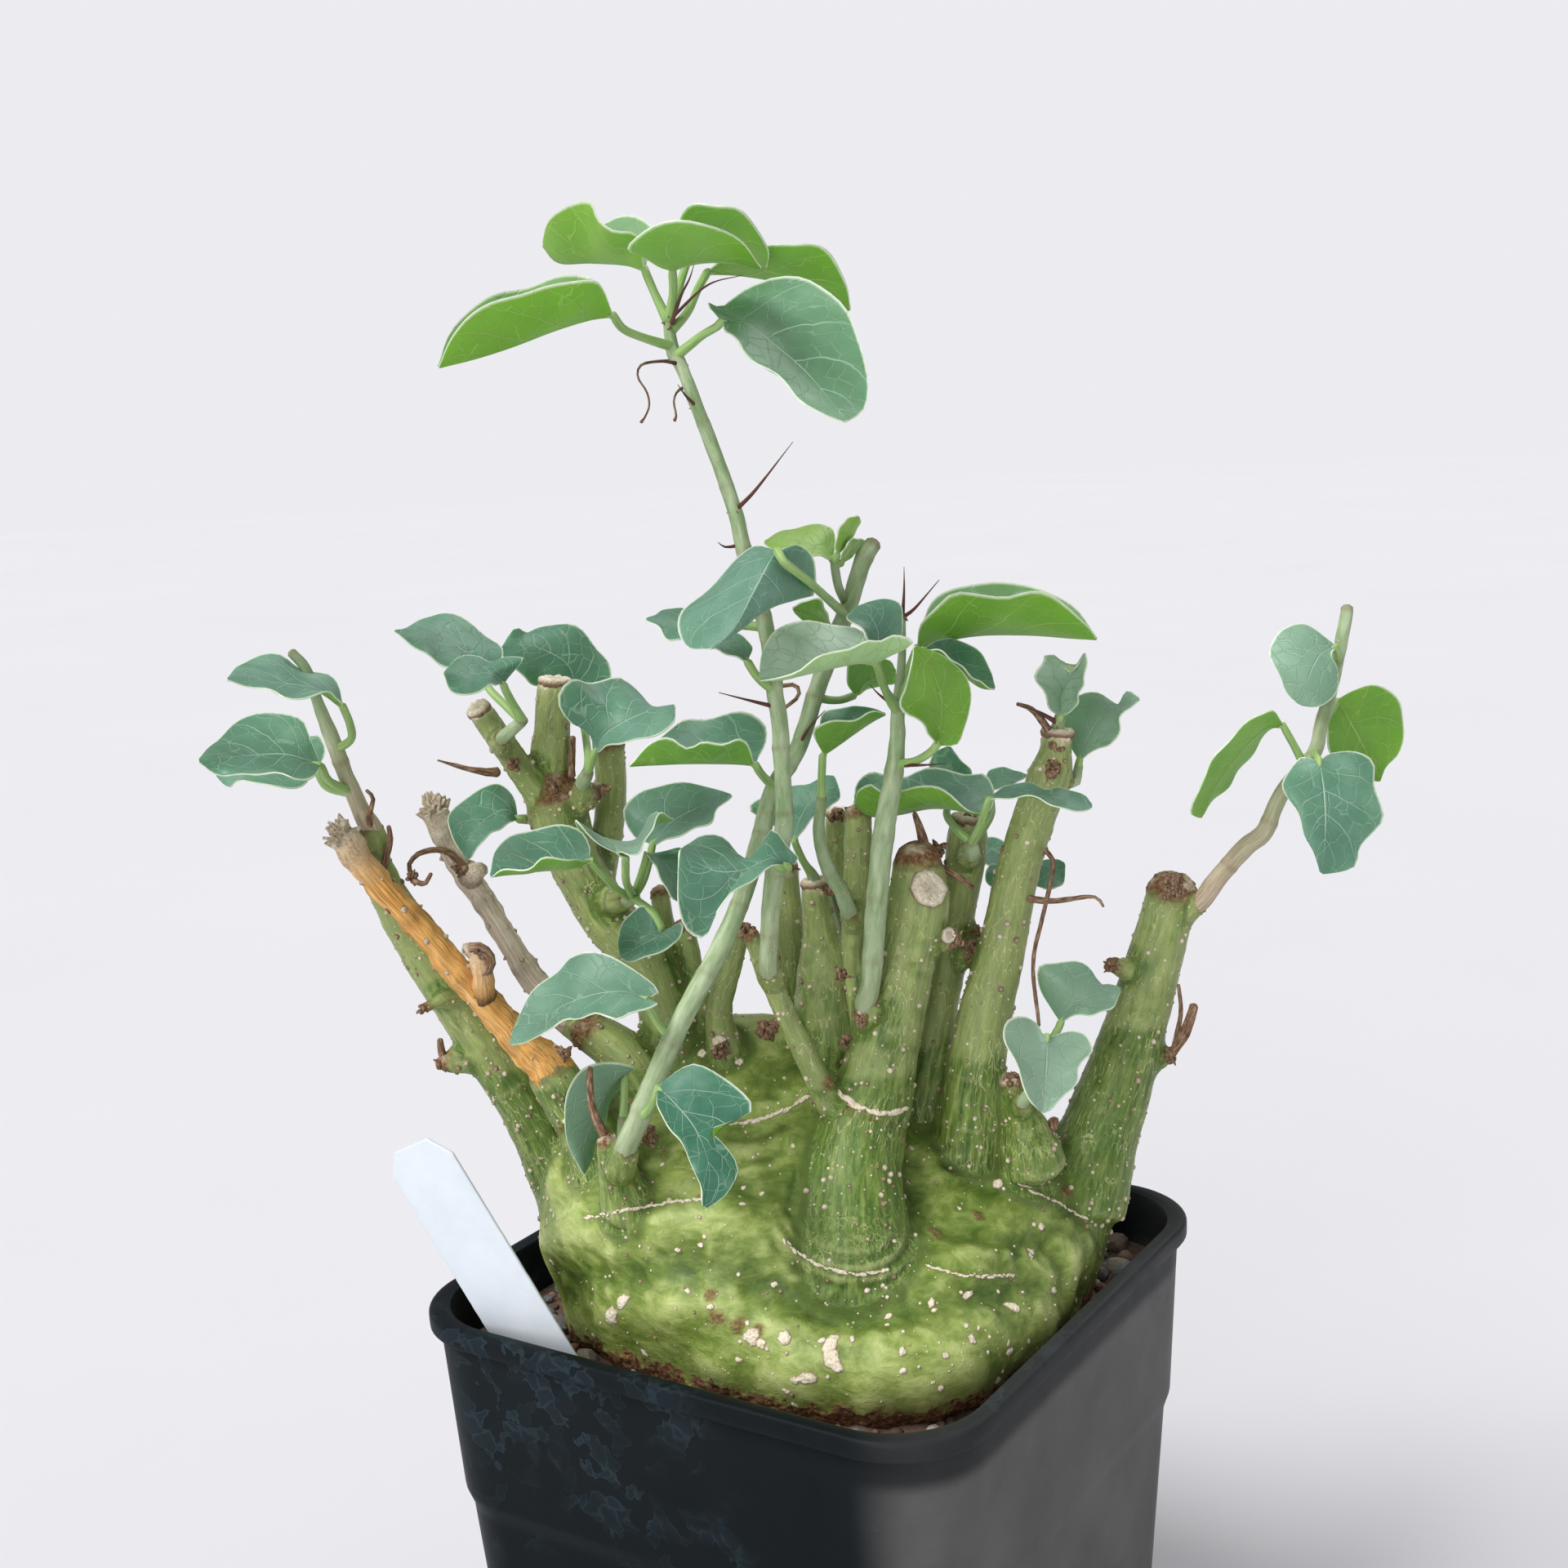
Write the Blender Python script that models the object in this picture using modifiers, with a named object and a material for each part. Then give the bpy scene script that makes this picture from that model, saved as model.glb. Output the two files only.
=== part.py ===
"""Potted adenia: a swollen green caudex with thick cut stems, leafy thorny shoots, gravel, a label and its pot.

Lengths in the tables are millimetres and become metres where a mesh is made. The plant was laid out by eye on
a square picture of PICTURE pixels a side, so a place on it is written as (across, down, back): two pixels of
that picture and the distance behind the pot's upright axis, in millimetres.
"""

import math

import bmesh
import bpy
from mathutils import Matrix, Vector, noise

# Driving dimensions, in millimetres.
POT_HEIGHT = 130.0
POT_TOP_HALF = 65.8
POT_BASE_HALF = 56.7
POT_CORNER = 20.0
POT_WALL = 1.3
POT_FLOOR = 2.0
LIP_HALF = 67.4
LIP_WIDTH = 4.0
LIP_HEIGHT = 4.5
SHOULDER_DOWN = 42.0
SHOULDER_STEP = 1.2
DRAIN_RADIUS = 4.0
DRAIN_REACH = 34.0
GRAVEL_DOWN = 13.0
GRAVEL_LUMP = 1.3
GRAVEL_PITCH = 6.0
CLEARANCE = 0.3
LEAF_THICKNESS = 0.7
LEAF_END = 0.5
PETIOLE_RADIUS = 1.0
LABEL_WIDTH = 17.5
LABEL_THICKNESS = 0.8

# The picture that the plant was laid out on: where its eye stands and how it looks at the pot.
PICTURE = 1920.0
FOCAL = 2500.0
EYE = Vector((-2.3, -431.1, 192.8))
LOOK_DOWN = math.radians(11.12)
LEAN = math.radians(-2.97)
TURN = Matrix.Rotation(math.radians(33.0), 3, "Z")

COLOURS = {
    "green_bark": ((0.20, 0.30, 0.07), 0.55),
    "tan_wood": ((0.62, 0.36, 0.12), 0.7),
    "grey_wood": ((0.50, 0.44, 0.36), 0.75),
    "leaf_green": ((0.12, 0.30, 0.17), 0.5),
    "black_plastic": ((0.02, 0.025, 0.03), 0.4),
    "stone": ((0.36, 0.27, 0.23), 0.85),
    "white_plastic": ((0.85, 0.86, 0.87), 0.4),
}


# Places on the picture.

def spot(place):
    """The point, in the part's frame and in millimetres, that shows at a place (across, down, back)."""
    across, down, back = place[:3]
    du = across - PICTURE / 2
    dv = down - PICTURE / 2
    right = (math.cos(LEAN) * du + math.sin(LEAN) * dv) / FOCAL
    up = (math.sin(LEAN) * du - math.cos(LEAN) * dv) / FOCAL
    sight = Vector((
        right,
        math.cos(LOOK_DOWN) + up * math.sin(LOOK_DOWN),
        -math.sin(LOOK_DOWN) + up * math.cos(LOOK_DOWN),
    ))
    point = EYE + sight * ((back - EYE.y) / sight.y)
    return TURN @ point + Vector((0, 0, POT_HEIGHT))


def route_length(points):
    """The length of a route of straight steps."""
    return sum((b - a).length for a, b in zip(points, points[1:]))


def nearest_on(routes, place):
    """The point of some routes, each a list of points, that lies nearest to a place."""
    best = None
    for route in routes:
        for a, b in zip(route, route[1:]):
            step = b - a
            share = max(0.0, min(1.0, (place - a).dot(step) / max(step.length_squared, 1e-9)))
            point = a + step * share
            if best is None or (point - place).length < (best - place).length:
                best = point
    return best


def smooth_route(points, count):
    """A smooth curve through the points, read at equal steps: count + 1 points, ends included."""
    fine = []
    padded = [points[0] * 2 - points[1]] + list(points) + [points[-1] * 2 - points[-2]]
    steps = 12
    for i in range(1, len(padded) - 2):
        before, here, there, after = padded[i - 1:i + 3]
        for k in range(steps):
            t = k / steps
            fine.append(0.5 * (2 * here + (there - before) * t
                               + (2 * before - 5 * here + 4 * there - after) * t * t
                               + (3 * here - before - 3 * there + after) * t ** 3))
    fine.append(padded[-2])
    reach = [0.0]
    for a, b in zip(fine, fine[1:]):
        reach.append(reach[-1] + (b - a).length)
    route = []
    j = 0
    for k in range(count + 1):
        goal = reach[-1] * k / count
        while j < len(fine) - 2 and reach[j + 1] < goal:
            j += 1
        span = max(reach[j + 1] - reach[j], 1e-9)
        route.append(fine[j].lerp(fine[j + 1], (goal - reach[j]) / span))
    return route


# Woody stems of the caudex, each a route of (across, down, back, radius), from its foot up.
WOOD = {
    "far_left_stem": [(700, 1460, 2, 8.0), (672, 1400, 1, 6.9), (642, 1345, 0, 6.3), (606, 1293, -1, 5.9),
                      (566, 1235, -2, 5.4), (530, 1183, -3, 5.0), (498, 1133, -4, 4.5), (473, 1089, -5, 3.8),
                      (458, 1050, -6, 3.2), (455, 1020, -6, 2.7)],
    "far_left_knob": [(590, 1295, -2, 3.4), (562, 1298, -3, 2.9), (545, 1303, -3, 2.4)],
    "far_left_twig": [(566, 1219, -5, 1.8), (542, 1226, -9, 1.3), (516, 1235, -11, 1.2)],
    "tan_stump": [(745, 1440, -14, 6.6), (720, 1388, -13, 5.9), (700, 1350, -12, 5.4)],
    "grey_stump": [(790, 1330, -4, 5.5), (763, 1292, -2, 5.2), (731, 1268, 0, 4.7), (716, 1258, 1, 4.2)],
    "left_tree": [(842, 1350, 0, 7.0), (820, 1283, 3, 6.0), (815, 1235, 4, 6.0), (790, 1175, 6, 5.9),
                  (746, 1126, 8, 5.9), (720, 1085, 9, 5.7), (704, 1055, 9, 5.6), (688, 1010, 10, 6.3),
                  (680, 975, 10, 6.8), (677, 962, 10, 5.2)],
    "left_tree_outer": [(672, 990, 9, 3.6), (640, 945, 5, 2.9), (612, 905, 1, 2.7), (587, 870, -2, 2.7)],
    "left_tree_middle": [(680, 985, 10, 4.6), (673, 940, 10, 4.3), (676, 895, 10, 3.9), (679, 838, 10, 2.5)],
    "left_tree_rear": [(730, 1095, 12, 3.6), (741, 1037, 16, 3.4), (748, 980, 19, 3.4), (746, 905, 22, 3.4)],
    "left_tree_wart": [(706, 985, 6, 2.6), (722, 975, 4, 2.8), (733, 968, 3, 2.0)],
    "left_tree_node": [(738, 1104, 6, 3.4), (757, 1102, 1, 2.6), (764, 1101, -1, 2.2)],
    "front_nub": [(768, 1480, -30, 5.0), (757, 1438, -32, 4.0), (746, 1412, -34, 2.5), (742, 1392, -34.5, 1.9)],
    "rear_stem_a": [(880, 1290, 2, 4.0), (858, 1235, 4, 2.9), (845, 1180, 6, 2.7), (836, 1130, 8, 2.5)],
    "rear_stem_b": [(890, 1290, -6, 4.0), (880, 1240, -6, 2.8), (892, 1190, -5, 2.6), (906, 1135, -4, 2.4)],
    "rear_stem_c": [(850, 1325, 8, 3.8), (856, 1240, 14, 3.0), (822, 1160, 15, 2.4), (806, 1088, 14, 2.0)],
    "sloped_stem": [(1042, 1374, -21, 3.4), (1016, 1350, -22, 3.2), (1003, 1326, -22, 2.6),
                    (975, 1270, -23, 2.3),
                    (950, 1215, -23, 2.2), (928, 1164, -23, 2.1), (917, 1138, -23, 1.4)],
    "ringed_stem": [(1000, 1350, 4, 10.0), (1019, 1280, 4, 8.4), (1016, 1225, 5, 7.8), (1013, 1190, 5, 6.8),
                    (1007, 1150, 6, 4.4), (1002, 1116, 6, 3.5), (998, 1084, 6, 2.8)],
    "pale_stem": [(985, 1250, 14, 4.0), (968, 1190, 15, 3.6), (966, 1150, 15, 3.8), (968, 1110, 15, 2.6),
                  (964, 1062, 15, 2.0)],
    "thin_stem": [(1060, 1260, -10, 3.2), (1051, 1221, -9, 2.4), (1045, 1173, -8, 2.3), (1048, 1109, -7, 2.9),
                  (1050, 1050, -4, 2.9), (1051, 991, 0, 3.0)],
    "scarred_stem": [(1028, 1180, 10, 3.4), (1022, 1110, 11, 2.9), (1025, 1060, 11, 2.6), (1026, 998, 11, 2.4)],
    "middle_foot": [(1043, 1570, -34, 15.0), (1043, 1540, -34, 13.4), (1043, 1500, -31, 11.4),
                    (1046, 1433, -25, 9.6),
                    (1060, 1375, -19, 8.4)],
    "middle_stem": [(1057, 1385, -20, 8.2), (1067, 1352, -17, 8.6), (1076, 1310, -15, 7.8),
                    (1086, 1269, -13, 7.1),
                    (1110, 1173, -11, 6.1), (1124, 1110, -10, 6.7), (1124, 1068, -9, 5.6),
                    (1122, 1040, -9, 2.6)],
    "middle_left_node": [(1085, 1240, -13, 3.8), (1063, 1242, -16, 3.0), (1056, 1240, -17, 2.6)],
    "middle_right_node": [(1135, 1148, -10, 3.4), (1156, 1148, -11, 2.8), (1168, 1152, -11, 2.2)],
    "right_middle_stem": [(1110, 1450, -4, 6.2), (1124, 1364, -2, 5.2), (1147, 1237, 1, 4.5),
                          (1165, 1140, 3, 4.2),
                          (1180, 1065, 4, 4.3), (1184, 1030, 4, 4.4), (1186, 1006, 4, 2.8)],
    "right_middle_knob": [(1165, 1180, 2, 3.0), (1185, 1168, -1, 2.4), (1195, 1164, -2, 2.2)],
    "right_middle_nodule": [(1172, 1160, 4, 2.8), (1188, 1148, 3, 2.4), (1196, 1138, 2, 1.8)],
    "right_stem": [(1178, 1470, -8, 8.0), (1183, 1420, -9, 7.0), (1192, 1330, -9, 6.3), (1207, 1240, -8, 5.7),
                   (1225, 1170, -6, 5.0), (1247, 1064, -3, 4.5), (1270, 990, -1, 4.5), (1288, 942, 0, 4.5),
                   (1294, 912, 0, 3.0), (1295, 900, 0, 2.2)],
    "right_stub": [(1268, 1430, -14, 7.0), (1262, 1403, -14, 6.0), (1254, 1371, -14, 4.0),
                   (1244, 1345, -14, 3.0),
                   (1238, 1322, -14, 1.5)],
    "far_right_stem": [(1318, 1470, 0, 11.5), (1345, 1390, 3, 8.8), (1370, 1320, 5, 7.7), (1395, 1240, 7, 6.6),
                       (1418, 1160, 9, 5.9), (1432, 1105, 10, 5.4), (1438, 1080, 10, 3.6)],
    "far_right_node": [(1436, 1122, 10, 4.0), (1456, 1112, 8, 3.0), (1466, 1106, 7, 2.5)],
    "far_right_knob_a": [(1390, 1190, 6, 2.6), (1368, 1184, 5, 2.0), (1358, 1182, 5, 1.5)],
    "far_right_knob_b": [(1405, 1300, 6, 2.8), (1425, 1295, 4, 2.2), (1434, 1292, 4, 1.7)],
}

# The swollen body of the caudex as rings: the height from the rim, then sixteen (x, y) places of the picture's own
# axes, from the left side round the front, the right side and the back.
BODY = [
    (-30, [(-38, 0), (-33, -12), (-24, -21), (-11, -31), (6, -36), (18, -34), (28, -25), (38, -8), (41, 2),
           (35, 15), (25, 22), (12, 26), (0, 27), (-12, 26), (-24, 22), (-33, 12)]),
    (-22, [(-51, 0), (-44, -16), (-32, -28), (-15, -42), (8, -50), (24, -47), (37, -34), (51, -10), (55, 2),
           (48, 20), (34, 30), (17, 35), (0, 36), (-17, 34), (-33, 28), (-45, 16)]),
    (-12, [(-57, 0), (-50, -18), (-36, -31), (-18, -46), (8, -56), (26, -53), (41, -38), (57, -12), (61, 2),
           (54, 23), (38, 34), (19, 40), (0, 41), (-19, 38), (-37, 31), (-50, 18)]),
    (-4, [(-58.5, 0), (-51, -20), (-36.5, -34), (-18, -49), (8, -59.5), (27, -57.5), (42.5, -42), (58, -14),
          (64, 2),
          (56, 24), (39, 35), (19, 41), (0, 42), (-19, 39), (-38, 32), (-51, 18)]),
    (4, [(-61, 0), (-52, -20.5), (-37, -37), (-18, -47.5), (8, -57), (26, -56), (42.5, -39), (59, -14),
         (66.5, 3),
         (57, 24), (39, 34), (19, 40), (0, 41), (-19, 39), (-39, 32), (-53, 18)]),
    (12, [(-62, 0), (-52.5, -21.5), (-36.5, -38), (-18, -45.5), (7, -47), (25, -45), (42.5, -29), (58, -10),
          (67.5, 4),
          (56, 23), (38, 31), (19, 37), (0, 39), (-19, 37), (-39, 31), (-54, 18)]),
    (20, [(-61.5, 0), (-51.5, -21), (-36, -37), (-17.5, -43), (6, -38), (24, -28), (41, -18), (55, -6), (65, 6),
          (52, 19), (35, 27), (18, 33), (0, 36), (-19, 35), (-38, 29), (-53, 17)]),
    (28, [(-59.5, 0), (-50, -18), (-35, -33), (-17.5, -38), (5, -31), (20, -18), (33, -8), (43, 0), (46, 8),
          (40, 16), (28, 22), (15, 27), (0, 31), (-18, 31), (-37, 26), (-51, 15)]),
    (36, [(-53, 2), (-45, -10), (-32, -22), (-17, -27), (1, -23), (12, -12), (19, -4), (24, 2), (26, 8),
          (22, 14), (16, 18), (8, 22), (-2, 24), (-17, 24), (-33, 20), (-46, 13)]),
    (44, [(-42, 4), (-37, -4), (-27, -11), (-16, -15), (-3, -12), (5, -6), (8, -1), (10, 3), (10, 7),
          (8, 11), (4, 14), (-1, 16), (-8, 18), (-17, 18), (-28, 16), (-37, 11)]),
    (51, [(-30, 4), (-28, -1), (-22, -5), (-15, -7), (-8, -5), (-3, -2), (-1, 1), (0, 3), (0, 6),
          (-1, 8), (-4, 10), (-7, 11), (-11, 12), (-17, 12), (-23, 11), (-28, 8)]),
    (55.5, [(-20, 3), (-19, 2), (-17, 0), (-15, -1), (-12, 0), (-10, 1), (-9, 2), (-8, 3), (-8, 4),
            (-9, 5), (-10, 6), (-12, 6), (-14, 7), (-16, 7), (-18, 6), (-19, 5)]),
]
BODY_BURIED = 3

# Dead branches: a root inside the stump, then routes of (across, down, back, radius) out to the broken end.
DEAD = {
    "branch_tan": {
        "root": (702, 1356, -12),
        "stems": [[(672, 1308, -12, 4.9), (645, 1281, -12, 3.9), (620, 1255, -12.5, 3.4), (583, 1214, -13, 3.2),
                   (546, 1172, -13.5, 3.1), (511, 1131, -14, 2.9), (475, 1094, -14, 2.8), (440, 1053, -14, 2.9),
                   (420, 1024, -14, 3.2)],
                  [(594, 1224, -14, 2.2), (592, 1203, -16, 2.4), (588, 1180, -17, 2.0), (580, 1165, -17, 1.8),
                   (568, 1163, -18, 1.3)]],
    },
    "branch_grey": {
        "root": (724, 1264, 1),
        "stems": [[(694, 1246, 2, 3.3), (668, 1215, 3, 2.8), (651, 1197, 4, 2.7), (622, 1152, 5, 2.6),
                   (593, 1103, 6, 2.5), (571, 1072, 6, 2.7), (549, 1034, 6, 2.8), (533, 994, 6, 3.0)],
                  [(574, 1078, 5, 2.4), (583, 1068, 3, 2.2), (592, 1063, 2, 1.4)]],
    },
}

# Leafy shoots. Each has a seat on the caudex, woody routes, thorns, stalks and leaves. A leaf has a stalk, a
# base, a tip and three rows between them: one edge, the middle and the other edge.
SHOOTS = {
    "shoot_far_left": {
        "root": (460, 1036, -6),
        "stems": [[(453, 1012, -6.6, 2.4), (441, 990, -7, 1.9), (423, 948, -8, 1.7), (407, 906, -9, 1.7),
                   (391, 865, -10, 1.2), (375, 820, -11, 1.1), (357, 799, -12, 1.0)]],
        "leaves": {
            "L1": ([(412, 918, -9), (430, 905, -12), (428, 885, -16), (421, 868, -20)],
                   (420, 865, -21), (278, 832, -34),
                   [(415, 845, -14), (401, 826, -10), (370, 819, -10), (340, 803, -12), (312, 804, -16),
                    (290, 818, -24)],
                   [(390, 845, -24), (345, 838, -26), (305, 832, -30)],
                   [(407, 849, -30), (385, 852, -34), (349, 855, -36), (326, 843, -34), (298, 840, -34)]),
            "L2": ([(432, 971, -8), (404, 957, -13), (395, 942, -16)],
                   (392, 937, -18), (243, 932, -28),
                   [(378, 900, -10), (366, 880, -7), (327, 871, -6), (290, 885, -9), (262, 910, -18)],
                   [(350, 925, -18), (310, 926, -20), (275, 929, -24)],
                   [(385, 950, -26), (362, 955, -30), (335, 946, -30), (305, 948, -30), (270, 950, -28)]),
            "L3": ([(432, 971, -7), (402, 965, -3), (390, 948, 0)],
                   (388, 940, 2), (266, 950, 10),
                   [(398, 920, 6), (392, 902, 9), (370, 900, 14), (320, 905, 16), (285, 925, 14)],
                   [(365, 945, 2), (320, 940, 4), (290, 945, 6)],
                   [(370, 962, -2), (335, 964, -4), (300, 955, -2), (280, 964, 4)]),
        },
    },
    "spray_left_top": {
        "root": (612, 912, 0),
        "stems": [[(616, 903, -5.5, 1.5), (624, 896, -8, 1.4), (636, 886, -11, 1.2), (640, 881, -12, 1.2)]],
        "leaves": {
            "C1": ([(638, 883, -12), (620, 865, -10), (600, 845, -7)],
                   (592, 830, -5), (483, 773, -12),
                   [(612, 812, 0), (614, 792, 4), (592, 776, 6), (561, 755, 6), (541, 750, 4), (521, 757, 0),
                    (500, 768, -6)],
                   [(570, 800, -4), (540, 783, -5), (512, 776, -9)],
                   [(570, 826, -10), (543, 815, -12), (517, 799, -13), (496, 784, -13)]),
            "C2": ([(639, 882, -12), (628, 862, -15), (619, 845, -18)],
                   (616, 837, -19), (543, 824, -28),
                   [(637, 812, -15), (640, 806, -14), (618, 804, -14), (600, 812, -14), (584, 804, -15),
                    (565, 803, -18)],
                   [(603, 826, -21), (580, 826, -23), (562, 826, -26)],
                   [(602, 839, -26), (590, 845, -28), (570, 852, -30), (552, 846, -30)]),
        },
    },
    "spray_left_junction": {
        "root": (712, 982, 5),
        "stems": [[(713, 959, 0, 1.6), (717, 952, -2, 1.5), (720, 945, -3, 1.3)]],
        "leaves": {
            "C3": ([(720, 947, -2), (720, 928, 7), (716, 895, 18), (710, 864, 21)],
                   (706, 850, 21), (612, 798, 14),
                   [(745, 838, 24), (746, 812, 27), (732, 795, 28), (704, 767, 28), (665, 766, 25),
                    (645, 776, 21), (630, 769, 17)],
                   [(695, 815, 21), (668, 797, 19), (640, 790, 16)],
                   [(685, 842, 18), (655, 840, 16), (640, 828, 14), (624, 812, 13)]),
            "C4": ([(720, 946, -3), (724, 934, -4), (727, 924, -5)],
                   (728, 921, -5), (826, 864, -10),
                   [(722, 896, -6), (698, 884, -8), (683, 857, -8), (696, 834, -6), (722, 836, 2),
                    (755, 829, 6),
                    (774, 842, 6), (800, 866, 0), (815, 866, -4)],
                   [(742, 898, -6), (770, 882, -8), (800, 870, -9)],
                   [(741, 915, -10), (761, 909, -14), (789, 905, -16), (811, 896, -16), (826, 884, -14)]),
        },
    },
    "leaf_left_low": {
        "root": (672, 1003, 9),
        "stems": [[(647, 1003, 8, 1.2), (636, 1003, 6, 1.0)]],
        "leaves": {
            "C5": ([(642, 1003, 7), (637, 1003, 6)],
                   (633, 1002, 5.5), (573, 1051, -5),
                   [(628, 975, 9), (616, 962, 9), (601, 961, 7), (575, 974, 4), (549, 998, -1),
                    (552, 1018, -4), (559, 1035, -5)],
                   [(618, 992, 4), (595, 1003, 1), (575, 1025, -3)],
                   [(624, 1008, 1), (612, 1015, -2), (592, 1028, -6), (583, 1042, -7)]),
        },
    },
    "spray_left_middle": {
        "root": (755, 1103, 1),
        "stems": [[(768, 1101, -2, 1.9), (772, 1100, -4, 1.7), (777, 1098, -6, 1.4)]],
        "leaves": {
            "C6": ([(770, 1100, -5), (757, 1090, -11), (740, 1073, -16), (727, 1058, -19)],
                   (722, 1053, -20), (601, 1073, -26),
                   [(722, 1036, -12), (712, 1018, -9), (688, 1011, -8), (660, 1014, -9), (626, 1024, -12),
                    (606, 1042, -20)],
                   [(700, 1061, -20), (660, 1065, -22), (625, 1069, -25)],
                   [(704, 1053, -28), (682, 1050, -31), (665, 1052, -32), (648, 1063, -31), (615, 1066, -29)]),
            "C7": ([(770, 1100, -6), (767, 1080, -16), (766, 1056, -22)],
                   (766, 1050, -24), (824, 1003, -18),
                   [(735, 1034, -26), (705, 1006, -28), (712, 1016, -20), (752, 1031, -14), (775, 1030, -12),
                    (800, 996, -12)],
                   [(752, 1040, -24), (745, 1030, -20), (775, 1038, -18), (800, 1010, -16)],
                   [(760, 1048, -26), (758, 1044, -26), (783, 1044, -26), (797, 1015, -24), (810, 996, -22)]),
            "C8": ([(774, 1099, -5), (788, 1078, -4), (796, 1050, -4)],
                   (799, 1034, -4), (896, 974, -2),
                   [(776, 1024, 2), (763, 996, 6), (777, 975, 9), (794, 965, 10), (831, 959, 10),
                    (865, 963, 6)],
                   [(822, 1008, 0), (850, 992, 2), (875, 981, 0)],
                   [(811, 1031, -8), (839, 1020, -9), (868, 1009, -8), (878, 992, -5)]),
            "C10": ([(775, 1098, -6), (784, 1075, -9), (791, 1052, -12)],
                    (792, 1045, -12), (833, 1104, -14),
                    [(803, 1062, -18), (815, 1088, -19), (825, 1101, -17)],
                    [(815, 1060, -13), (828, 1083, -14)],
                    [(806, 1045, -8), (834, 1038, -8), (845, 1060, -8), (846, 1088, -10)]),
            "D2": ([(772, 1101, -5), (785, 1106, -12), (800, 1118, -16), (808, 1132, -17)],
                   (811, 1138, -17), (760, 1172, -20),
                   [(798, 1118, -16), (785, 1109, -14), (763, 1130, -13), (757, 1152, -15)],
                   [(800, 1150, -18), (780, 1161, -19)],
                   [(835, 1131, -17), (832, 1149, -20), (816, 1162, -23), (788, 1173, -24), (771, 1178, -22)]),
        },
    },
    "spray_front_left": {
        "root": (760, 1455, -26),
        "stems": [[(763, 1400, -26, 1.4), (763, 1385, -26.5, 1.3), (763, 1369, -27, 1.1)]],
        "leaves": {
            "D3": ([(763, 1374, -27), (764, 1350, -26), (765, 1325, -25.5)],
                   (765, 1313, -25.5), (714, 1437, -27),
                   [(777, 1306, -29), (748, 1302, -31), (716, 1306, -31), (700, 1326, -30), (691, 1361, -29),
                    (695, 1400, -28)],
                   [(752, 1325, -26), (728, 1360, -25), (714, 1400, -26)],
                   [(768, 1320, -22), (752, 1341, -21), (733, 1393, -22), (722, 1424, -24)]),
        },
    },
    "shoot_long": {
        "root": (760, 1432, -35),
        "stems": [[(767, 1402, -39.5, 2.3), (780, 1374, -40, 2.3), (828, 1262, -38, 2.1), (876, 1173, -33, 2.1),
                   (907, 1103, -28.5, 1.9), (930, 1030, -24, 1.9), (946, 969, -20, 1.9), (976, 919, -17, 1.8),
                   (997, 855, -14, 1.8), (1022, 785, -12, 1.8), (1041, 737, -12, 1.8), (1057, 686, -13, 1.8),
                   (1070, 665, -13, 1.7)],
                  [(1036, 738, -12, 1.0), (1027, 720, -15, 0.9), (1023, 698, -17, 0.9), (1021, 684, -18, 0.8)]],
        "thorns": [[(972, 915, -17, 0.8), (990, 892, -19, 0.7), (1010, 870, -21, 0.35)]],
        "leaves": {
            "M1": ([(1033, 752, -12), (1010, 730, -32), (985, 708, -48), (962, 690, -54), (954, 678, -53)],
                   (952, 674, -50), (873, 794, -58),
                   [(941, 671, -45), (920, 669, -42), (884, 706, -40), (858, 728, -42), (836, 750, -44),
                    (831, 774, -48),
                    (842, 793, -52)],
                   [(938, 695, -54), (920, 730, -57), (900, 768, -59)],
                   [(975, 667, -46), (993, 680, -42), (1000, 700, -40), (998, 727, -40), (978, 731, -43),
                    (930, 753, -48),
                    (906, 770, -52)]),
            "M2a": ([(1022, 686, -18), (1019, 685, -18)],
                    (1019, 685, -18), (936, 664, -24),
                    [(1022, 664, -12), (1021, 649, -10), (1009, 643, -10), (990, 644, -11), (968, 648, -14),
                     (948, 655, -19)],
                    [(1000, 672, -20), (970, 664, -22)],
                    [(1008, 682, -24), (992, 679, -27), (968, 676, -28), (945, 673, -26)]),
            "M2b": ([(1022, 686, -18), (1024, 682, -18)],
                    (1025, 680, -18), (1051, 632, -16),
                    [(1023, 665, -20), (1028, 647, -20), (1038, 635, -18)],
                    [(1032, 662, -17), (1042, 645, -16)],
                    [(1037, 665, -14), (1047, 652, -12), (1053, 640, -13)]),
            "M2c": ([(1022, 690, -17), (1027, 690, -16)],
                    (1030, 689, -16), (1063, 666, -8),
                    [(1034, 672, -18), (1044, 660, -16), (1057, 661, -11)],
                    [(1040, 675, -12), (1052, 668, -9)],
                    [(1040, 685, -12), (1052, 674, -8)]),
            "M5": ([(1025, 782, -12), (1022, 775, -16), (1019, 770, -20)],
                    (1018, 768, -20), (971, 745, -24),
                    [(1012, 750, -24), (1006, 736, -26), (996, 733, -26), (984, 737, -25)],
                    [(1004, 756, -18), (985, 750, -20)],
                    [(1010, 766, -16), (990, 764, -16), (976, 754, -20)]),
            "M8": ([(1001, 853, -14), (1014, 857, -12), (1030, 857, -9), (1042, 853, -7)],
                   (1047, 851, -6), (1096, 820, 0),
                   [(1038, 838, -10), (1037, 818, -12), (1042, 808, -12), (1064, 806, -8), (1088, 808, -3)],
                   [(1058, 835, -6), (1078, 826, -3)],
                   [(1052, 850, -3), (1070, 841, -1), (1096, 836, 2)]),
            "M10": ([(943, 960, -21), (934, 950, -26), (927, 940, -30)],
                    (924, 935, -31), (771, 937, -42),
                    [(938, 908, -24), (937, 888, -20), (918, 875, -18), (896, 873, -18), (868, 879, -20),
                     (836, 883, -24),
                     (810, 902, -32)],
                    [(900, 933, -31), (845, 933, -36), (800, 935, -40)],
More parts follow.
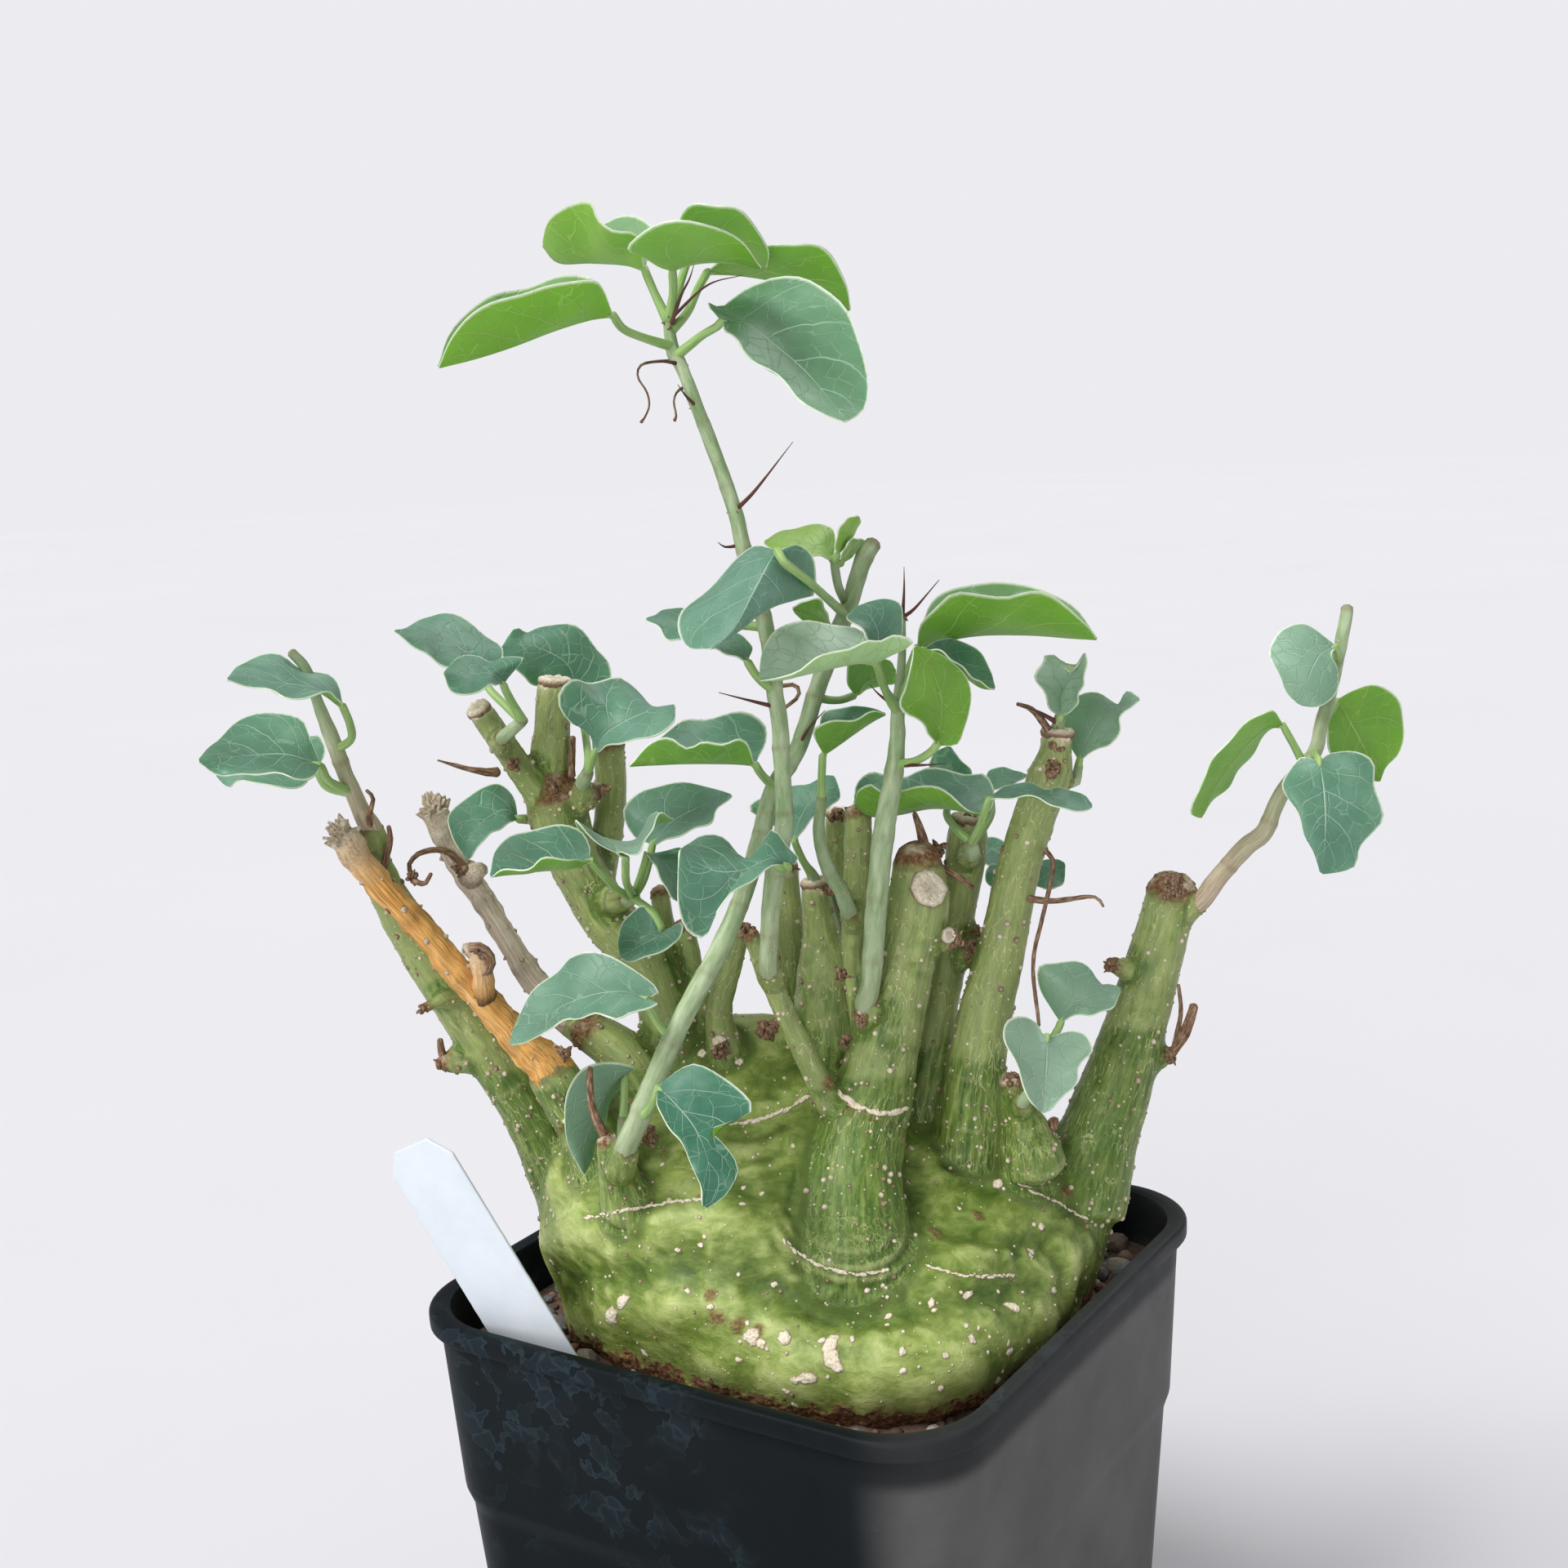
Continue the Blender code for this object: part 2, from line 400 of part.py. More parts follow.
                    [(916, 912, -38), (903, 903, -41), (884, 912, -43), (861, 910, -44), (842, 915, -45),
                     (820, 903, -45),
                     (794, 913, -45)]),
            "D1": ([(822, 1268, -36), (806, 1254, -38), (793, 1232, -41)],
                   (790, 1223, -42), (625, 1278, -36),
                   [(806, 1214, -38), (772, 1184, -34), (735, 1167, -30), (699, 1171, -28), (680, 1192, -26),
                    (651, 1216, -28),
                    (632, 1251, -32)],
                   [(760, 1215, -39), (715, 1222, -36), (668, 1245, -34)],
                   [(805, 1229, -44), (776, 1240, -46), (756, 1250, -46), (731, 1238, -43), (709, 1250, -42),
                    (686, 1251, -40),
                    (648, 1276, -38)]),
            "D4": ([(783, 1368, -38), (794, 1360, -43), (803, 1342, -47)],
                   (806, 1332, -48), (863, 1478, -66),
                   [(806, 1360, -54), (829, 1392, -58), (843, 1418, -61), (857, 1453, -65)],
                   [(826, 1352, -52), (852, 1385, -56), (868, 1430, -62)],
                   [(829, 1313, -46), (854, 1303, -46), (890, 1322, -48), (922, 1356, -52), (896, 1374, -54),
                    (871, 1384, -56),
                    (892, 1410, -58), (904, 1433, -60), (889, 1463, -64)]),
        },
    },
    "shoot_tall": {
        "root": (944, 1200, -23),
        "stems": [[(940, 1186, -27.8, 1.9), (942, 1150, -29, 1.9), (944, 1109, -30, 1.9), (949, 1068, -31, 1.9),
                   (960, 1010, -32, 1.9), (958, 951, -33, 1.7), (955, 887, -33, 1.7), (949, 849, -33, 1.7),
                   (936, 759, -31, 1.6), (911, 675, -29, 1.6), (902, 633, -28, 1.5), (883, 576, -26, 1.4),
                   (852, 495, -23, 1.3), (833, 446, -21, 1.3), (825, 434, -20, 1.4), (818, 394, -18, 1.0)]],
        "thorns": [[(903, 624, -28, 0.8), (925, 600, -32, 0.7), (971, 541, -38, 0.35)],
                   [(899, 669, -29, 0.8), (889, 670, -30, 0.6), (879, 664, -32, 0.35)],
                   [(832, 446, -21, 0.8), (815, 443, -24, 0.6), (791, 443, -27, 0.4)],
                   [(850, 500, -23, 0.8), (840, 485, -26, 0.6), (830, 471, -28, 0.35)],
                   [(952, 866, -33, 0.8), (915, 857, -37, 0.6), (880, 848, -41, 0.4)],
                   [(831, 400, -19, 0.8), (834, 362, -20, 0.7), (844, 342, -20, 0.6), (850, 323, -19, 0.4)],
                   [(834, 362, -20, 0.6), (865, 350, -15, 0.5), (909, 337, -10, 0.35)]],
        "leaves": {
            "T1": ([(818, 424, -20), (795, 416, -24), (765, 404, -28), (753, 390, -31)],
                   (750, 385, -32), (537, 449, -44),
                   [(738, 352, -38), (722, 342, -42), (690, 346, -44), (650, 358, -46), (598, 371, -48),
                    (555, 410, -48)],
                   [(722, 389, -33), (680, 402, -36), (626, 423, -40), (580, 438, -43)],
                   [(728, 345, -28), (718, 339, -25), (680, 340, -26), (640, 353, -30), (592, 367, -36),
                    (552, 405, -42)]),
            "T2": ([(816, 384, -18), (802, 360, -16), (792, 337, -14)],
                   (789, 329, -13), (665, 300, 2),
                   [(783, 290, -20), (752, 284, -22), (735, 268, -20), (722, 247, -17), (691, 254, -12),
                    (669, 274, -6)],
                   [(765, 322, -10), (722, 320, -5), (684, 320, 0)],
                   [(802, 285, -2), (783, 268, 4), (757, 264, 8), (735, 274, 10), (705, 274, 12),
                    (676, 285, 10)]),
            "T4": ([(821, 388, -18), (824, 362, -20), (824, 340, -23)],
                   (823, 331, -24), (932, 328, -38),
                   [(790, 318, -38), (768, 302, -46), (790, 283, -52), (825, 272, -56), (856, 272, -57),
                    (887, 281, -54),
                    (911, 300, -48)],
                   [(835, 324, -32), (862, 318, -37), (895, 319, -39), (915, 323, -39)],
                   [(845, 324, -24), (872, 316, -25), (900, 316, -28), (917, 321, -32)]),
            "T5": ([(822, 386, -16), (832, 350, -8), (842, 318, -4)],
                   (846, 308, -3), (938, 327, -6),
                   [(831, 275, -12), (845, 252, -18), (875, 251, -20), (902, 254, -20), (921, 274, -18),
                    (941, 304, -13)],
                   [(868, 300, -2), (895, 303, -3), (920, 318, -5)],
                   [(850, 286, 6), (872, 272, 9), (900, 275, 8), (922, 296, 4)]),
            "T6": ([(833, 404, -19), (842, 382, -14), (854, 355, -8), (864, 337, -4)],
                   (867, 333, -2), (1041, 379, 4),
                   [(890, 316, -5), (942, 302, -8), (990, 297, -8), (1014, 310, -7), (1035, 342, -3)],
                   [(905, 335, 2), (950, 343, 5), (995, 360, 6), (1024, 374, 5)],
                   [(900, 318, 10), (945, 306, 15), (985, 303, 16), (1012, 318, 14), (1033, 350, 9)]),
            "T7": ([(836, 428, -21), (858, 412, -25), (878, 400, -28)],
                   (884, 393, -30), (1036, 516, -56),
                   [(864, 370, -30), (884, 378, -24), (912, 354, -20), (944, 339, -18), (975, 339, -20),
                    (1003, 352, -24),
                    (1036, 377, -30), (1052, 419, -37), (1063, 469, -45), (1058, 500, -51)],
                   [(915, 398, -34), (950, 425, -38), (985, 455, -43), (1015, 490, -50)],
                   [(888, 404, -38), (903, 420, -44), (918, 436, -47), (959, 468, -51), (983, 491, -54),
                    (1008, 509, -56)]),
            "M11": ([(938, 768, -31), (910, 766, -29), (880, 768, -28)],
                    (862, 770, -27), (791, 759, -30),
                    [(850, 752, -22), (832, 744, -20), (812, 748, -22), (800, 754, -26)],
                    [(845, 766, -27), (815, 762, -28)],
                    [(850, 782, -32), (832, 784, -34), (817, 783, -34), (805, 767, -32)]),
            "M12": ([(946, 846, -33), (930, 832, -36), (918, 815, -39)],
                    (915, 809, -40), (868, 788, -38),
                    [(921, 792, -36), (903, 776, -33), (882, 776, -34)],
                    [(900, 798, -39), (882, 792, -39)],
                    [(905, 806, -44), (885, 799, -44)]),
            "C9": ([(953, 1063, -32), (964, 1064, -38), (964, 1060, -42)],
                   (962, 1058, -43), (832, 1043, -50),
                   [(979, 1054, -42), (968, 1040, -40), (947, 1016, -38), (937, 1031, -40), (914, 1050, -42),
                    (884, 1027, -38),
                    (857, 1024, -38), (840, 1035, -44)],
                   [(944, 1052, -45), (915, 1064, -47), (880, 1068, -50), (850, 1056, -50)],
                   [(944, 1061, -48), (923, 1079, -50), (893, 1093, -52), (874, 1128, -54), (862, 1149, -55),
                    (842, 1140, -56),
                    (830, 1110, -56), (830, 1072, -53)]),
        },
    },
    "leaf_middle_rear": {
        "root": (1001, 1094, 6),
        "stems": [[(997, 1077, 5, 1.4), (994, 1070, 4, 1.2), (990, 1064, 3, 1.0)]],
        "leaves": {
            "M13": ([(994, 1070, 4), (984, 1055, 0), (975, 1036, -3)],
                    (973, 1029, -4), (1022, 952, 2),
                    [(955, 1016, 4), (926, 998, 6), (918, 988, 6), (935, 976, 6), (967, 964, 5),
                     (988, 962, 4), (1008, 950, 3)],
                    [(980, 1005, -2), (990, 985, -1), (1006, 967, 0)],
                    [(985, 1014, -6), (1000, 998, -6), (1016, 988, -4), (1029, 976, -2)]),
        },
    },
    "shoot_thin": {
        "root": (1047, 1130, -7),
        "stems": [[(1039, 1115, -11.5, 1.8), (1030, 1090, -13, 1.7), (1016, 1068, -14, 1.6),
                   (1003, 1023, -16, 1.3),
                   (1006, 975, -17, 1.1)]],
        "leaves": {
            "M9": ([(1006, 978, -17), (1006, 955, -18), (1007, 930, -19)],
                   (1008, 922, -19), (1084, 874, -16),
                   [(998, 905, -25), (996, 892, -27), (1016, 884, -27), (1046, 881, -25), (1070, 871, -20)],
                   [(1022, 913, -18), (1045, 897, -17), (1068, 882, -16)],
                   [(1004, 886, -12), (1010, 871, -8), (1030, 867, -6), (1064, 866, -9)]),
        },
    },
    "shoot_middle": {
        "root": (1066, 1242, -16),
        "stems": [[(1058, 1229, -18, 2.1), (1066, 1205, -19, 2.1), (1073, 1109, -20, 2.3),
                   (1083, 1014, -21, 2.3),
                   (1094, 950, -21, 2.0), (1099, 903, -21, 1.6), (1099, 877, -21, 1.5), (1103, 823, -20, 0.9),
                   (1105, 791, -19, 0.8), (1105, 753, -18, 0.7)]],
        "thorns": [[(1104, 938, -22, 0.9), (1125, 937, -26, 0.7), (1160, 935, -30, 0.35)],
                   [(1105, 756, -18, 0.7), (1107, 725, -18, 0.6), (1107, 694, -18, 0.35)],
                   [(1105, 756, -18, 0.7), (1120, 745, -20, 0.6), (1150, 710, -23, 0.4)],
                   [(1086, 868, -22, 0.8), (1076, 850, -25, 0.6), (1065, 838, -27, 0.35)]],
        "leaves": {
            "M3": ([(1097, 864, -19), (1107, 835, -14), (1118, 806, -11)],
                   (1124, 792, -10), (1343, 782, -6),
                   [(1127, 763, -18), (1147, 744, -22), (1169, 728, -24), (1201, 728, -24), (1233, 729, -24),
                    (1258, 725, -23),
                    (1281, 728, -22), (1309, 744, -19), (1328, 762, -14)],
                   [(1150, 784, -8), (1200, 776, -7), (1262, 776, -6), (1312, 780, -6)],
                   [(1136, 745, 0), (1160, 722, 5), (1200, 716, 8), (1243, 714, 9), (1275, 721, 7),
                    (1315, 744, 3),
                    (1334, 766, -2)]),
            "M4": ([(1092, 868, -22), (1084, 845, -28), (1076, 822, -34)],
                   (1072, 812, -36), (930, 832, -52),
                   [(1117, 786, -40), (1099, 779, -43), (1080, 785, -46), (1060, 783, -49), (1037, 797, -52),
                    (1000, 804, -55),
                    (975, 822, -56), (950, 832, -55)],
                   [(1050, 810, -40), (1007, 819, -46), (965, 829, -51)],
                   [(1060, 782, -30), (1045, 769, -29), (1013, 763, -31), (980, 762, -34), (952, 769, -38),
                    (934, 796, -46)]),
            "M5b": ([(1098, 872, -22), (1088, 855, -25), (1078, 825, -27)],
                    (1072, 800, -27), (1050, 743, -25),
                    [(1060, 776, -30), (1048, 764, -30), (1036, 757, -28)],
                    [(1074, 775, -27), (1063, 752, -26)],
                    [(1101, 790, -23), (1104, 745, -22), (1086, 733, -22), (1066, 737, -23)]),
            "M6": ([(1104, 937, -22), (1118, 933, -24), (1138, 922, -25)],
                   (1147, 912, -26), (1120, 792, -34),
                   [(1138, 899, -32), (1124, 882, -36), (1107, 871, -37), (1101, 859, -37), (1107, 843, -37),
                    (1115, 822, -37)],
                   [(1150, 880, -27), (1150, 850, -29), (1138, 818, -32)],
                   [(1172, 912, -26), (1180, 893, -25), (1190, 858, -24), (1184, 833, -25), (1169, 813, -27),
                    (1145, 798, -31)]),
            "M7": ([(1100, 860, -21), (1112, 836, -22), (1124, 808, -21)],
                   (1130, 796, -20), (1218, 843, -16),
                   [(1152, 797, -22), (1169, 810, -23), (1188, 826, -22), (1207, 840, -19)],
                   [(1150, 806, -16), (1178, 824, -14), (1200, 840, -15)],
                   [(1149, 784, -13), (1169, 782, -8), (1188, 791, -6), (1204, 804, -7), (1214, 824, -11)]),
        },
    },
    "spray_right_middle": {
        "root": (1183, 1050, 3),
        "stems": [[(1190, 1046, -3, 1.7), (1190, 1038, -5, 1.6), (1189, 1030, -6.5, 1.3)]],
        "leaves": {
            "M14": ([(1190, 1034, -5.5), (1196, 1018, -8), (1203, 1004, -9)],
                    (1203, 998, -10), (1046, 984, -8),
                    [(1190, 993, -15), (1175, 984, -17), (1148, 964, -16), (1125, 961, -15), (1100, 970, -15),
                     (1081, 971, -15),
                     (1067, 959, -14), (1051, 968, -12)],
                    [(1180, 991, -9), (1140, 988, -7), (1100, 996, -7), (1066, 998, -7)],
                    [(1214, 990, -6), (1217, 970, 0), (1206, 947, 4), (1180, 948, 6), (1137, 941, 6),
                     (1100, 952, 5),
                     (1067, 946, 2), (1050, 958, -3)]),
            "M16": ([(1189, 1031, -6), (1172, 1016, -4), (1160, 1000, 5), (1160, 988, 12)],
                    (1162, 980, 14), (1162, 914, 12),
                    [(1146, 965, 15), (1138, 940, 15), (1144, 922, 14)],
                    [(1165, 960, 13), (1165, 935, 12)],
                    [(1184, 965, 12), (1190, 945, 11), (1174, 928, 11)]),
            "M17": ([(1190, 1031, -6), (1206, 1012, -2), (1214, 995, 5), (1213, 978, 12)],
                    (1211, 968, 14), (1257, 950, 14),
                    [(1208, 955, 17), (1212, 943, 19), (1228, 940, 19), (1244, 944, 17)],
                    [(1225, 956, 14), (1243, 953, 14)],
                    [(1220, 966, 11), (1241, 960, 11)]),
            "M18": ([(1190, 1032, -6), (1200, 1012, -12), (1207, 990, -16)],
                    (1211, 978, -17), (1337, 987, -20),
                    [(1228, 966, -14), (1256, 957, -12), (1278, 968, -13), (1296, 963, -14), (1313, 970, -15),
                     (1329, 974, -18)],
                    [(1240, 971, -17), (1275, 976, -18), (1305, 980, -19)],
                    [(1241, 977, -20), (1272, 976, -21), (1290, 988, -22), (1310, 992, -23), (1330, 993, -22)]),
        },
    },
    "spray_right_top": {
        "root": (1294, 908, 0),
        "stems": [[(1295, 893, -0.5, 1.5), (1296, 885, -1.2, 1.3), (1298, 878, -2.4, 1.2)]],
        "thorns": [[(1296, 886, -1.2, 1.0), (1272, 872, -6, 0.9), (1245, 862, -10, 0.35)]],
        "leaves": {
            "M19": ([(1297, 881, -2), (1298, 879, -3)],
                    (1299, 877, -3), (1328, 800, -14),
                    [(1286, 868, -7), (1279, 850, -10), (1267, 830, -12), (1279, 811, -12), (1277, 804, -11),
                     (1289, 803, -9),
                     (1300, 813, -8), (1312, 823, -9)],
                    [(1298, 855, -2), (1305, 838, -4), (1318, 820, -9)],
                    [(1316, 867, -7), (1326, 836, -14), (1331, 817, -16)]),
        },
    },
    "leaf_right_top": {
        "root": (1298, 958, 1),
        "stems": [[(1316, 957, 1, 1.2), (1319, 948, 2, 1.1), (1321, 938, 3, 1.0)]],
        "leaves": {
            "M20": ([(1321, 940, 3), (1321, 934, 3)],
                    (1322, 930, 3), (1395, 856, -2),
                    [(1306, 905, 8), (1303, 875, 10), (1318, 853, 11), (1342, 849, 10), (1362, 858, 7),
                     (1370, 862, 4),
                     (1381, 846, 2)],
                    [(1332, 905, 4), (1348, 880, 4), (1366, 869, 2), (1383, 860, 0)],
                    [(1345, 916, 0), (1361, 912, -3), (1370, 896, -4), (1372, 879, -4), (1382, 868, -5)]),
        },
    },
    "spray_right_rear": {
        "root": (1246, 1086, -2),
        "stems": [[(1246, 1078, 4, 1.5), (1246, 1072, 8, 1.3), (1246, 1066, 11, 1.1)]],
        "leaves": {
            "E4a": ([(1246, 1069, 10), (1240, 1062, 13), (1234, 1058, 15)],
                    (1232, 1057, 16), (1198, 1050, 24),
                    [(1232, 1036, 24), (1222, 1026, 27), (1208, 1028, 28)],
                    [(1224, 1050, 18), (1210, 1050, 20)],
                    [(1222, 1060, 12), (1206, 1058, 16)]),
            "E4b": ([(1246, 1070, 10), (1238, 1068, 12), (1231, 1062, 14)],
                    (1229, 1060, 14), (1218, 1088, 8),
                    [(1214, 1058, 12), (1207, 1068, 9), (1208, 1080, 8)],
                    [(1222, 1070, 11), (1218, 1080, 9)],
                    [(1232, 1070, 14), (1230, 1082, 12)]),
            "E4c": ([(1247, 1069, 11), (1256, 1078, 14), (1264, 1082, 16)],
                    (1267, 1083, 16), (1304, 1058, 20),
                    [(1268, 1066, 20), (1276, 1055, 23), (1292, 1052, 23)],
                    [(1280, 1074, 17), (1292, 1066, 19)],
                    [(1284, 1089, 13), (1302, 1082, 15)]),
        },
    },
    "leaf_right_low_rear": {
        "root": (1199, 1292, -6),
        "stems": [[(1198, 1290, 1, 1.5), (1197, 1284, 5, 1.3), (1195, 1276, 8, 1.1)]],
        "leaves": {
            "E3": ([(1196, 1280, 7), (1192, 1272, 11), (1188, 1266, 13)],
                   (1186, 1263, 14), (1148, 1250, 22),
                   [(1182, 1244, 18), (1174, 1237, 21), (1158, 1240, 23)],
                   [(1176, 1257, 16), (1162, 1254, 19)],
                   [(1176, 1268, 12), (1160, 1266, 16)]),
        },
    },
    "spray_right_low": {
        "root": (1251, 1364, -14),
        "stems": [[(1253, 1349, -19.6, 1.4), (1262, 1335, -20, 1.2), (1275, 1305, -19, 1.1),
                   (1286, 1280, -17, 1.0)]],
        "leaves": {
            "E1": ([(1284, 1284, -17), (1291, 1268, -15), (1298, 1256, -14)],
                   (1299, 1251, -14), (1372, 1212, -12),
                   [(1290, 1238, -10), (1274, 1213, -8), (1272, 1184, -8), (1292, 1179, -8), (1318, 1177, -8),
                    (1334, 1186, -9),
                    (1345, 1204, -10), (1360, 1205, -11)],
                   [(1314, 1230, -13), (1340, 1218, -13)],
                   [(1314, 1244, -16), (1341, 1242, -18), (1363, 1233, -17)]),
            "E2": ([(1282, 1288, -18), (1284, 1280, -21), (1283, 1273, -23)],
                   (1282, 1269, -24), (1276, 1362, -34),
                   [(1266, 1250, -21), (1249, 1244, -22), (1232, 1251, -24), (1229, 1268, -26),
                    (1239, 1292, -29), (1247, 1311, -31),
                    (1260, 1346, -34)],
                   [(1281, 1300, -26), (1279, 1332, -30)],
                   [(1296, 1266, -22), (1315, 1263, -22), (1331, 1268, -23), (1338, 1287, -26),
                    (1322, 1305, -28), (1319, 1326, -30),
                    (1303, 1342, -32), (1288, 1357, -34)]),
        },
    },
    "shoot_far_right": {
        "root": (1452, 1114, 8),
        "stems": [[(1470, 1104, 6.6, 2.2), (1494, 1072, 6, 2.1), (1525, 1038, 5, 2.0), (1548, 1018, 4, 2.0),
                   (1563, 984, 4, 1.7), (1579, 957, 4, 1.6), (1609, 923, 5, 1.6), (1617, 892, 6, 1.5),
                   (1625, 862, 7, 1.5), (1636, 816, 8, 1.4), (1648, 758, 9, 1.4), (1649, 744, 9, 1.3)]],
        "leaves": {
            "R1a": ([(1639, 806, 7.5), (1637, 799, 5), (1636, 795, 3)],
                    (1635, 792, 2), (1592, 863, -4),
                    [(1622, 781, 3), (1596, 763, 4), (1567, 774, 4), (1554, 799, 2), (1566, 825, -1),
                     (1575, 848, -3)],
                    [(1616, 802, -1), (1602, 830, -4)],
                    [(1630, 800, -1), (1639, 827, -2), (1632, 854, -4), (1612, 866, -5)]),
            "R1b": ([(1622, 880, 6), (1630, 870, 10), (1635, 861, 12)],
                    (1636, 858, 13), (1688, 957, 16),
                    [(1628, 875, 11), (1624, 896, 9), (1630, 922, 9), (1652, 945, 12)],
                    [(1652, 885, 14), (1670, 918, 16)],
                    [(1655, 846, 16), (1682, 838, 19), (1701, 846, 21), (1716, 864, 22), (1719, 896, 22),
                     (1712, 923, 20),
                     (1697, 940, 18)]),
            "R1c": ([(1609, 920, 5), (1612, 926, 1), (1614, 930, -3)],
                    (1615, 931, -4), (1618, 1069, -14),
                    [(1592, 928, -2), (1574, 950, -4), (1571, 968, -6), (1590, 996, -10), (1597, 1023, -13),
                     (1610, 1047, -14)],
                    [(1620, 965, -7), (1622, 1000, -11), (1621, 1035, -14)],
                    [(1630, 922, -2), (1659, 921, -1), (1682, 934, -1), (1684, 964, -3), (1693, 1000, -5),
                     (1684, 1017, -7),
                     (1665, 1038, -10), (1659, 1060, -12), (1640, 1068, -13)]),
            "R1d": ([(1594, 933, 4), (1584, 912, 5), (1574, 894, 5)],
                    (1571, 888, 5), (1470, 1001, -2),
                    [(1559, 869, -1), (1546, 874, -4), (1518, 892, -6), (1489, 923, -7), (1477, 950, -7),
                     (1460, 980, -7),
                     (1459, 997, -5)],
                    [(1545, 893, 3), (1510, 930, 1), (1484, 968, -1)],
                    [(1557, 892, 9), (1535, 919, 9), (1508, 957, 6), (1479, 988, 1)]),
        },
    },
}

# The label on the picture: the middles of its top and its foot, and a place beside its top that turns its face.
LABEL_TOP = (503, 1402, -27)
LABEL_FOOT = (655, 1650, -30)
LABEL_SIDE = (576, 1425, -32)
LABEL_BURIED = 22.0


def material(name):
    """A Principled material in one of the object's own colours."""
    made = bpy.data.materials.get(name)
    if made is None:
        made = bpy.data.materials.new(name)
        made.use_nodes = True
        colour, roughness = COLOURS[name]
        shader = made.node_tree.nodes["Principled BSDF"]
        shader.inputs["Base Color"].default_value = (*colour, 1.0)
        shader.inputs["Roughness"].default_value = roughness
        shader.inputs["Metallic"].default_value = 0.0
    return made


def mesh_object(name, builder, collection, millimetres=True):
    """An object from a bmesh that is drawn in millimetres."""
    if millimetres:
        bmesh.ops.scale(builder, vec=(0.001, 0.001, 0.001), verts=builder.verts)
    mesh = bpy.data.meshes.new(name)
    builder.to_mesh(mesh)
    builder.free()
    made = bpy.data.objects.new(name, mesh)
    collection.objects.link(made)
    return made


def finish(made, colour):
    """One material, smooth shading on round faces and the object's own name."""
    made.data.materials.clear()
    made.data.materials.append(material(colour))
    made.data.shade_smooth()
    made.data.set_sharp_from_angle(angle=math.radians(40))


def stem(name, route, collection, sides=8, per_span=1):
    """A round stem through (across, down, back, radius) points, as a closed mesh with flat ends."""
    points = [spot(place) for place in route]
    radii = [place[3] for place in route]
    return tube(name, points, radii, collection, sides, per_span)


def tube(name, points, radii, collection, sides=8, per_span=1):
    """A round tapered tube through points in millimetres."""
    if len(points) > 2 and per_span > 0:
        count = (len(points) - 1) * per_span
        reach = [0.0]
        for a, b in zip(points, points[1:]):
            reach.append(reach[-1] + (b - a).length)
        route = smooth_route(points, count)
        widths = []
        for k in range(count + 1):
            goal = reach[-1] * k / count
            j = max(i for i in range(len(points) - 1) if reach[i] <= goal + 1e-6)
            share = (goal - reach[j]) / max(reach[j + 1] - reach[j], 1e-9)
            widths.append(radii[j] + (radii[j + 1] - radii[j]) * min(share, 1.0))
    else:
        route, widths = points, radii
    curve = bpy.data.curves.new(name, "CURVE")
    curve.dimensions = "3D"
    curve.bevel_depth = 0.001
    curve.bevel_resolution = (sides - 4) // 2
    curve.use_fill_caps = True
    spline = curve.splines.new("POLY")
    spline.points.add(len(route) - 1)
    for point, place, width in zip(spline.points, route, widths):
        point.co = (*(place * 0.001), 1.0)
        point.radius = width
    drawn = bpy.data.objects.new(name, curve)
    collection.objects.link(drawn)
    bpy.context.view_layer.update()
    mesh = bpy.data.meshes.new_from_object(drawn.evaluated_get(bpy.context.evaluated_depsgraph_get()))
    made = bpy.data.objects.new(name, mesh)
    made.matrix_world = drawn.matrix_world
    collection.objects.link(made)
    bpy.data.objects.remove(drawn)
    builder = bmesh.new()
    builder.from_mesh(mesh)
    bmesh.ops.remove_doubles(builder, verts=builder.verts, dist=1e-6)
    bmesh.ops.recalc_face_normals(builder, faces=builder.faces)
    builder.to_mesh(mesh)
    builder.free()
    return made


def leaf_grid(base, tip, rows, along, across):
    """Points of a leaf's middle surface: along + 1 lines of across + 1 points, from base to tip."""
    rows = [[spot(place) for place in row] for row in rows]
    base_side = (rows[2][0] - rows[0][0]).normalized()
    tip_side = (rows[2][-1] - rows[0][-1]).normalized()
    edges = []
    for side, row in zip((-1, 0, 1), rows):
        start = base + base_side * side * LEAF_END
        end = tip + tip_side * side * LEAF_END
        edges.append(smooth_route([start] + row + [end], along))
    grid = []
    for i in range(along + 1):
        near, middle, far = (edge[i] for edge in edges)
        line = []
        for j in range(across + 1):
            v = 2.0 * j / across - 1.0
            line.append(near * (v * v - v) / 2 + middle * (1 - v * v) + far * (v * v + v) / 2)
        grid.append(line)
    return grid


def blade(name, leaf, collection):
    """A leaf blade: a waved sheet of triangles, alike on both faces, with Solidify's thickness."""
    base = spot(leaf[1])
    tip = spot(leaf[2])
    reach = max(route_length([base] + [spot(place) for place in row] + [tip]) for row in leaf[3:6])
    along = 7 if reach > 24 else 5 if reach > 14 else 4
    across = 2
    grid = leaf_grid(base, tip, leaf[3:6], along, across)
    builder = bmesh.new()
    verts = [[builder.verts.new(point) for point in line] for line in grid]
    for i in range(along):
        for j in range(across):
            a, b, c, d = verts[i][j], verts[i][j + 1], verts[i + 1][j + 1], verts[i + 1][j]
            if (i + j) % 2:
                builder.faces.new((a, b, c))
                builder.faces.new((a, c, d))
            else:
                builder.faces.new((a, b, d))
                builder.faces.new((b, c, d))
    made = mesh_object(name, builder, collection)
    shell = made.modifiers.new("thickness", "SOLIDIFY")
    shell.thickness = LEAF_THICKNESS * 0.001
    shell.offset = 0.0
    return made


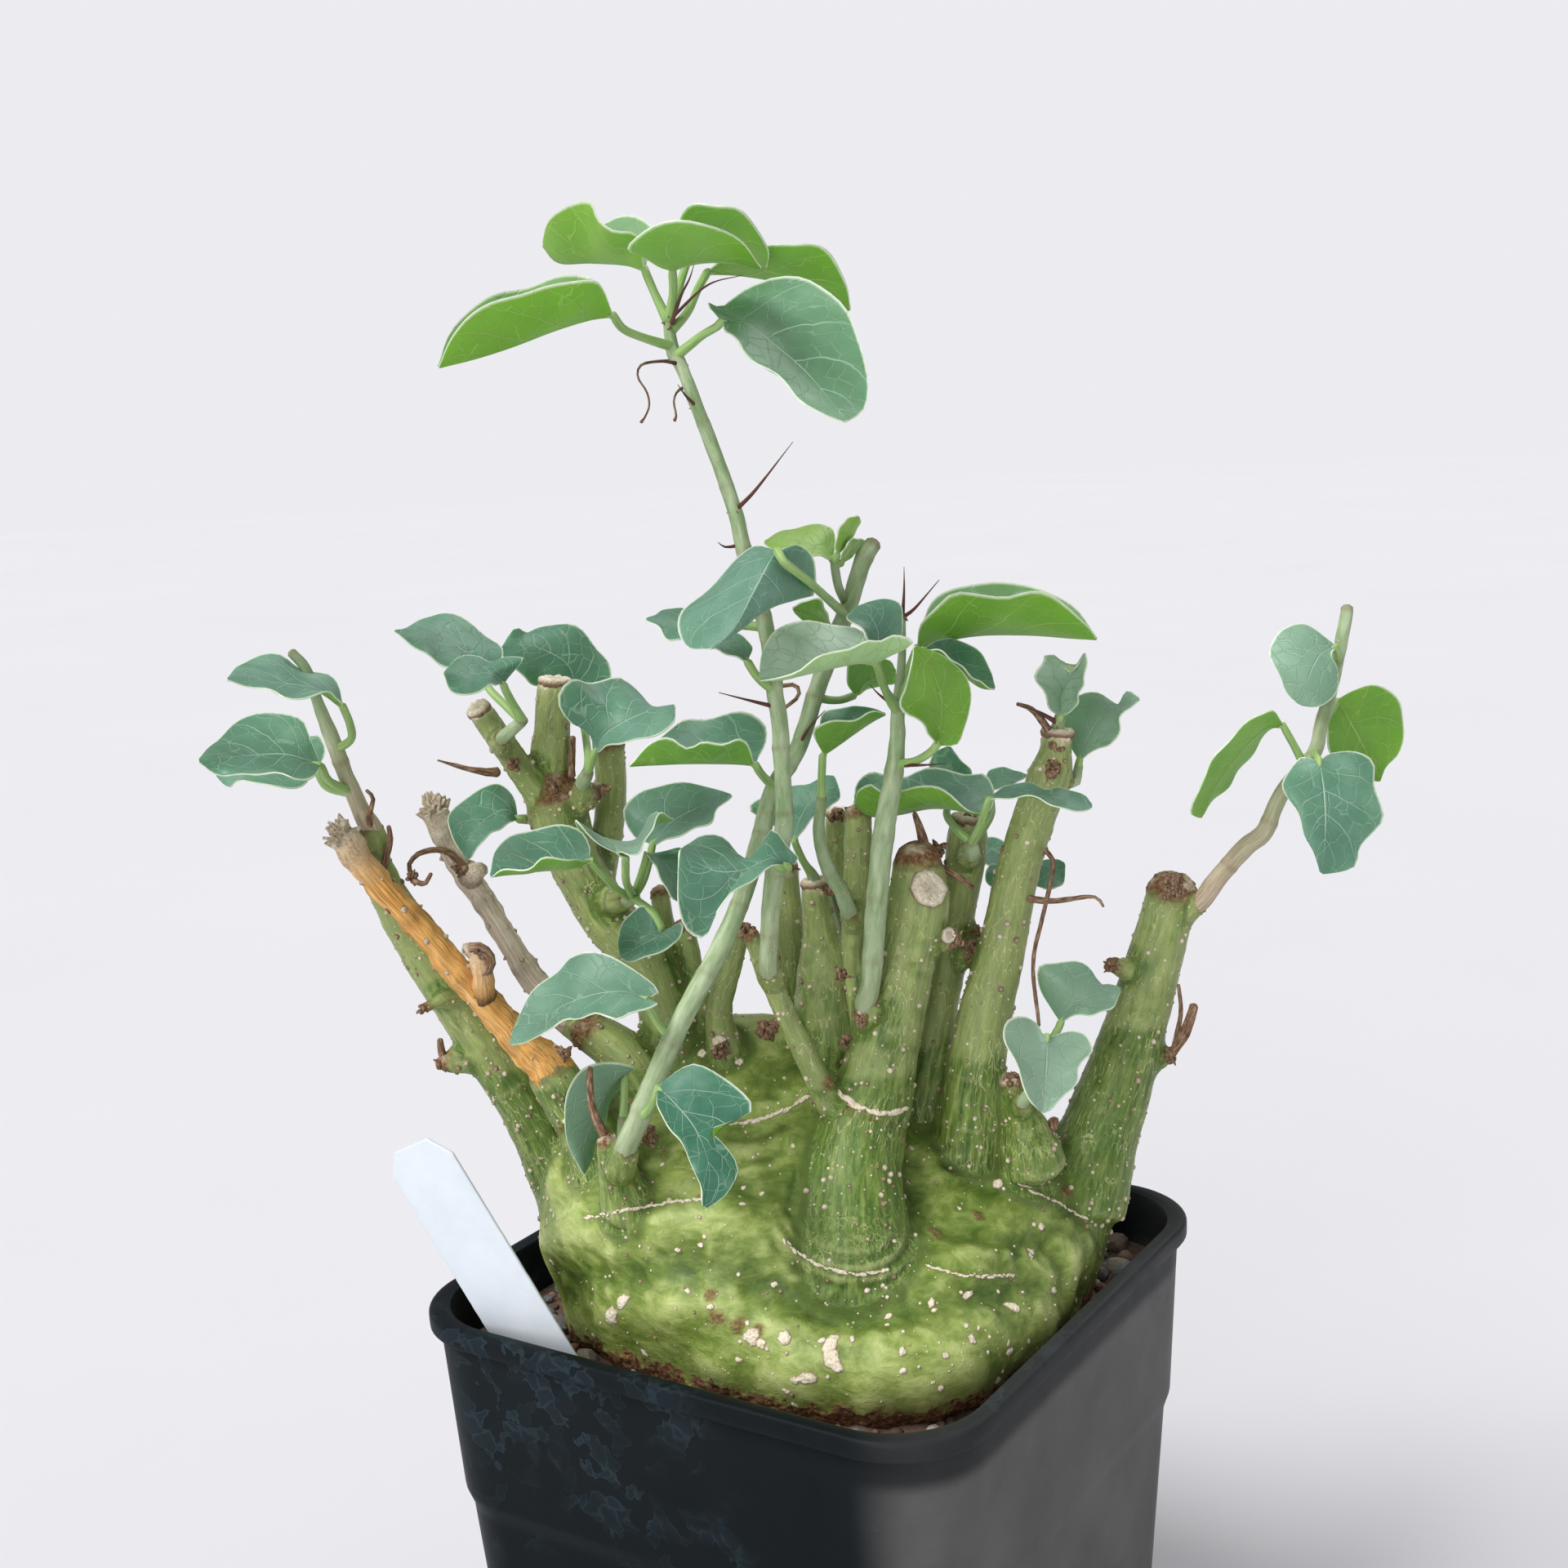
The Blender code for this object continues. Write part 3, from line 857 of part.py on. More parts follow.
def tidy(mesh):
    """Drops the slivers of a few points that a union leaves inside its body."""
    builder = bmesh.new()
    builder.from_mesh(mesh)
    seen = set()
    for vert in list(builder.verts):
        if vert in seen:
            continue
        island = [vert]
        seen.add(vert)
        for here in island:
            for edge in here.link_edges:
                other = edge.other_vert(here)
                if other not in seen:
                    seen.add(other)
                    island.append(other)
        if len(island) < 12:
            bmesh.ops.delete(builder, geom=island, context="VERTS")
    builder.to_mesh(mesh)
    builder.free()


def union(name, pieces, scratch, home, solver="MANIFOLD"):
    """Joins pieces into one body with one Boolean union on their collection."""
    first, rest = pieces[0], pieces[1:]
    group = bpy.data.collections.new(name + "_pieces")
    scratch.children.link(group)
    for piece in rest:
        for owner in list(piece.users_collection):
            owner.objects.unlink(piece)
        group.objects.link(piece)
    for owner in list(first.users_collection):
        owner.objects.unlink(first)
    home.objects.link(first)
    if rest:
        join = first.modifiers.new("join", "BOOLEAN")
        join.operation = "UNION"
        join.operand_type = "COLLECTION"
        join.collection = group
        join.solver = solver
    bpy.context.view_layer.update()
    mesh = bpy.data.meshes.new_from_object(first.evaluated_get(bpy.context.evaluated_depsgraph_get()))
    tidy(mesh)
    made = bpy.data.objects.new(name, mesh)
    home.objects.link(made)
    bpy.data.objects.remove(first)
    for piece in list(group.objects):
        bpy.data.objects.remove(piece)
    bpy.data.collections.remove(group)
    return made


def cut(made, cutter):
    """Takes the cutter's shape out of an object, and keeps the result as its mesh."""
    hole = made.modifiers.new("hole", "BOOLEAN")
    hole.operation = "DIFFERENCE"
    hole.object = cutter
    hole.solver = "EXACT"
    bpy.context.view_layer.update()
    mesh = bpy.data.meshes.new_from_object(made.evaluated_get(bpy.context.evaluated_depsgraph_get()))
    made.modifiers.clear()
    made.data = mesh


# Rings and lofts.

def loft(rings):
    """A closed body through rings of points with the same count, capped at both ends."""
    builder = bmesh.new()
    made = [[builder.verts.new(point) for point in ring] for ring in rings]
    count = len(rings[0])
    for low, high in zip(made, made[1:]):
        for k in range(count):
            builder.faces.new((low[k], low[(k + 1) % count], high[(k + 1) % count], high[k]))
    builder.faces.new(list(reversed(made[0])))
    builder.faces.new(made[-1])
    bmesh.ops.recalc_face_normals(builder, faces=builder.faces)
    return builder


def rounded_square(half, corner, level, per_corner=5):
    """A square with round corners, as a ring of points at one level."""
    ring = []
    for quarter in range(4):
        middle = math.pi / 4 + quarter * math.pi / 2
        centre = Vector((math.cos(middle), math.sin(middle), 0)) * ((half - corner) * math.sqrt(2))
        for k in range(per_corner + 1):
            angle = middle - math.pi / 4 + k / per_corner * math.pi / 2
            ring.append(centre + Vector((math.cos(angle) * corner, math.sin(angle) * corner, level)))
    return ring


def wall_half(down):
    """The half-width of the pot's outside, this far below the rim."""
    if down < SHOULDER_DOWN:
        return POT_TOP_HALF - 2.1 * down / SHOULDER_DOWN
    if down < SHOULDER_DOWN + 4:
        return POT_TOP_HALF - 2.1 - SHOULDER_STEP * (down - SHOULDER_DOWN) / 4
    foot_share = (down - SHOULDER_DOWN - 4) / (POT_HEIGHT - SHOULDER_DOWN - 4)
    top = POT_TOP_HALF - 2.1 - SHOULDER_STEP
    return top + (POT_BASE_HALF - top) * foot_share


def body_ring(ring, grow=0.0):
    """One ring of the caudex's body, rounded between its places, in the part's frame."""
    level, places = ring
    points = [Vector((x, y, 0)) for x, y in places]
    count = len(points)
    made = []
    for k in range(count):
        before, here, there, after = (points[(k + step) % count] for step in (-1, 0, 1, 2))
        made.append(here)
        made.append((here + there) * 0.5625 - (before + after) * 0.0625)
    for k, place in enumerate(made):
        if grow:
            made[k] = place + place.normalized() * grow
    return [TURN @ place + Vector((0, 0, POT_HEIGHT + level)) for place in made]


# The pieces.

POT_INSIDE = [
    (LIP_HALF - LIP_WIDTH + 0.6, 0.0), (LIP_HALF - LIP_WIDTH, -0.6), (LIP_HALF - LIP_WIDTH, -LIP_HEIGHT),
    (wall_half(SHOULDER_DOWN - 0.1) - POT_WALL, -SHOULDER_DOWN),
    (wall_half(SHOULDER_DOWN + 4) - POT_WALL, -SHOULDER_DOWN - 4),
    (wall_half(POT_HEIGHT) - POT_WALL - 1.2, -POT_HEIGHT + POT_FLOOR),
]


def inside_ring(level, gap=0.0):
    """A ring on the pot's inside at a level from the rim, or a gap in from it."""
    for (high_half, high), (low_half, low) in zip(POT_INSIDE, POT_INSIDE[1:]):
        if high >= level >= low and high > low:
            half = high_half + (low_half - high_half) * (high - level) / (high - low)
    corner = POT_CORNER - POT_WALL - (LIP_HALF - half) * 0.35
    return rounded_square(half - gap, corner - gap, POT_HEIGHT + level)


def make_pot(home, guides):
    """The pot: a rolled lip, tapered walls with a shoulder, a floor and four drain holes."""
    outside = [
        (LIP_HALF - 0.6, 0.0), (LIP_HALF, -0.6), (LIP_HALF, -LIP_HEIGHT + 0.5), (LIP_HALF - 0.5, -LIP_HEIGHT),
        (wall_half(LIP_HEIGHT), -LIP_HEIGHT), (wall_half(SHOULDER_DOWN - 0.1), -SHOULDER_DOWN),
        (wall_half(SHOULDER_DOWN + 4), -SHOULDER_DOWN - 4), (wall_half(POT_HEIGHT - 3), -POT_HEIGHT + 3),
        (wall_half(POT_HEIGHT) - 1.2, -POT_HEIGHT),
    ]
    rings = [rounded_square(half, POT_CORNER - (LIP_HALF - half) * 0.35, POT_HEIGHT + down) for half, down in outside]
    rings += [inside_ring(down) for half, down in reversed(POT_INSIDE)]
    builder = bmesh.new()
    made = [[builder.verts.new(point) for point in ring] for ring in rings]
    count = len(made[0])
    for index, low in enumerate(made):
        high = made[(index + 1) % len(made)]
        if index != len(outside) - 1:
            for k in range(count):
                builder.faces.new((low[k], low[(k + 1) % count], high[(k + 1) % count], high[k]))
    builder.faces.new(made[len(outside) - 1])
    builder.faces.new(made[len(outside)])
    bmesh.ops.recalc_face_normals(builder, faces=builder.faces)
    pot = mesh_object("pot", builder, home)
    for k in range(4):
        angle = math.pi / 4 + k * math.pi / 2
        bpy.ops.mesh.primitive_cylinder_add(
            vertices=12, radius=DRAIN_RADIUS * 0.001, depth=0.02,
            location=(math.cos(angle) * DRAIN_REACH * 0.001, math.sin(angle) * DRAIN_REACH * 0.001, 0))
        drain = guide(bpy.context.object, f"drain_{k}", guides)
        cut(pot, drain)
    finish(pot, "black_plastic")


def guide(made, name, guides):
    """Moves an object among the guides, which only cut."""
    made.name = name
    for owner in list(made.users_collection):
        owner.objects.unlink(made)
    guides.objects.link(made)
    made.hide_render = True
    made.display_type = "WIRE"
    return made


def label_frame():
    """The label's middle line and directions: down its length, across it and out of its face."""
    top = spot(LABEL_TOP)
    foot = spot(LABEL_FOOT)
    down = (foot - top).normalized()
    side = spot(LABEL_SIDE) - top
    across = (side - down * side.dot(down)).normalized()
    out = down.cross(across).normalized()
    return top, foot, down, across, out


def label_body(name, collection, grow, above):
    """The label, or the slot that it stands in: a thin plate with a pointed top."""
    top, foot, down, across, out = label_frame()
    half = LABEL_WIDTH / 2 + grow
    thick = LABEL_THICKNESS / 2 + grow
    end = foot + down * (LABEL_BURIED + grow)
    start = top - down * above
    cap = 5.0
    outline = [start + across * half * 0.55, start + down * cap + across * half, end + across * half,
               end - across * half, start + down * cap - across * half, start - across * half * 0.55]
    return mesh_object(name, loft([[p + out * side for p in outline] for side in (thick, -thick)]), collection)


def make_label(home):
    """The bare white plant label that stands in the gravel."""
    finish(label_body("label", home, 0.0, 0.0), "white_plastic")


def make_gravel(home, guides):
    """The growing mix with its gravel: the pot's filling, lumpy on top, with plain holes for caudex and label."""
    top = POT_HEIGHT - GRAVEL_DOWN
    levels = (-POT_HEIGHT + POT_FLOOR, -SHOULDER_DOWN - 4, -SHOULDER_DOWN, -GRAVEL_DOWN)
    rings = [inside_ring(level, CLEARANCE) for level in levels]
    rings[0] = [point + Vector((0, 0, CLEARANCE)) for point in rings[0]]
    builder = loft(rings)
    lid = max(builder.faces, key=lambda face: face.calc_center_median().z)
    bmesh.ops.delete(builder, geom=[lid], context="FACES_ONLY")
    bounds = [vert for vert in builder.verts if vert.co.z > top - 0.01]
    bounds.sort(key=lambda vert: math.atan2(vert.co.y, vert.co.x))
    steps = 9
    before = bounds
    for k in range(1, steps):
        share = 1.0 - k / steps
        here = [builder.verts.new(Vector((vert.co.x * share, vert.co.y * share, top))) for vert in bounds]
        for i in range(len(bounds)):
            builder.faces.new((before[i], before[(i + 1) % len(bounds)], here[(i + 1) % len(bounds)], here[i]))
        before = here
    builder.faces.new(before)
    for vert in builder.verts:
        if vert.co.z > top - 0.01 and vert not in bounds:
            lump = noise.noise(vert.co / GRAVEL_PITCH) + 0.6 * noise.noise(vert.co / GRAVEL_PITCH * 2.1)
            vert.co.z += GRAVEL_LUMP * max(-1.0, min(1.0, lump * 1.6))
    bmesh.ops.triangulate(builder, faces=[face for face in builder.faces if len(face.verts) > 3])
    bmesh.ops.recalc_face_normals(builder, faces=builder.faces)
    gravel = mesh_object("gravel", builder, home)
    rings = [body_ring(ring, 0.4) for ring in BODY[:BODY_BURIED]]
    rings[0] = [point - Vector((0, 0, CLEARANCE)) for point in rings[0]]
    rings.append([point + Vector((0, 0, 30)) for point in rings[-1]])
    hole = guide(mesh_object("caudex_hole", loft(rings), guides), "caudex_hole", guides)
    cut(gravel, hole)
    slot = guide(label_body("label_slot", guides, CLEARANCE, 0.0), "label_slot", guides)
    cut(gravel, slot)
    finish(gravel, "stone")


def make_caudex(home, scratch):
    """The swollen green caudex with its thick stems, stumps and knobs, as one body."""
    pieces = [mesh_object("body", loft([body_ring(ring) for ring in BODY]), scratch)]
    for name, route in WOOD.items():
        pieces.append(stem(name, route, scratch, 8 if max(place[3] for place in route) > 4.0 else 6))
    for name, parts in [*DEAD.items(), *SHOOTS.items()]:
        pieces.append(collar(name, parts, scratch))
    finish(union("caudex", pieces, scratch, home), "green_bark")


def seat(parts):
    """Where a shoot sits: its foot and the direction that it leaves in."""
    route = parts["stems"][0]
    foot = spot(route[0])
    return foot, (spot(route[1]) - foot).normalized()


def collar(name, parts, collection):
    """The short collar of the caudex that a shoot sits on, flat across the shoot's foot."""
    foot, along = seat(parts)
    radius = parts["stems"][0][0][3] + 0.3
    return tube(name + "_collar", [spot(parts["root"]), foot - along * 1.5, foot], [radius] * 3, collection, 6, 0)


def make_shoot(name, parts, colour, home, scratch):
    """A shoot: its stems, thorns, leaf stalks and blades in one body."""
    pieces = []
    routes = []
    foot, along = seat(parts)
    for k, route in enumerate(parts["stems"]):
        points = [spot(place) for place in route]
        radii = [place[3] for place in route]
        if k == 0:
            points[0] = foot + along * CLEARANCE
            if (points[1] - foot).length > 4.0:
                points.insert(1, foot + along * 2.5)
                radii.insert(1, radii[0])
        routes.append(points)
        pieces.append(tube(f"{name}_stem_{k}", points, radii, scratch, 6, 1 if len(points) > 4 else 0))
    for k, route in enumerate(parts.get("thorns", [])):
        points = [spot(place) for place in route]
        points[0] = nearest_on(routes, points[0])
        pieces.append(tube(f"{name}_thorn_{k}", points, [place[3] for place in route], scratch, 4, 0))
    for leaf_name, leaf in parts.get("leaves", {}).items():
        stalk = [spot(place) for place in leaf[0]] + [spot(leaf[1])]
        stalk[0] = nearest_on(routes, stalk[0])
        stalk.append(stalk[-1].lerp(spot(leaf[4][0]), 0.25))
        radii = [PETIOLE_RADIUS] * (len(stalk) - 1) + [PETIOLE_RADIUS * 0.6]
        pieces.append(tube(f"{name}_{leaf_name}_stalk", stalk, radii, scratch, 4, 0))
        pieces.append(blade(f"{name}_{leaf_name}_blade", leaf, scratch))
    finish(union(name, pieces, scratch, home), colour)


def main():
    for old in list(bpy.data.objects):
        bpy.data.objects.remove(old)
    home = bpy.data.collections.new("potted_adenia")
    guides = bpy.data.collections.new("guides")
    scratch = bpy.data.collections.new("scratch")
    for made in (home, guides, scratch):
        bpy.context.scene.collection.children.link(made)
    guides.hide_render = True
    make_pot(home, guides)
    make_gravel(home, guides)
    make_label(home)
    make_caudex(home, scratch)
    make_shoot("branch_tan", DEAD["branch_tan"], "tan_wood", home, scratch)
    make_shoot("branch_grey", DEAD["branch_grey"], "grey_wood", home, scratch)
    for name, parts in SHOOTS.items():
        make_shoot(name, parts, "leaf_green", home, scratch)
    bpy.data.collections.remove(scratch)


main()
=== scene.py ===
"""The dressed potted adenia: finer pieces with procedural materials over the part's solids, in one frame.

Lengths in the tables are millimetres and become metres where a mesh is made. The plant is laid out on a
square picture of PICTURE pixels a side, so a place is written as (across, down, back): two pixels of that
picture and the distance behind the pot's upright axis, in millimetres.
"""

import math
import random

import bmesh
import bpy
import numpy as np
from mathutils import Matrix, Vector, noise
from mathutils.bvhtree import BVHTree


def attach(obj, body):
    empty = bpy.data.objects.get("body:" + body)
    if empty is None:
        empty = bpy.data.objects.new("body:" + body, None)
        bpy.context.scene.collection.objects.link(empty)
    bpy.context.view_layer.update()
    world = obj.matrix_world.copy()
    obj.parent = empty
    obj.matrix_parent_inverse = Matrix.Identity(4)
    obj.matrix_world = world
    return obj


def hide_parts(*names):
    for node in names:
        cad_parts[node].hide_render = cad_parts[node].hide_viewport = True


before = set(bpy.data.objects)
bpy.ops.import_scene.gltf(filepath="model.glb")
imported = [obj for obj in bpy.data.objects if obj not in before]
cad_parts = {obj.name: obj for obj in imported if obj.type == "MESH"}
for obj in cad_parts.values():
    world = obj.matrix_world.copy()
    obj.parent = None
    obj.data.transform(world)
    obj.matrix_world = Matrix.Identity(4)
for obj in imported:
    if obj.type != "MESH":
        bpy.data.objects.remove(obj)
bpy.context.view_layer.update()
chance = random.Random(8)

# A millimetre in metres, and a metre in millimetres.
MM = 0.001
METRE = 1000.0

# The pot, the gravel and the label, in millimetres. Above its shoulder each side of the pot comes in by
# POT_TAPER, and a corner's radius shrinks by CORNER_SHRINK of what its half-width loses.
POT_HEIGHT = 130.0
POT_TOP_HALF = 65.8
POT_BASE_HALF = 56.7
POT_TAPER = 2.1
POT_CORNER = 20.0
CORNER_SHRINK = 0.35
POT_WALL = 1.3
POT_FLOOR = 2.0
LIP_HALF = 67.4
LIP_WIDTH = 4.0
LIP_HEIGHT = 4.5
LIP_ROUND = 1.2
SHOULDER_DOWN = 42.0
SHOULDER_HEIGHT = 4.0
SHOULDER_STEP = 1.2
DRAIN_RADIUS = 4.0
DRAIN_REACH = 34.0
GRAVEL_DOWN = 13.0
GRAVEL_TOP = POT_HEIGHT - GRAVEL_DOWN
GRAVEL_GAP = 0.25
STONE_SIZES = [1.1, 1.4, 1.7, 2.0, 2.4, 2.9]
STONE_TRIES = 2600
LABEL_WIDTH = 17.5
LABEL_THICKNESS = 0.8
LABEL_BURIED = 22.0
LABEL_SHOULDER = 5.0

# The plant's finer make: blades, stems and the caudex's skin.
LEAF_END = 0.5
LEAF_ALONG = 26
LEAF_ACROSS = 14
LEAF_THICKNESS = 0.5
STALK_RADIUS = 0.85
STEM_STEP = 1.1
SKIN_VOXEL = 1.24
LENTICEL_SIZES = [0.16, 0.18, 0.2, 0.24, 0.28, 0.34, 0.46]

# The picture that the plant was laid out on: where its eye stands and how it looks at the pot.
PICTURE = 1920.0
FOCAL = 2500.0
SENSOR = 36.0
EYE = Vector((-2.3, -431.1, 192.8))
LOOK_DOWN = math.radians(11.12)
LEAN = math.radians(-2.97)
TURN = Matrix.Rotation(math.radians(33.0), 3, "Z")
RIM = Vector((0, 0, POT_HEIGHT))
CAMERA_PLACE = TURN @ EYE + RIM

# Marks of a point that materials read as its tint: three numbers from 0 to 1.
PLAIN = (0.5, 0.0, 0.0)
PALE_END = (0.0, 1.0, 0.0)


# Places on the picture.

def spot(place):
    """The point, in the part's frame and in millimetres, that shows at a place (across, down, back)."""
    across, down, back = place[:3]
    du = across - PICTURE / 2
    dv = down - PICTURE / 2
    right = (math.cos(LEAN) * du + math.sin(LEAN) * dv) / FOCAL
    up = (math.sin(LEAN) * du - math.cos(LEAN) * dv) / FOCAL
    sight = Vector((
        right,
        math.cos(LOOK_DOWN) + up * math.sin(LOOK_DOWN),
        -math.sin(LOOK_DOWN) + up * math.cos(LOOK_DOWN),
    ))
    point = EYE + sight * ((back - EYE.y) / sight.y)
    return TURN @ point + RIM


def route_length(points):
    """The length of a route of straight steps."""
    return sum((b - a).length for a, b in zip(points, points[1:]))


def nearest_on(routes, place):
    """The point of some routes, each a list of points, that lies nearest to a place."""
    best = None
    for route in routes:
        for a, b in zip(route, route[1:]):
            step = b - a
            share = max(0.0, min(1.0, (place - a).dot(step) / max(step.length_squared, 1e-9)))
            point = a + step * share
            if best is None or (point - place).length < (best - place).length:
                best = point
    return best


def catmull(four, t):
    """The smooth curve between the middle two of four places."""
    before, here, there, after = four
    return 0.5 * (2 * here + (there - before) * t + (2 * before - 5 * here + 4 * there - after) * t * t
                  + (3 * here - before - 3 * there + after) * t ** 3)


def smooth_route(points, count):
    """A smooth curve through the points, read at equal steps: count + 1 points, ends included."""
    padded = [points[0] * 2 - points[1]] + list(points) + [points[-1] * 2 - points[-2]]
    steps = 12
    curve = [catmull(padded[i - 1:i + 3], k / steps) for i in range(1, len(padded) - 2) for k in range(steps)]
    curve.append(padded[-2])
    reach = [0.0]
    for a, b in zip(curve, curve[1:]):
        reach.append(reach[-1] + (b - a).length)
    route = []
    j = 0
    for k in range(count + 1):
        goal = reach[-1] * k / count
        while j < len(curve) - 2 and reach[j + 1] < goal:
            j += 1
        span = max(reach[j + 1] - reach[j], 1e-9)
        route.append(curve[j].lerp(curve[j + 1], (goal - reach[j]) / span))
    return route


# Woody stems of the caudex, each a route of (across, down, back, radius), from its foot up.
WOOD = {
    "far_left_stem": [(700, 1460, 2, 8.0), (672, 1400, 1, 6.9), (642, 1345, 0, 6.3), (606, 1293, -1, 5.9),
                      (566, 1235, -2, 5.4), (530, 1183, -3, 5.0), (498, 1133, -4, 4.5), (473, 1089, -5, 3.8),
                      (458, 1050, -6, 3.2), (455, 1020, -6, 2.7)],
    "far_left_knob": [(590, 1295, -2, 3.4), (562, 1298, -3, 2.9), (545, 1303, -3, 2.4)],
    "far_left_twig": [(566, 1219, -5, 1.8), (542, 1226, -9, 1.3), (516, 1235, -11, 1.2)],
    "tan_stump": [(745, 1440, -14, 6.6), (720, 1388, -13, 5.9), (700, 1350, -12, 5.4)],
    "grey_stump": [(790, 1330, -4, 5.5), (763, 1292, -2, 5.2), (731, 1268, 0, 4.7), (716, 1258, 1, 4.2)],
    "left_tree": [(842, 1350, 0, 7.0), (820, 1283, 3, 6.0), (815, 1235, 4, 6.0), (790, 1175, 6, 5.9),
                  (746, 1126, 8, 5.9), (720, 1085, 9, 5.7), (704, 1055, 9, 5.6), (688, 1010, 10, 6.3),
                  (680, 975, 10, 6.8), (677, 962, 10, 5.2)],
    "left_tree_outer": [(672, 990, 9, 3.6), (640, 945, 5, 2.9), (612, 905, 1, 2.7), (587, 870, -2, 2.7)],
    "left_tree_middle": [(680, 985, 10, 4.6), (673, 940, 10, 4.3), (676, 895, 10, 3.9), (679, 838, 10, 2.5)],
    "left_tree_rear": [(730, 1095, 12, 3.6), (741, 1037, 16, 3.4), (748, 980, 19, 3.4), (746, 905, 22, 3.4)],
    "left_tree_wart": [(706, 985, 6, 2.6), (722, 975, 4, 2.8), (733, 968, 3, 2.0)],
    "left_tree_node": [(738, 1104, 6, 3.4), (757, 1102, 1, 2.6), (764, 1101, -1, 2.2)],
    "front_nub": [(768, 1480, -30, 5.0), (757, 1438, -32, 4.0), (746, 1412, -34, 2.5),
                  (742, 1392, -34.5, 1.9)],
    "rear_stem_a": [(880, 1290, 2, 4.0), (858, 1235, 4, 2.9), (845, 1180, 6, 2.7), (836, 1130, 8, 2.5)],
    "rear_stem_b": [(890, 1290, -6, 4.0), (880, 1240, -6, 2.8), (892, 1190, -5, 2.6), (906, 1135, -4, 2.4)],
    "rear_stem_c": [(850, 1325, 8, 3.8), (856, 1240, 14, 3.0), (822, 1160, 15, 2.4), (806, 1088, 14, 2.0)],
    "sloped_stem": [(1042, 1374, -21, 3.4), (1016, 1350, -22, 3.2), (1003, 1326, -22, 2.6),
                    (975, 1270, -23, 2.3), (950, 1215, -23, 2.2),
                    (928, 1164, -23, 2.1), (917, 1138, -23, 1.4)],
    "ringed_stem": [(1000, 1350, 4, 10.0), (1019, 1280, 4, 8.4), (1016, 1225, 5, 7.8), (1013, 1190, 5, 6.8),
                    (1007, 1150, 6, 4.4), (1002, 1116, 6, 3.5), (998, 1084, 6, 2.8)],
    "pale_stem": [(985, 1250, 14, 4.0), (968, 1190, 15, 3.6), (966, 1150, 15, 3.8), (968, 1110, 15, 2.6),
                  (964, 1062, 15, 2.0)],
    "thin_stem": [(1060, 1260, -10, 3.2), (1051, 1221, -9, 2.4), (1045, 1173, -8, 2.3), (1048, 1109, -7, 2.9),
                  (1050, 1050, -4, 2.9), (1051, 991, 0, 3.0)],
    "scarred_stem": [(1028, 1180, 10, 3.4), (1022, 1110, 11, 2.9), (1025, 1060, 11, 2.6),
                     (1026, 998, 11, 2.4)],
    "middle_foot": [(1043, 1570, -34, 15.0), (1043, 1540, -34, 13.4), (1043, 1500, -31, 11.4),
                    (1046, 1433, -25, 9.6),
                    (1060, 1375, -19, 8.4)],
    "middle_stem": [(1057, 1385, -20, 8.2), (1067, 1352, -17, 8.6), (1076, 1310, -15, 7.8),
                    (1086, 1269, -13, 7.1),
                    (1110, 1173, -11, 6.1), (1124, 1110, -10, 6.7), (1124, 1068, -9, 5.6),
                    (1122, 1040, -9, 2.6)],
    "middle_left_node": [(1085, 1240, -13, 3.8), (1063, 1242, -16, 3.0), (1056, 1240, -17, 2.6)],
    "middle_right_node": [(1135, 1148, -10, 3.4), (1156, 1148, -11, 2.8), (1168, 1152, -11, 2.2)],
    "right_middle_stem": [(1110, 1450, -4, 6.2), (1124, 1364, -2, 5.2), (1147, 1237, 1, 4.5),
                          (1165, 1140, 3, 4.2),
                          (1180, 1065, 4, 4.3), (1184, 1030, 4, 4.4), (1186, 1006, 4, 2.8)],
    "right_middle_knob": [(1165, 1180, 2, 3.0), (1185, 1168, -1, 2.4), (1195, 1164, -2, 2.2)],
    "right_middle_nodule": [(1172, 1160, 4, 2.8), (1188, 1148, 3, 2.4), (1196, 1138, 2, 1.8)],
    "right_stem": [(1178, 1470, -8, 8.0), (1183, 1420, -9, 7.0), (1192, 1330, -9, 6.3), (1207, 1240, -8, 5.7),
                   (1225, 1170, -6, 5.0), (1247, 1064, -3, 4.5), (1270, 990, -1, 4.5), (1288, 942, 0, 4.5),
                   (1294, 912, 0, 3.0), (1295, 900, 0, 2.2)],
    "right_stub": [(1268, 1430, -14, 7.0), (1262, 1403, -14, 6.0), (1254, 1371, -14, 4.0),
                   (1244, 1345, -14, 3.0),
                   (1238, 1322, -14, 1.5)],
    "far_right_stem": [(1318, 1470, 0, 11.5), (1345, 1390, 3, 8.8), (1370, 1320, 5, 7.7),
                       (1395, 1240, 7, 6.6),
                       (1418, 1160, 9, 5.9), (1432, 1105, 10, 5.4), (1438, 1080, 10, 3.6)],
    "far_right_node": [(1436, 1122, 10, 4.0), (1456, 1112, 8, 3.0), (1466, 1106, 7, 2.5)],
    "far_right_knob_a": [(1390, 1190, 6, 2.6), (1368, 1184, 5, 2.0), (1358, 1182, 5, 1.5)],
    "far_right_knob_b": [(1405, 1300, 6, 2.8), (1425, 1295, 4, 2.2), (1434, 1292, 4, 1.7)],
}

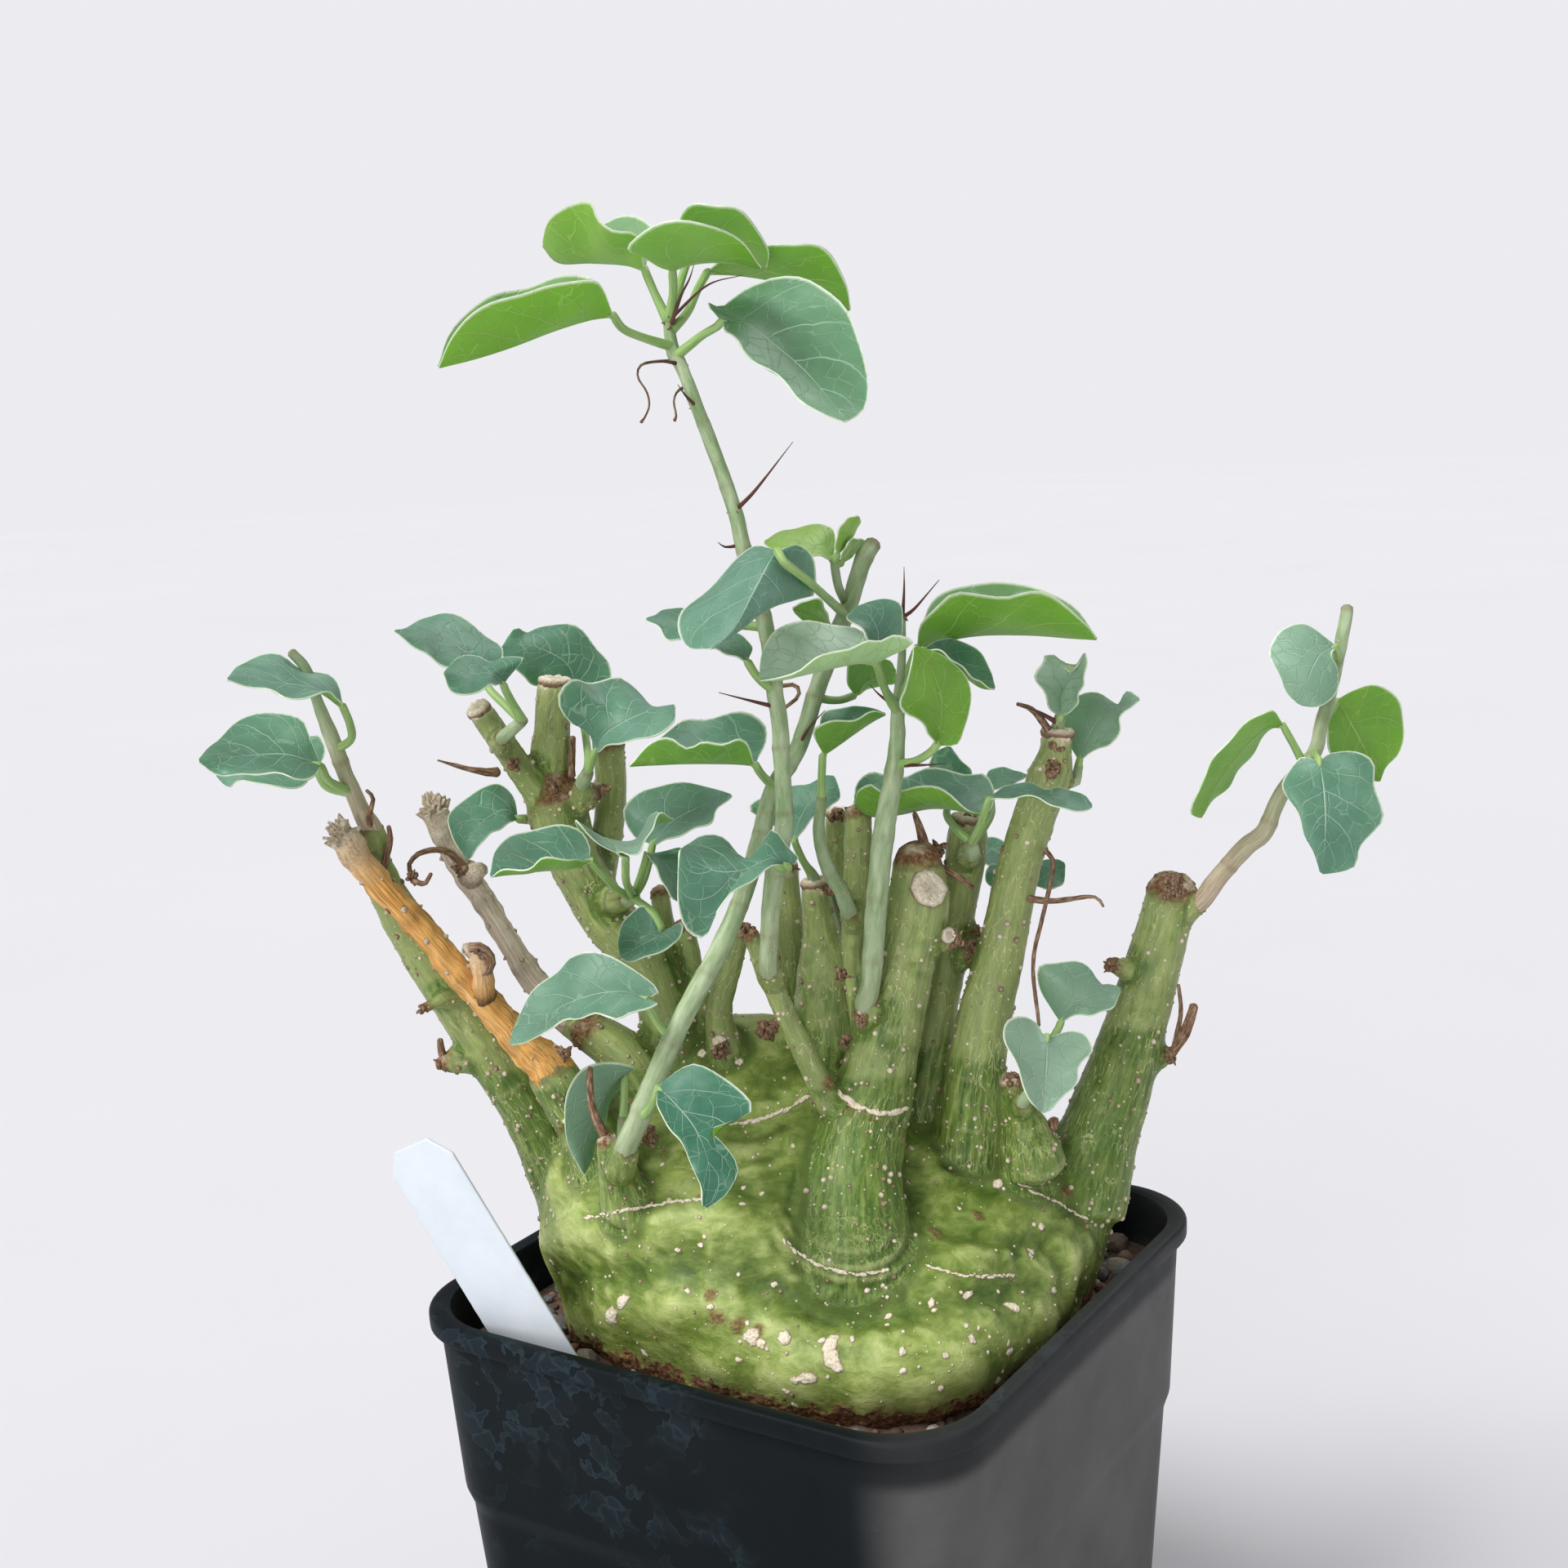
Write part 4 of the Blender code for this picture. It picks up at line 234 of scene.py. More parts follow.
# The swollen body of the caudex as rings: the height from the rim, then sixteen (x, y) places of the
# picture's own axes, from the left side round the front, the right side and the back.
BODY = [
    (-30, [(-38, 0), (-33, -12), (-24, -21), (-11, -31), (6, -36), (18, -34), (28, -25), (38, -8), (41, 2),
           (35, 15), (25, 22), (12, 26), (0, 27), (-12, 26), (-24, 22), (-33, 12)]),
    (-22, [(-51, 0), (-44, -16), (-32, -28), (-15, -42), (8, -50), (24, -47), (37, -34), (51, -10), (55, 2),
           (48, 20), (34, 30), (17, 35), (0, 36), (-17, 34), (-33, 28), (-45, 16)]),
    (-12, [(-57, 0), (-50, -18), (-36, -31), (-18, -46), (8, -56), (26, -53), (41, -38), (57, -12), (61, 2),
           (54, 23), (38, 34), (19, 40), (0, 41), (-19, 38), (-37, 31), (-50, 18)]),
    (-4, [(-58.5, 0), (-51, -20), (-36.5, -34), (-18, -49), (8, -59.5), (27, -57.5), (42.5, -42), (58, -14),
          (64, 2),
          (56, 24), (39, 35), (19, 41), (0, 42), (-19, 39), (-38, 32), (-51, 18)]),
    (4, [(-61, 0), (-52, -20.5), (-37, -37), (-18, -47.5), (8, -57), (26, -56), (42.5, -39), (59, -14),
         (66.5, 3),
         (57, 24), (39, 34), (19, 40), (0, 41), (-19, 39), (-39, 32), (-53, 18)]),
    (12, [(-62, 0), (-52.5, -21.5), (-36.5, -38), (-18, -45.5), (7, -47), (25, -45), (42.5, -29), (58, -10),
          (67.5, 4),
          (56, 23), (38, 31), (19, 37), (0, 39), (-19, 37), (-39, 31), (-54, 18)]),
    (20, [(-61.5, 0), (-51.5, -21), (-36, -37), (-17.5, -43), (6, -38), (24, -28), (41, -18), (55, -6),
          (65, 6),
          (52, 19), (35, 27), (18, 33), (0, 36), (-19, 35), (-38, 29), (-53, 17)]),
    (28, [(-59.5, 0), (-50, -18), (-35, -33), (-17.5, -38), (5, -31), (20, -18), (33, -8), (43, 0), (46, 8),
          (40, 16), (28, 22), (15, 27), (0, 31), (-18, 31), (-37, 26), (-51, 15)]),
    (36, [(-53, 2), (-45, -10), (-32, -22), (-17, -27), (1, -23), (12, -12), (19, -4), (24, 2), (26, 8),
          (22, 14), (16, 18), (8, 22), (-2, 24), (-17, 24), (-33, 20), (-46, 13)]),
    (44, [(-42, 4), (-37, -4), (-27, -11), (-16, -15), (-3, -12), (5, -6), (8, -1), (10, 3), (10, 7),
          (8, 11), (4, 14), (-1, 16), (-8, 18), (-17, 18), (-28, 16), (-37, 11)]),
    (51, [(-30, 4), (-28, -1), (-22, -5), (-15, -7), (-8, -5), (-3, -2), (-1, 1), (0, 3), (0, 6),
          (-1, 8), (-4, 10), (-7, 11), (-11, 12), (-17, 12), (-23, 11), (-28, 8)]),
    (55.5, [(-20, 3), (-19, 2), (-17, 0), (-15, -1), (-12, 0), (-10, 1), (-9, 2), (-8, 3), (-8, 4),
            (-9, 5), (-10, 6), (-12, 6), (-14, 7), (-16, 7), (-18, 6), (-19, 5)]),
]

# Dead branches: a root inside the stump, then routes of (across, down, back, radius) out to the broken end.
DEAD = {
    "branch_tan": {
        "root": (702, 1356, -12),
        "stems": [[(672, 1308, -12, 4.9), (645, 1281, -12, 3.9), (620, 1255, -12.5, 3.4),
                   (583, 1214, -13, 3.2),
                   (546, 1172, -13.5, 3.1), (511, 1131, -14, 2.9), (475, 1094, -14, 2.8),
                   (440, 1053, -14, 2.9),
                   (420, 1024, -14, 3.2)],
                  [(594, 1224, -14, 2.2), (592, 1203, -16, 2.4), (588, 1180, -17, 2.0), (580, 1165, -17, 1.8),
                   (568, 1163, -18, 1.3)]],
    },
    "branch_grey": {
        "root": (724, 1264, 1),
        "stems": [[(694, 1246, 2, 3.3), (668, 1215, 3, 2.8), (651, 1197, 4, 2.7), (622, 1152, 5, 2.6),
                   (593, 1103, 6, 2.5), (571, 1072, 6, 2.7), (549, 1034, 6, 2.8), (533, 994, 6, 3.0)],
                  [(574, 1078, 5, 2.4), (583, 1068, 3, 2.2), (592, 1063, 2, 1.4)]],
    },
}

# Leafy shoots. Each has a seat on the caudex, woody routes, thorns, stalks and leaves. A leaf has a stalk, a
# base, a tip and three rows between them: one edge, the middle and the other edge.
SHOOTS = {
    "shoot_far_left": {
        "root": (460, 1036, -6),
        "stems": [[(453, 1012, -6.6, 2.4), (441, 990, -7, 1.9), (423, 948, -8, 1.7), (407, 906, -9, 1.7),
                   (391, 865, -10, 1.2), (375, 820, -11, 1.1), (357, 799, -12, 1.0)]],
        "leaves": {
            "L1": ([(412, 918, -9), (430, 905, -12), (428, 885, -16), (421, 868, -20)],
                   (420, 865, -21), (278, 832, -34),
                   [(415, 845, -14), (401, 826, -10), (370, 819, -10), (340, 803, -12), (312, 804, -16),
                    (290, 818, -24)],
                   [(390, 845, -24), (345, 838, -26), (305, 832, -30)],
                   [(407, 849, -30), (385, 852, -34), (349, 855, -36), (326, 843, -34), (298, 840, -34)]),
            "L2": ([(432, 971, -8), (404, 957, -13), (395, 942, -16)],
                   (392, 937, -18), (243, 932, -28),
                   [(378, 900, -10), (366, 880, -7), (327, 871, -6), (290, 885, -9), (262, 910, -18)],
                   [(350, 925, -18), (310, 926, -20), (275, 929, -24)],
                   [(385, 950, -26), (362, 955, -30), (335, 946, -30), (305, 948, -30), (270, 950, -28)]),
            "L3": ([(432, 971, -7), (402, 965, -3), (390, 948, 0)],
                   (388, 940, 2), (266, 950, 10),
                   [(398, 920, 6), (392, 902, 9), (370, 900, 14), (320, 905, 16), (285, 925, 14)],
                   [(365, 945, 2), (320, 940, 4), (290, 945, 6)],
                   [(370, 962, -2), (335, 964, -4), (300, 955, -2), (280, 964, 4)]),
        },
    },
    "spray_left_top": {
        "root": (612, 912, 0),
        "stems": [[(616, 903, -5.5, 1.5), (624, 896, -8, 1.4), (636, 886, -11, 1.2), (640, 881, -12, 1.2)]],
        "leaves": {
            "C1": ([(638, 883, -12), (620, 865, -10), (600, 845, -7)],
                   (592, 830, -5), (483, 773, -12),
                   [(612, 812, 0), (614, 792, 4), (592, 776, 6), (561, 755, 6), (541, 750, 4), (521, 757, 0),
                    (500, 768, -6)],
                   [(570, 800, -4), (540, 783, -5), (512, 776, -9)],
                   [(570, 826, -10), (543, 815, -12), (517, 799, -13), (496, 784, -13)]),
            "C2": ([(639, 882, -12), (628, 862, -15), (619, 845, -18)],
                   (616, 837, -19), (543, 824, -28),
                   [(637, 812, -15), (640, 806, -14), (618, 804, -14), (600, 812, -14), (584, 804, -15),
                    (565, 803, -18)],
                   [(603, 826, -21), (580, 826, -23), (562, 826, -26)],
                   [(602, 839, -26), (590, 845, -28), (570, 852, -30), (552, 846, -30)]),
        },
    },
    "spray_left_junction": {
        "root": (712, 982, 5),
        "stems": [[(713, 959, 0, 1.6), (717, 952, -2, 1.5), (720, 945, -3, 1.3)]],
        "leaves": {
            "C3": ([(720, 947, -2), (720, 928, 7), (716, 895, 18), (710, 864, 21)],
                   (706, 850, 21), (612, 798, 14),
                   [(745, 838, 24), (746, 812, 27), (732, 795, 28), (704, 767, 28), (665, 766, 25),
                    (645, 776, 21), (630, 769, 17)],
                   [(695, 815, 21), (668, 797, 19), (640, 790, 16)],
                   [(685, 842, 18), (655, 840, 16), (640, 828, 14), (624, 812, 13)]),
            "C4": ([(720, 946, -3), (724, 934, -4), (727, 924, -5)],
                   (728, 921, -5), (826, 864, -10),
                   [(722, 896, -6), (698, 884, -8), (683, 857, -8), (696, 834, -6), (722, 836, 2),
                    (755, 829, 6),
                    (774, 842, 6), (800, 866, 0), (815, 866, -4)],
                   [(742, 898, -6), (770, 882, -8), (800, 870, -9)],
                   [(741, 915, -10), (761, 909, -14), (789, 905, -16), (811, 896, -16), (826, 884, -14)]),
        },
    },
    "leaf_left_low": {
        "root": (672, 1003, 9),
        "stems": [[(647, 1003, 8, 1.2), (636, 1003, 6, 1.0)]],
        "leaves": {
            "C5": ([(642, 1003, 7), (637, 1003, 6)],
                   (633, 1002, 5.5), (573, 1051, -5),
                   [(628, 975, 9), (616, 962, 9), (601, 961, 7), (575, 974, 4), (549, 998, -1),
                    (552, 1018, -4), (559, 1035, -5)],
                   [(618, 992, 4), (595, 1003, 1), (575, 1025, -3)],
                   [(624, 1008, 1), (612, 1015, -2), (592, 1028, -6), (583, 1042, -7)]),
        },
    },
    "spray_left_middle": {
        "root": (755, 1103, 1),
        "stems": [[(768, 1101, -2, 1.9), (772, 1100, -4, 1.7), (777, 1098, -6, 1.4)]],
        "leaves": {
            "C6": ([(770, 1100, -5), (757, 1090, -11), (740, 1073, -16), (727, 1058, -19)],
                   (722, 1053, -20), (601, 1073, -26),
                   [(722, 1036, -12), (712, 1018, -9), (688, 1011, -8), (660, 1014, -9), (626, 1024, -12),
                    (606, 1042, -20)],
                   [(700, 1061, -20), (660, 1065, -22), (625, 1069, -25)],
                   [(704, 1053, -28), (682, 1050, -31), (665, 1052, -32), (648, 1063, -31),
                    (615, 1066, -29)]),
            "C7": ([(770, 1100, -6), (767, 1080, -16), (766, 1056, -22)],
                   (766, 1050, -24), (824, 1003, -18),
                   [(735, 1034, -26), (705, 1006, -28), (712, 1016, -20), (752, 1031, -14), (775, 1030, -12),
                    (800, 996, -12)],
                   [(752, 1040, -24), (745, 1030, -20), (775, 1038, -18), (800, 1010, -16)],
                   [(760, 1048, -26), (758, 1044, -26), (783, 1044, -26), (797, 1015, -24), (810, 996, -22)]),
            "C8": ([(774, 1099, -5), (788, 1078, -4), (796, 1050, -4)],
                   (799, 1034, -4), (896, 974, -2),
                   [(776, 1024, 2), (763, 996, 6), (777, 975, 9), (794, 965, 10), (831, 959, 10),
                    (865, 963, 6)],
                   [(822, 1008, 0), (850, 992, 2), (875, 981, 0)],
                   [(811, 1031, -8), (839, 1020, -9), (868, 1009, -8), (878, 992, -5)]),
            "C10": ([(775, 1098, -6), (784, 1075, -9), (791, 1052, -12)],
                    (792, 1045, -12), (833, 1104, -14),
                    [(803, 1062, -18), (815, 1088, -19), (825, 1101, -17)],
                    [(815, 1060, -13), (828, 1083, -14)],
                    [(806, 1045, -8), (834, 1038, -8), (845, 1060, -8), (846, 1088, -10)]),
            "D2": ([(772, 1101, -5), (785, 1106, -12), (800, 1118, -16), (808, 1132, -17)],
                   (811, 1138, -17), (760, 1172, -20),
                   [(798, 1118, -16), (785, 1109, -14), (763, 1130, -13), (757, 1152, -15)],
                   [(800, 1150, -18), (780, 1161, -19)],
                   [(835, 1131, -17), (832, 1149, -20), (816, 1162, -23), (788, 1173, -24),
                    (771, 1178, -22)]),
        },
    },
    "spray_front_left": {
        "root": (760, 1455, -26),
        "stems": [[(763, 1400, -26, 1.4), (763, 1385, -26.5, 1.3), (763, 1369, -27, 1.1)]],
        "leaves": {
            "D3": ([(763, 1374, -27), (764, 1350, -26), (765, 1325, -25.5)],
                   (765, 1313, -25.5), (714, 1437, -27),
                   [(777, 1306, -29), (748, 1302, -31), (716, 1306, -31), (700, 1326, -30), (691, 1361, -29),
                    (695, 1400, -28)],
                   [(752, 1325, -26), (728, 1360, -25), (714, 1400, -26)],
                   [(768, 1320, -22), (752, 1341, -21), (733, 1393, -22), (722, 1424, -24)]),
        },
    },
    "shoot_long": {
        "root": (760, 1432, -35),
        "stems": [[(767, 1402, -39.5, 2.3), (780, 1374, -40, 2.3), (828, 1262, -38, 2.1),
                   (876, 1173, -33, 2.1),
                   (907, 1103, -28.5, 1.9), (930, 1030, -24, 1.9), (946, 969, -20, 1.9), (976, 919, -17, 1.8),
                   (997, 855, -14, 1.8), (1022, 785, -12, 1.8), (1041, 737, -12, 1.8), (1057, 686, -13, 1.8),
                   (1070, 665, -13, 1.7)],
                  [(1036, 738, -12, 1.0), (1027, 720, -15, 0.9), (1023, 698, -17, 0.9),
                   (1021, 684, -18, 0.8)]],
        "thorns": [[(972, 915, -17, 0.8), (990, 892, -19, 0.7), (1010, 870, -21, 0.35)]],
        "leaves": {
            "M1": ([(1033, 752, -12), (1010, 730, -32), (985, 708, -48), (962, 690, -54), (954, 678, -53)],
                   (952, 674, -50), (873, 794, -58),
                   [(941, 671, -45), (920, 669, -42), (884, 706, -40), (858, 728, -42), (836, 750, -44),
                    (831, 774, -48),
                    (842, 793, -52)],
                   [(938, 695, -54), (920, 730, -57), (900, 768, -59)],
                   [(975, 667, -46), (993, 680, -42), (1000, 700, -40), (998, 727, -40), (978, 731, -43),
                    (930, 753, -48),
                    (906, 770, -52)]),
            "M2a": ([(1022, 686, -18), (1019, 685, -18)],
                    (1019, 685, -18), (936, 664, -24),
                    [(1022, 664, -12), (1021, 649, -10), (1009, 643, -10), (990, 644, -11), (968, 648, -14),
                     (948, 655, -19)],
                    [(1000, 672, -20), (970, 664, -22)],
                    [(1008, 682, -24), (992, 679, -27), (968, 676, -28), (945, 673, -26)]),
            "M2b": ([(1022, 686, -18), (1024, 682, -18)],
                    (1025, 680, -18), (1051, 632, -16),
                    [(1023, 665, -20), (1028, 647, -20), (1038, 635, -18)],
                    [(1032, 662, -17), (1042, 645, -16)],
                    [(1037, 665, -14), (1047, 652, -12), (1053, 640, -13)]),
            "M2c": ([(1022, 690, -17), (1027, 690, -16)],
                    (1030, 689, -16), (1063, 666, -8),
                    [(1034, 672, -18), (1044, 660, -16), (1057, 661, -11)],
                    [(1040, 675, -12), (1052, 668, -9)],
                    [(1040, 685, -12), (1052, 674, -8)]),
            "M5": ([(1025, 782, -12), (1022, 775, -16), (1019, 770, -20)],
                    (1018, 768, -20), (971, 745, -24),
                    [(1012, 750, -24), (1006, 736, -26), (996, 733, -26), (984, 737, -25)],
                    [(1004, 756, -18), (985, 750, -20)],
                    [(1010, 766, -16), (990, 764, -16), (976, 754, -20)]),
            "M8": ([(1001, 853, -14), (1014, 857, -12), (1030, 857, -9), (1042, 853, -7)],
                   (1047, 851, -6), (1096, 820, 0),
                   [(1038, 838, -10), (1037, 818, -12), (1042, 808, -12), (1064, 806, -8), (1088, 808, -3)],
                   [(1058, 835, -6), (1078, 826, -3)],
                   [(1052, 850, -3), (1070, 841, -1), (1096, 836, 2)]),
            "M10": ([(943, 960, -21), (934, 950, -26), (927, 940, -30)],
                    (924, 935, -31), (771, 937, -42),
                    [(938, 908, -24), (937, 888, -20), (918, 875, -18), (896, 873, -18), (868, 879, -20),
                     (836, 883, -24),
                     (810, 902, -32)],
                    [(900, 933, -31), (845, 933, -36), (800, 935, -40)],
                    [(916, 912, -38), (903, 903, -41), (884, 912, -43), (861, 910, -44), (842, 915, -45),
                     (820, 903, -45),
                     (794, 913, -45)]),
            "D1": ([(822, 1268, -36), (806, 1254, -38), (793, 1232, -41)],
                   (790, 1223, -42), (625, 1278, -36),
                   [(806, 1214, -38), (772, 1184, -34), (735, 1167, -30), (699, 1171, -28), (680, 1192, -26),
                    (651, 1216, -28),
                    (632, 1251, -32)],
                   [(760, 1215, -39), (715, 1222, -36), (668, 1245, -34)],
                   [(805, 1229, -44), (776, 1240, -46), (756, 1250, -46), (731, 1238, -43), (709, 1250, -42),
                    (686, 1251, -40),
                    (648, 1276, -38)]),
            "D4": ([(783, 1368, -38), (794, 1360, -43), (803, 1342, -47)],
                   (806, 1332, -48), (863, 1478, -66),
                   [(806, 1360, -54), (829, 1392, -58), (843, 1418, -61), (857, 1453, -65)],
                   [(826, 1352, -52), (852, 1385, -56), (868, 1430, -62)],
                   [(829, 1313, -46), (854, 1303, -46), (890, 1322, -48), (922, 1356, -52), (896, 1374, -54),
                    (871, 1384, -56),
                    (892, 1410, -58), (904, 1433, -60), (889, 1463, -64)]),
        },
    },
    "shoot_tall": {
        "root": (944, 1200, -23),
        "stems": [[(940, 1186, -27.8, 1.9), (942, 1150, -29, 1.9), (944, 1109, -30, 1.9),
                   (949, 1068, -31, 1.9),
                   (960, 1010, -32, 1.9), (958, 951, -33, 1.7), (955, 887, -33, 1.7), (949, 849, -33, 1.7),
                   (936, 759, -31, 1.6), (911, 675, -29, 1.6), (902, 633, -28, 1.5), (883, 576, -26, 1.4),
                   (852, 495, -23, 1.3), (833, 446, -21, 1.3), (825, 434, -20, 1.4), (818, 394, -18, 1.0)]],
        "thorns": [[(903, 624, -28, 0.8), (925, 600, -32, 0.7), (971, 541, -38, 0.35)],
                   [(899, 669, -29, 0.8), (889, 670, -30, 0.6), (879, 664, -32, 0.35)],
                   [(832, 446, -21, 0.8), (815, 443, -24, 0.6), (791, 443, -27, 0.4)],
                   [(850, 500, -23, 0.8), (840, 485, -26, 0.6), (830, 471, -28, 0.35)],
                   [(952, 866, -33, 0.8), (915, 857, -37, 0.6), (880, 848, -41, 0.4)],
                   [(831, 400, -19, 0.8), (834, 362, -20, 0.7), (844, 342, -20, 0.6), (850, 323, -19, 0.4)],
                   [(834, 362, -20, 0.6), (865, 350, -15, 0.5), (909, 337, -10, 0.35)]],
        "leaves": {
            "T1": ([(818, 424, -20), (795, 416, -24), (765, 404, -28), (753, 390, -31)],
                   (750, 385, -32), (537, 449, -44),
                   [(738, 352, -38), (722, 342, -42), (690, 346, -44), (650, 358, -46), (598, 371, -48),
                    (555, 410, -48)],
                   [(722, 389, -33), (680, 402, -36), (626, 423, -40), (580, 438, -43)],
                   [(728, 345, -28), (718, 339, -25), (680, 340, -26), (640, 353, -30), (592, 367, -36),
                    (552, 405, -42)]),
            "T2": ([(816, 384, -18), (802, 360, -16), (792, 337, -14)],
                   (789, 329, -13), (665, 300, 2),
                   [(783, 290, -20), (752, 284, -22), (735, 268, -20), (722, 247, -17), (691, 254, -12),
                    (669, 274, -6)],
                   [(765, 322, -10), (722, 320, -5), (684, 320, 0)],
                   [(802, 285, -2), (783, 268, 4), (757, 264, 8), (735, 274, 10), (705, 274, 12),
                    (676, 285, 10)]),
            "T4": ([(821, 388, -18), (824, 362, -20), (824, 340, -23)],
                   (823, 331, -24), (932, 328, -38),
                   [(790, 318, -38), (768, 302, -46), (790, 283, -52), (825, 272, -56), (856, 272, -57),
                    (887, 281, -54),
                    (911, 300, -48)],
                   [(835, 324, -32), (862, 318, -37), (895, 319, -39), (915, 323, -39)],
                   [(845, 324, -24), (872, 316, -25), (900, 316, -28), (917, 321, -32)]),
            "T5": ([(822, 386, -16), (832, 350, -8), (842, 318, -4)],
                   (846, 308, -3), (938, 327, -6),
                   [(831, 275, -12), (845, 252, -18), (875, 251, -20), (902, 254, -20), (921, 274, -18),
                    (941, 304, -13)],
                   [(868, 300, -2), (895, 303, -3), (920, 318, -5)],
                   [(850, 286, 6), (872, 272, 9), (900, 275, 8), (922, 296, 4)]),
            "T6": ([(833, 404, -19), (842, 382, -14), (854, 355, -8), (864, 337, -4)],
                   (867, 333, -2), (1041, 379, 4),
                   [(890, 316, -5), (942, 302, -8), (990, 297, -8), (1014, 310, -7), (1035, 342, -3)],
                   [(905, 335, 2), (950, 343, 5), (995, 360, 6), (1024, 374, 5)],
                   [(900, 318, 10), (945, 306, 15), (985, 303, 16), (1012, 318, 14), (1033, 350, 9)]),
            "T7": ([(836, 428, -21), (858, 412, -25), (878, 400, -28)],
                   (884, 393, -30), (1036, 516, -56),
                   [(864, 370, -30), (884, 378, -24), (912, 354, -20), (944, 339, -18), (975, 339, -20),
                    (1003, 352, -24),
                    (1036, 377, -30), (1052, 419, -37), (1063, 469, -45), (1058, 500, -51)],
                   [(915, 398, -34), (950, 425, -38), (985, 455, -43), (1015, 490, -50)],
                   [(888, 404, -38), (903, 420, -44), (918, 436, -47), (959, 468, -51), (983, 491, -54),
                    (1008, 509, -56)]),
            "M11": ([(938, 768, -31), (910, 766, -29), (880, 768, -28)],
                    (862, 770, -27), (791, 759, -30),
                    [(850, 752, -22), (832, 744, -20), (812, 748, -22), (800, 754, -26)],
                    [(845, 766, -27), (815, 762, -28)],
                    [(850, 782, -32), (832, 784, -34), (817, 783, -34), (805, 767, -32)]),
            "M12": ([(946, 846, -33), (930, 832, -36), (918, 815, -39)],
                    (915, 809, -40), (868, 788, -38),
                    [(921, 792, -36), (903, 776, -33), (882, 776, -34)],
                    [(900, 798, -39), (882, 792, -39)],
                    [(905, 806, -44), (885, 799, -44)]),
            "C9": ([(953, 1063, -32), (964, 1064, -38), (964, 1060, -42)],
                   (962, 1058, -43), (832, 1043, -50),
                   [(979, 1054, -42), (968, 1040, -40), (947, 1016, -38), (937, 1031, -40), (914, 1050, -42),
                    (884, 1027, -38),
                    (857, 1024, -38), (840, 1035, -44)],
                   [(944, 1052, -45), (915, 1064, -47), (880, 1068, -50), (850, 1056, -50)],
                   [(944, 1061, -48), (923, 1079, -50), (893, 1093, -52), (874, 1128, -54), (862, 1149, -55),
                    (842, 1140, -56),
                    (830, 1110, -56), (830, 1072, -53)]),
        },
    },
    "leaf_middle_rear": {
        "root": (1001, 1094, 6),
        "stems": [[(997, 1077, 5, 1.4), (994, 1070, 4, 1.2), (990, 1064, 3, 1.0)]],
        "leaves": {
            "M13": ([(994, 1070, 4), (984, 1055, 0), (975, 1036, -3)],
                    (973, 1029, -4), (1022, 952, 2),
                    [(955, 1016, 4), (926, 998, 6), (918, 988, 6), (935, 976, 6), (967, 964, 5),
                     (988, 962, 4), (1008, 950, 3)],
                    [(980, 1005, -2), (990, 985, -1), (1006, 967, 0)],
                    [(985, 1014, -6), (1000, 998, -6), (1016, 988, -4), (1029, 976, -2)]),
        },
    },
    "shoot_thin": {
        "root": (1047, 1130, -7),
        "stems": [[(1039, 1115, -11.5, 1.8), (1030, 1090, -13, 1.7), (1016, 1068, -14, 1.6),
                   (1003, 1023, -16, 1.3),
                   (1006, 975, -17, 1.1)]],
        "leaves": {
            "M9": ([(1006, 978, -17), (1006, 955, -18), (1007, 930, -19)],
                   (1008, 922, -19), (1084, 874, -16),
                   [(998, 905, -25), (996, 892, -27), (1016, 884, -27), (1046, 881, -25), (1070, 871, -20)],
                   [(1022, 913, -18), (1045, 897, -17), (1068, 882, -16)],
                   [(1004, 886, -12), (1010, 871, -8), (1030, 867, -6), (1064, 866, -9)]),
        },
    },
    "shoot_middle": {
        "root": (1066, 1242, -16),
        "stems": [[(1058, 1229, -18, 2.1), (1066, 1205, -19, 2.1), (1073, 1109, -20, 2.3),
                   (1083, 1014, -21, 2.3),
                   (1094, 950, -21, 2.0), (1099, 903, -21, 1.6), (1099, 877, -21, 1.5), (1103, 823, -20, 0.9),
                   (1105, 791, -19, 0.8), (1105, 753, -18, 0.7)]],
        "thorns": [[(1104, 938, -22, 0.9), (1125, 937, -26, 0.7), (1160, 935, -30, 0.35)],
                   [(1105, 756, -18, 0.7), (1107, 725, -18, 0.6), (1107, 694, -18, 0.35)],
                   [(1105, 756, -18, 0.7), (1120, 745, -20, 0.6), (1150, 710, -23, 0.4)],
                   [(1086, 868, -22, 0.8), (1076, 850, -25, 0.6), (1065, 838, -27, 0.35)]],
        "leaves": {
            "M3": ([(1097, 864, -19), (1107, 835, -14), (1118, 806, -11)],
                   (1124, 792, -10), (1343, 782, -6),
                   [(1127, 763, -18), (1147, 744, -22), (1169, 728, -24), (1201, 728, -24), (1233, 729, -24),
                    (1258, 725, -23),
                    (1281, 728, -22), (1309, 744, -19), (1328, 762, -14)],
                   [(1150, 784, -8), (1200, 776, -7), (1262, 776, -6), (1312, 780, -6)],
                   [(1136, 745, 0), (1160, 722, 5), (1200, 716, 8), (1243, 714, 9), (1275, 721, 7),
                    (1315, 744, 3),
                    (1334, 766, -2)]),
            "M4": ([(1092, 868, -22), (1084, 845, -28), (1076, 822, -34)],
                   (1072, 812, -36), (930, 832, -52),
                   [(1117, 786, -40), (1099, 779, -43), (1080, 785, -46), (1060, 783, -49), (1037, 797, -52),
                    (1000, 804, -55),
                    (975, 822, -56), (950, 832, -55)],
                   [(1050, 810, -40), (1007, 819, -46), (965, 829, -51)],
                   [(1060, 782, -30), (1045, 769, -29), (1013, 763, -31), (980, 762, -34), (952, 769, -38),
                    (934, 796, -46)]),
            "M5b": ([(1098, 872, -22), (1088, 855, -25), (1078, 825, -27)],
                    (1072, 800, -27), (1050, 743, -25),
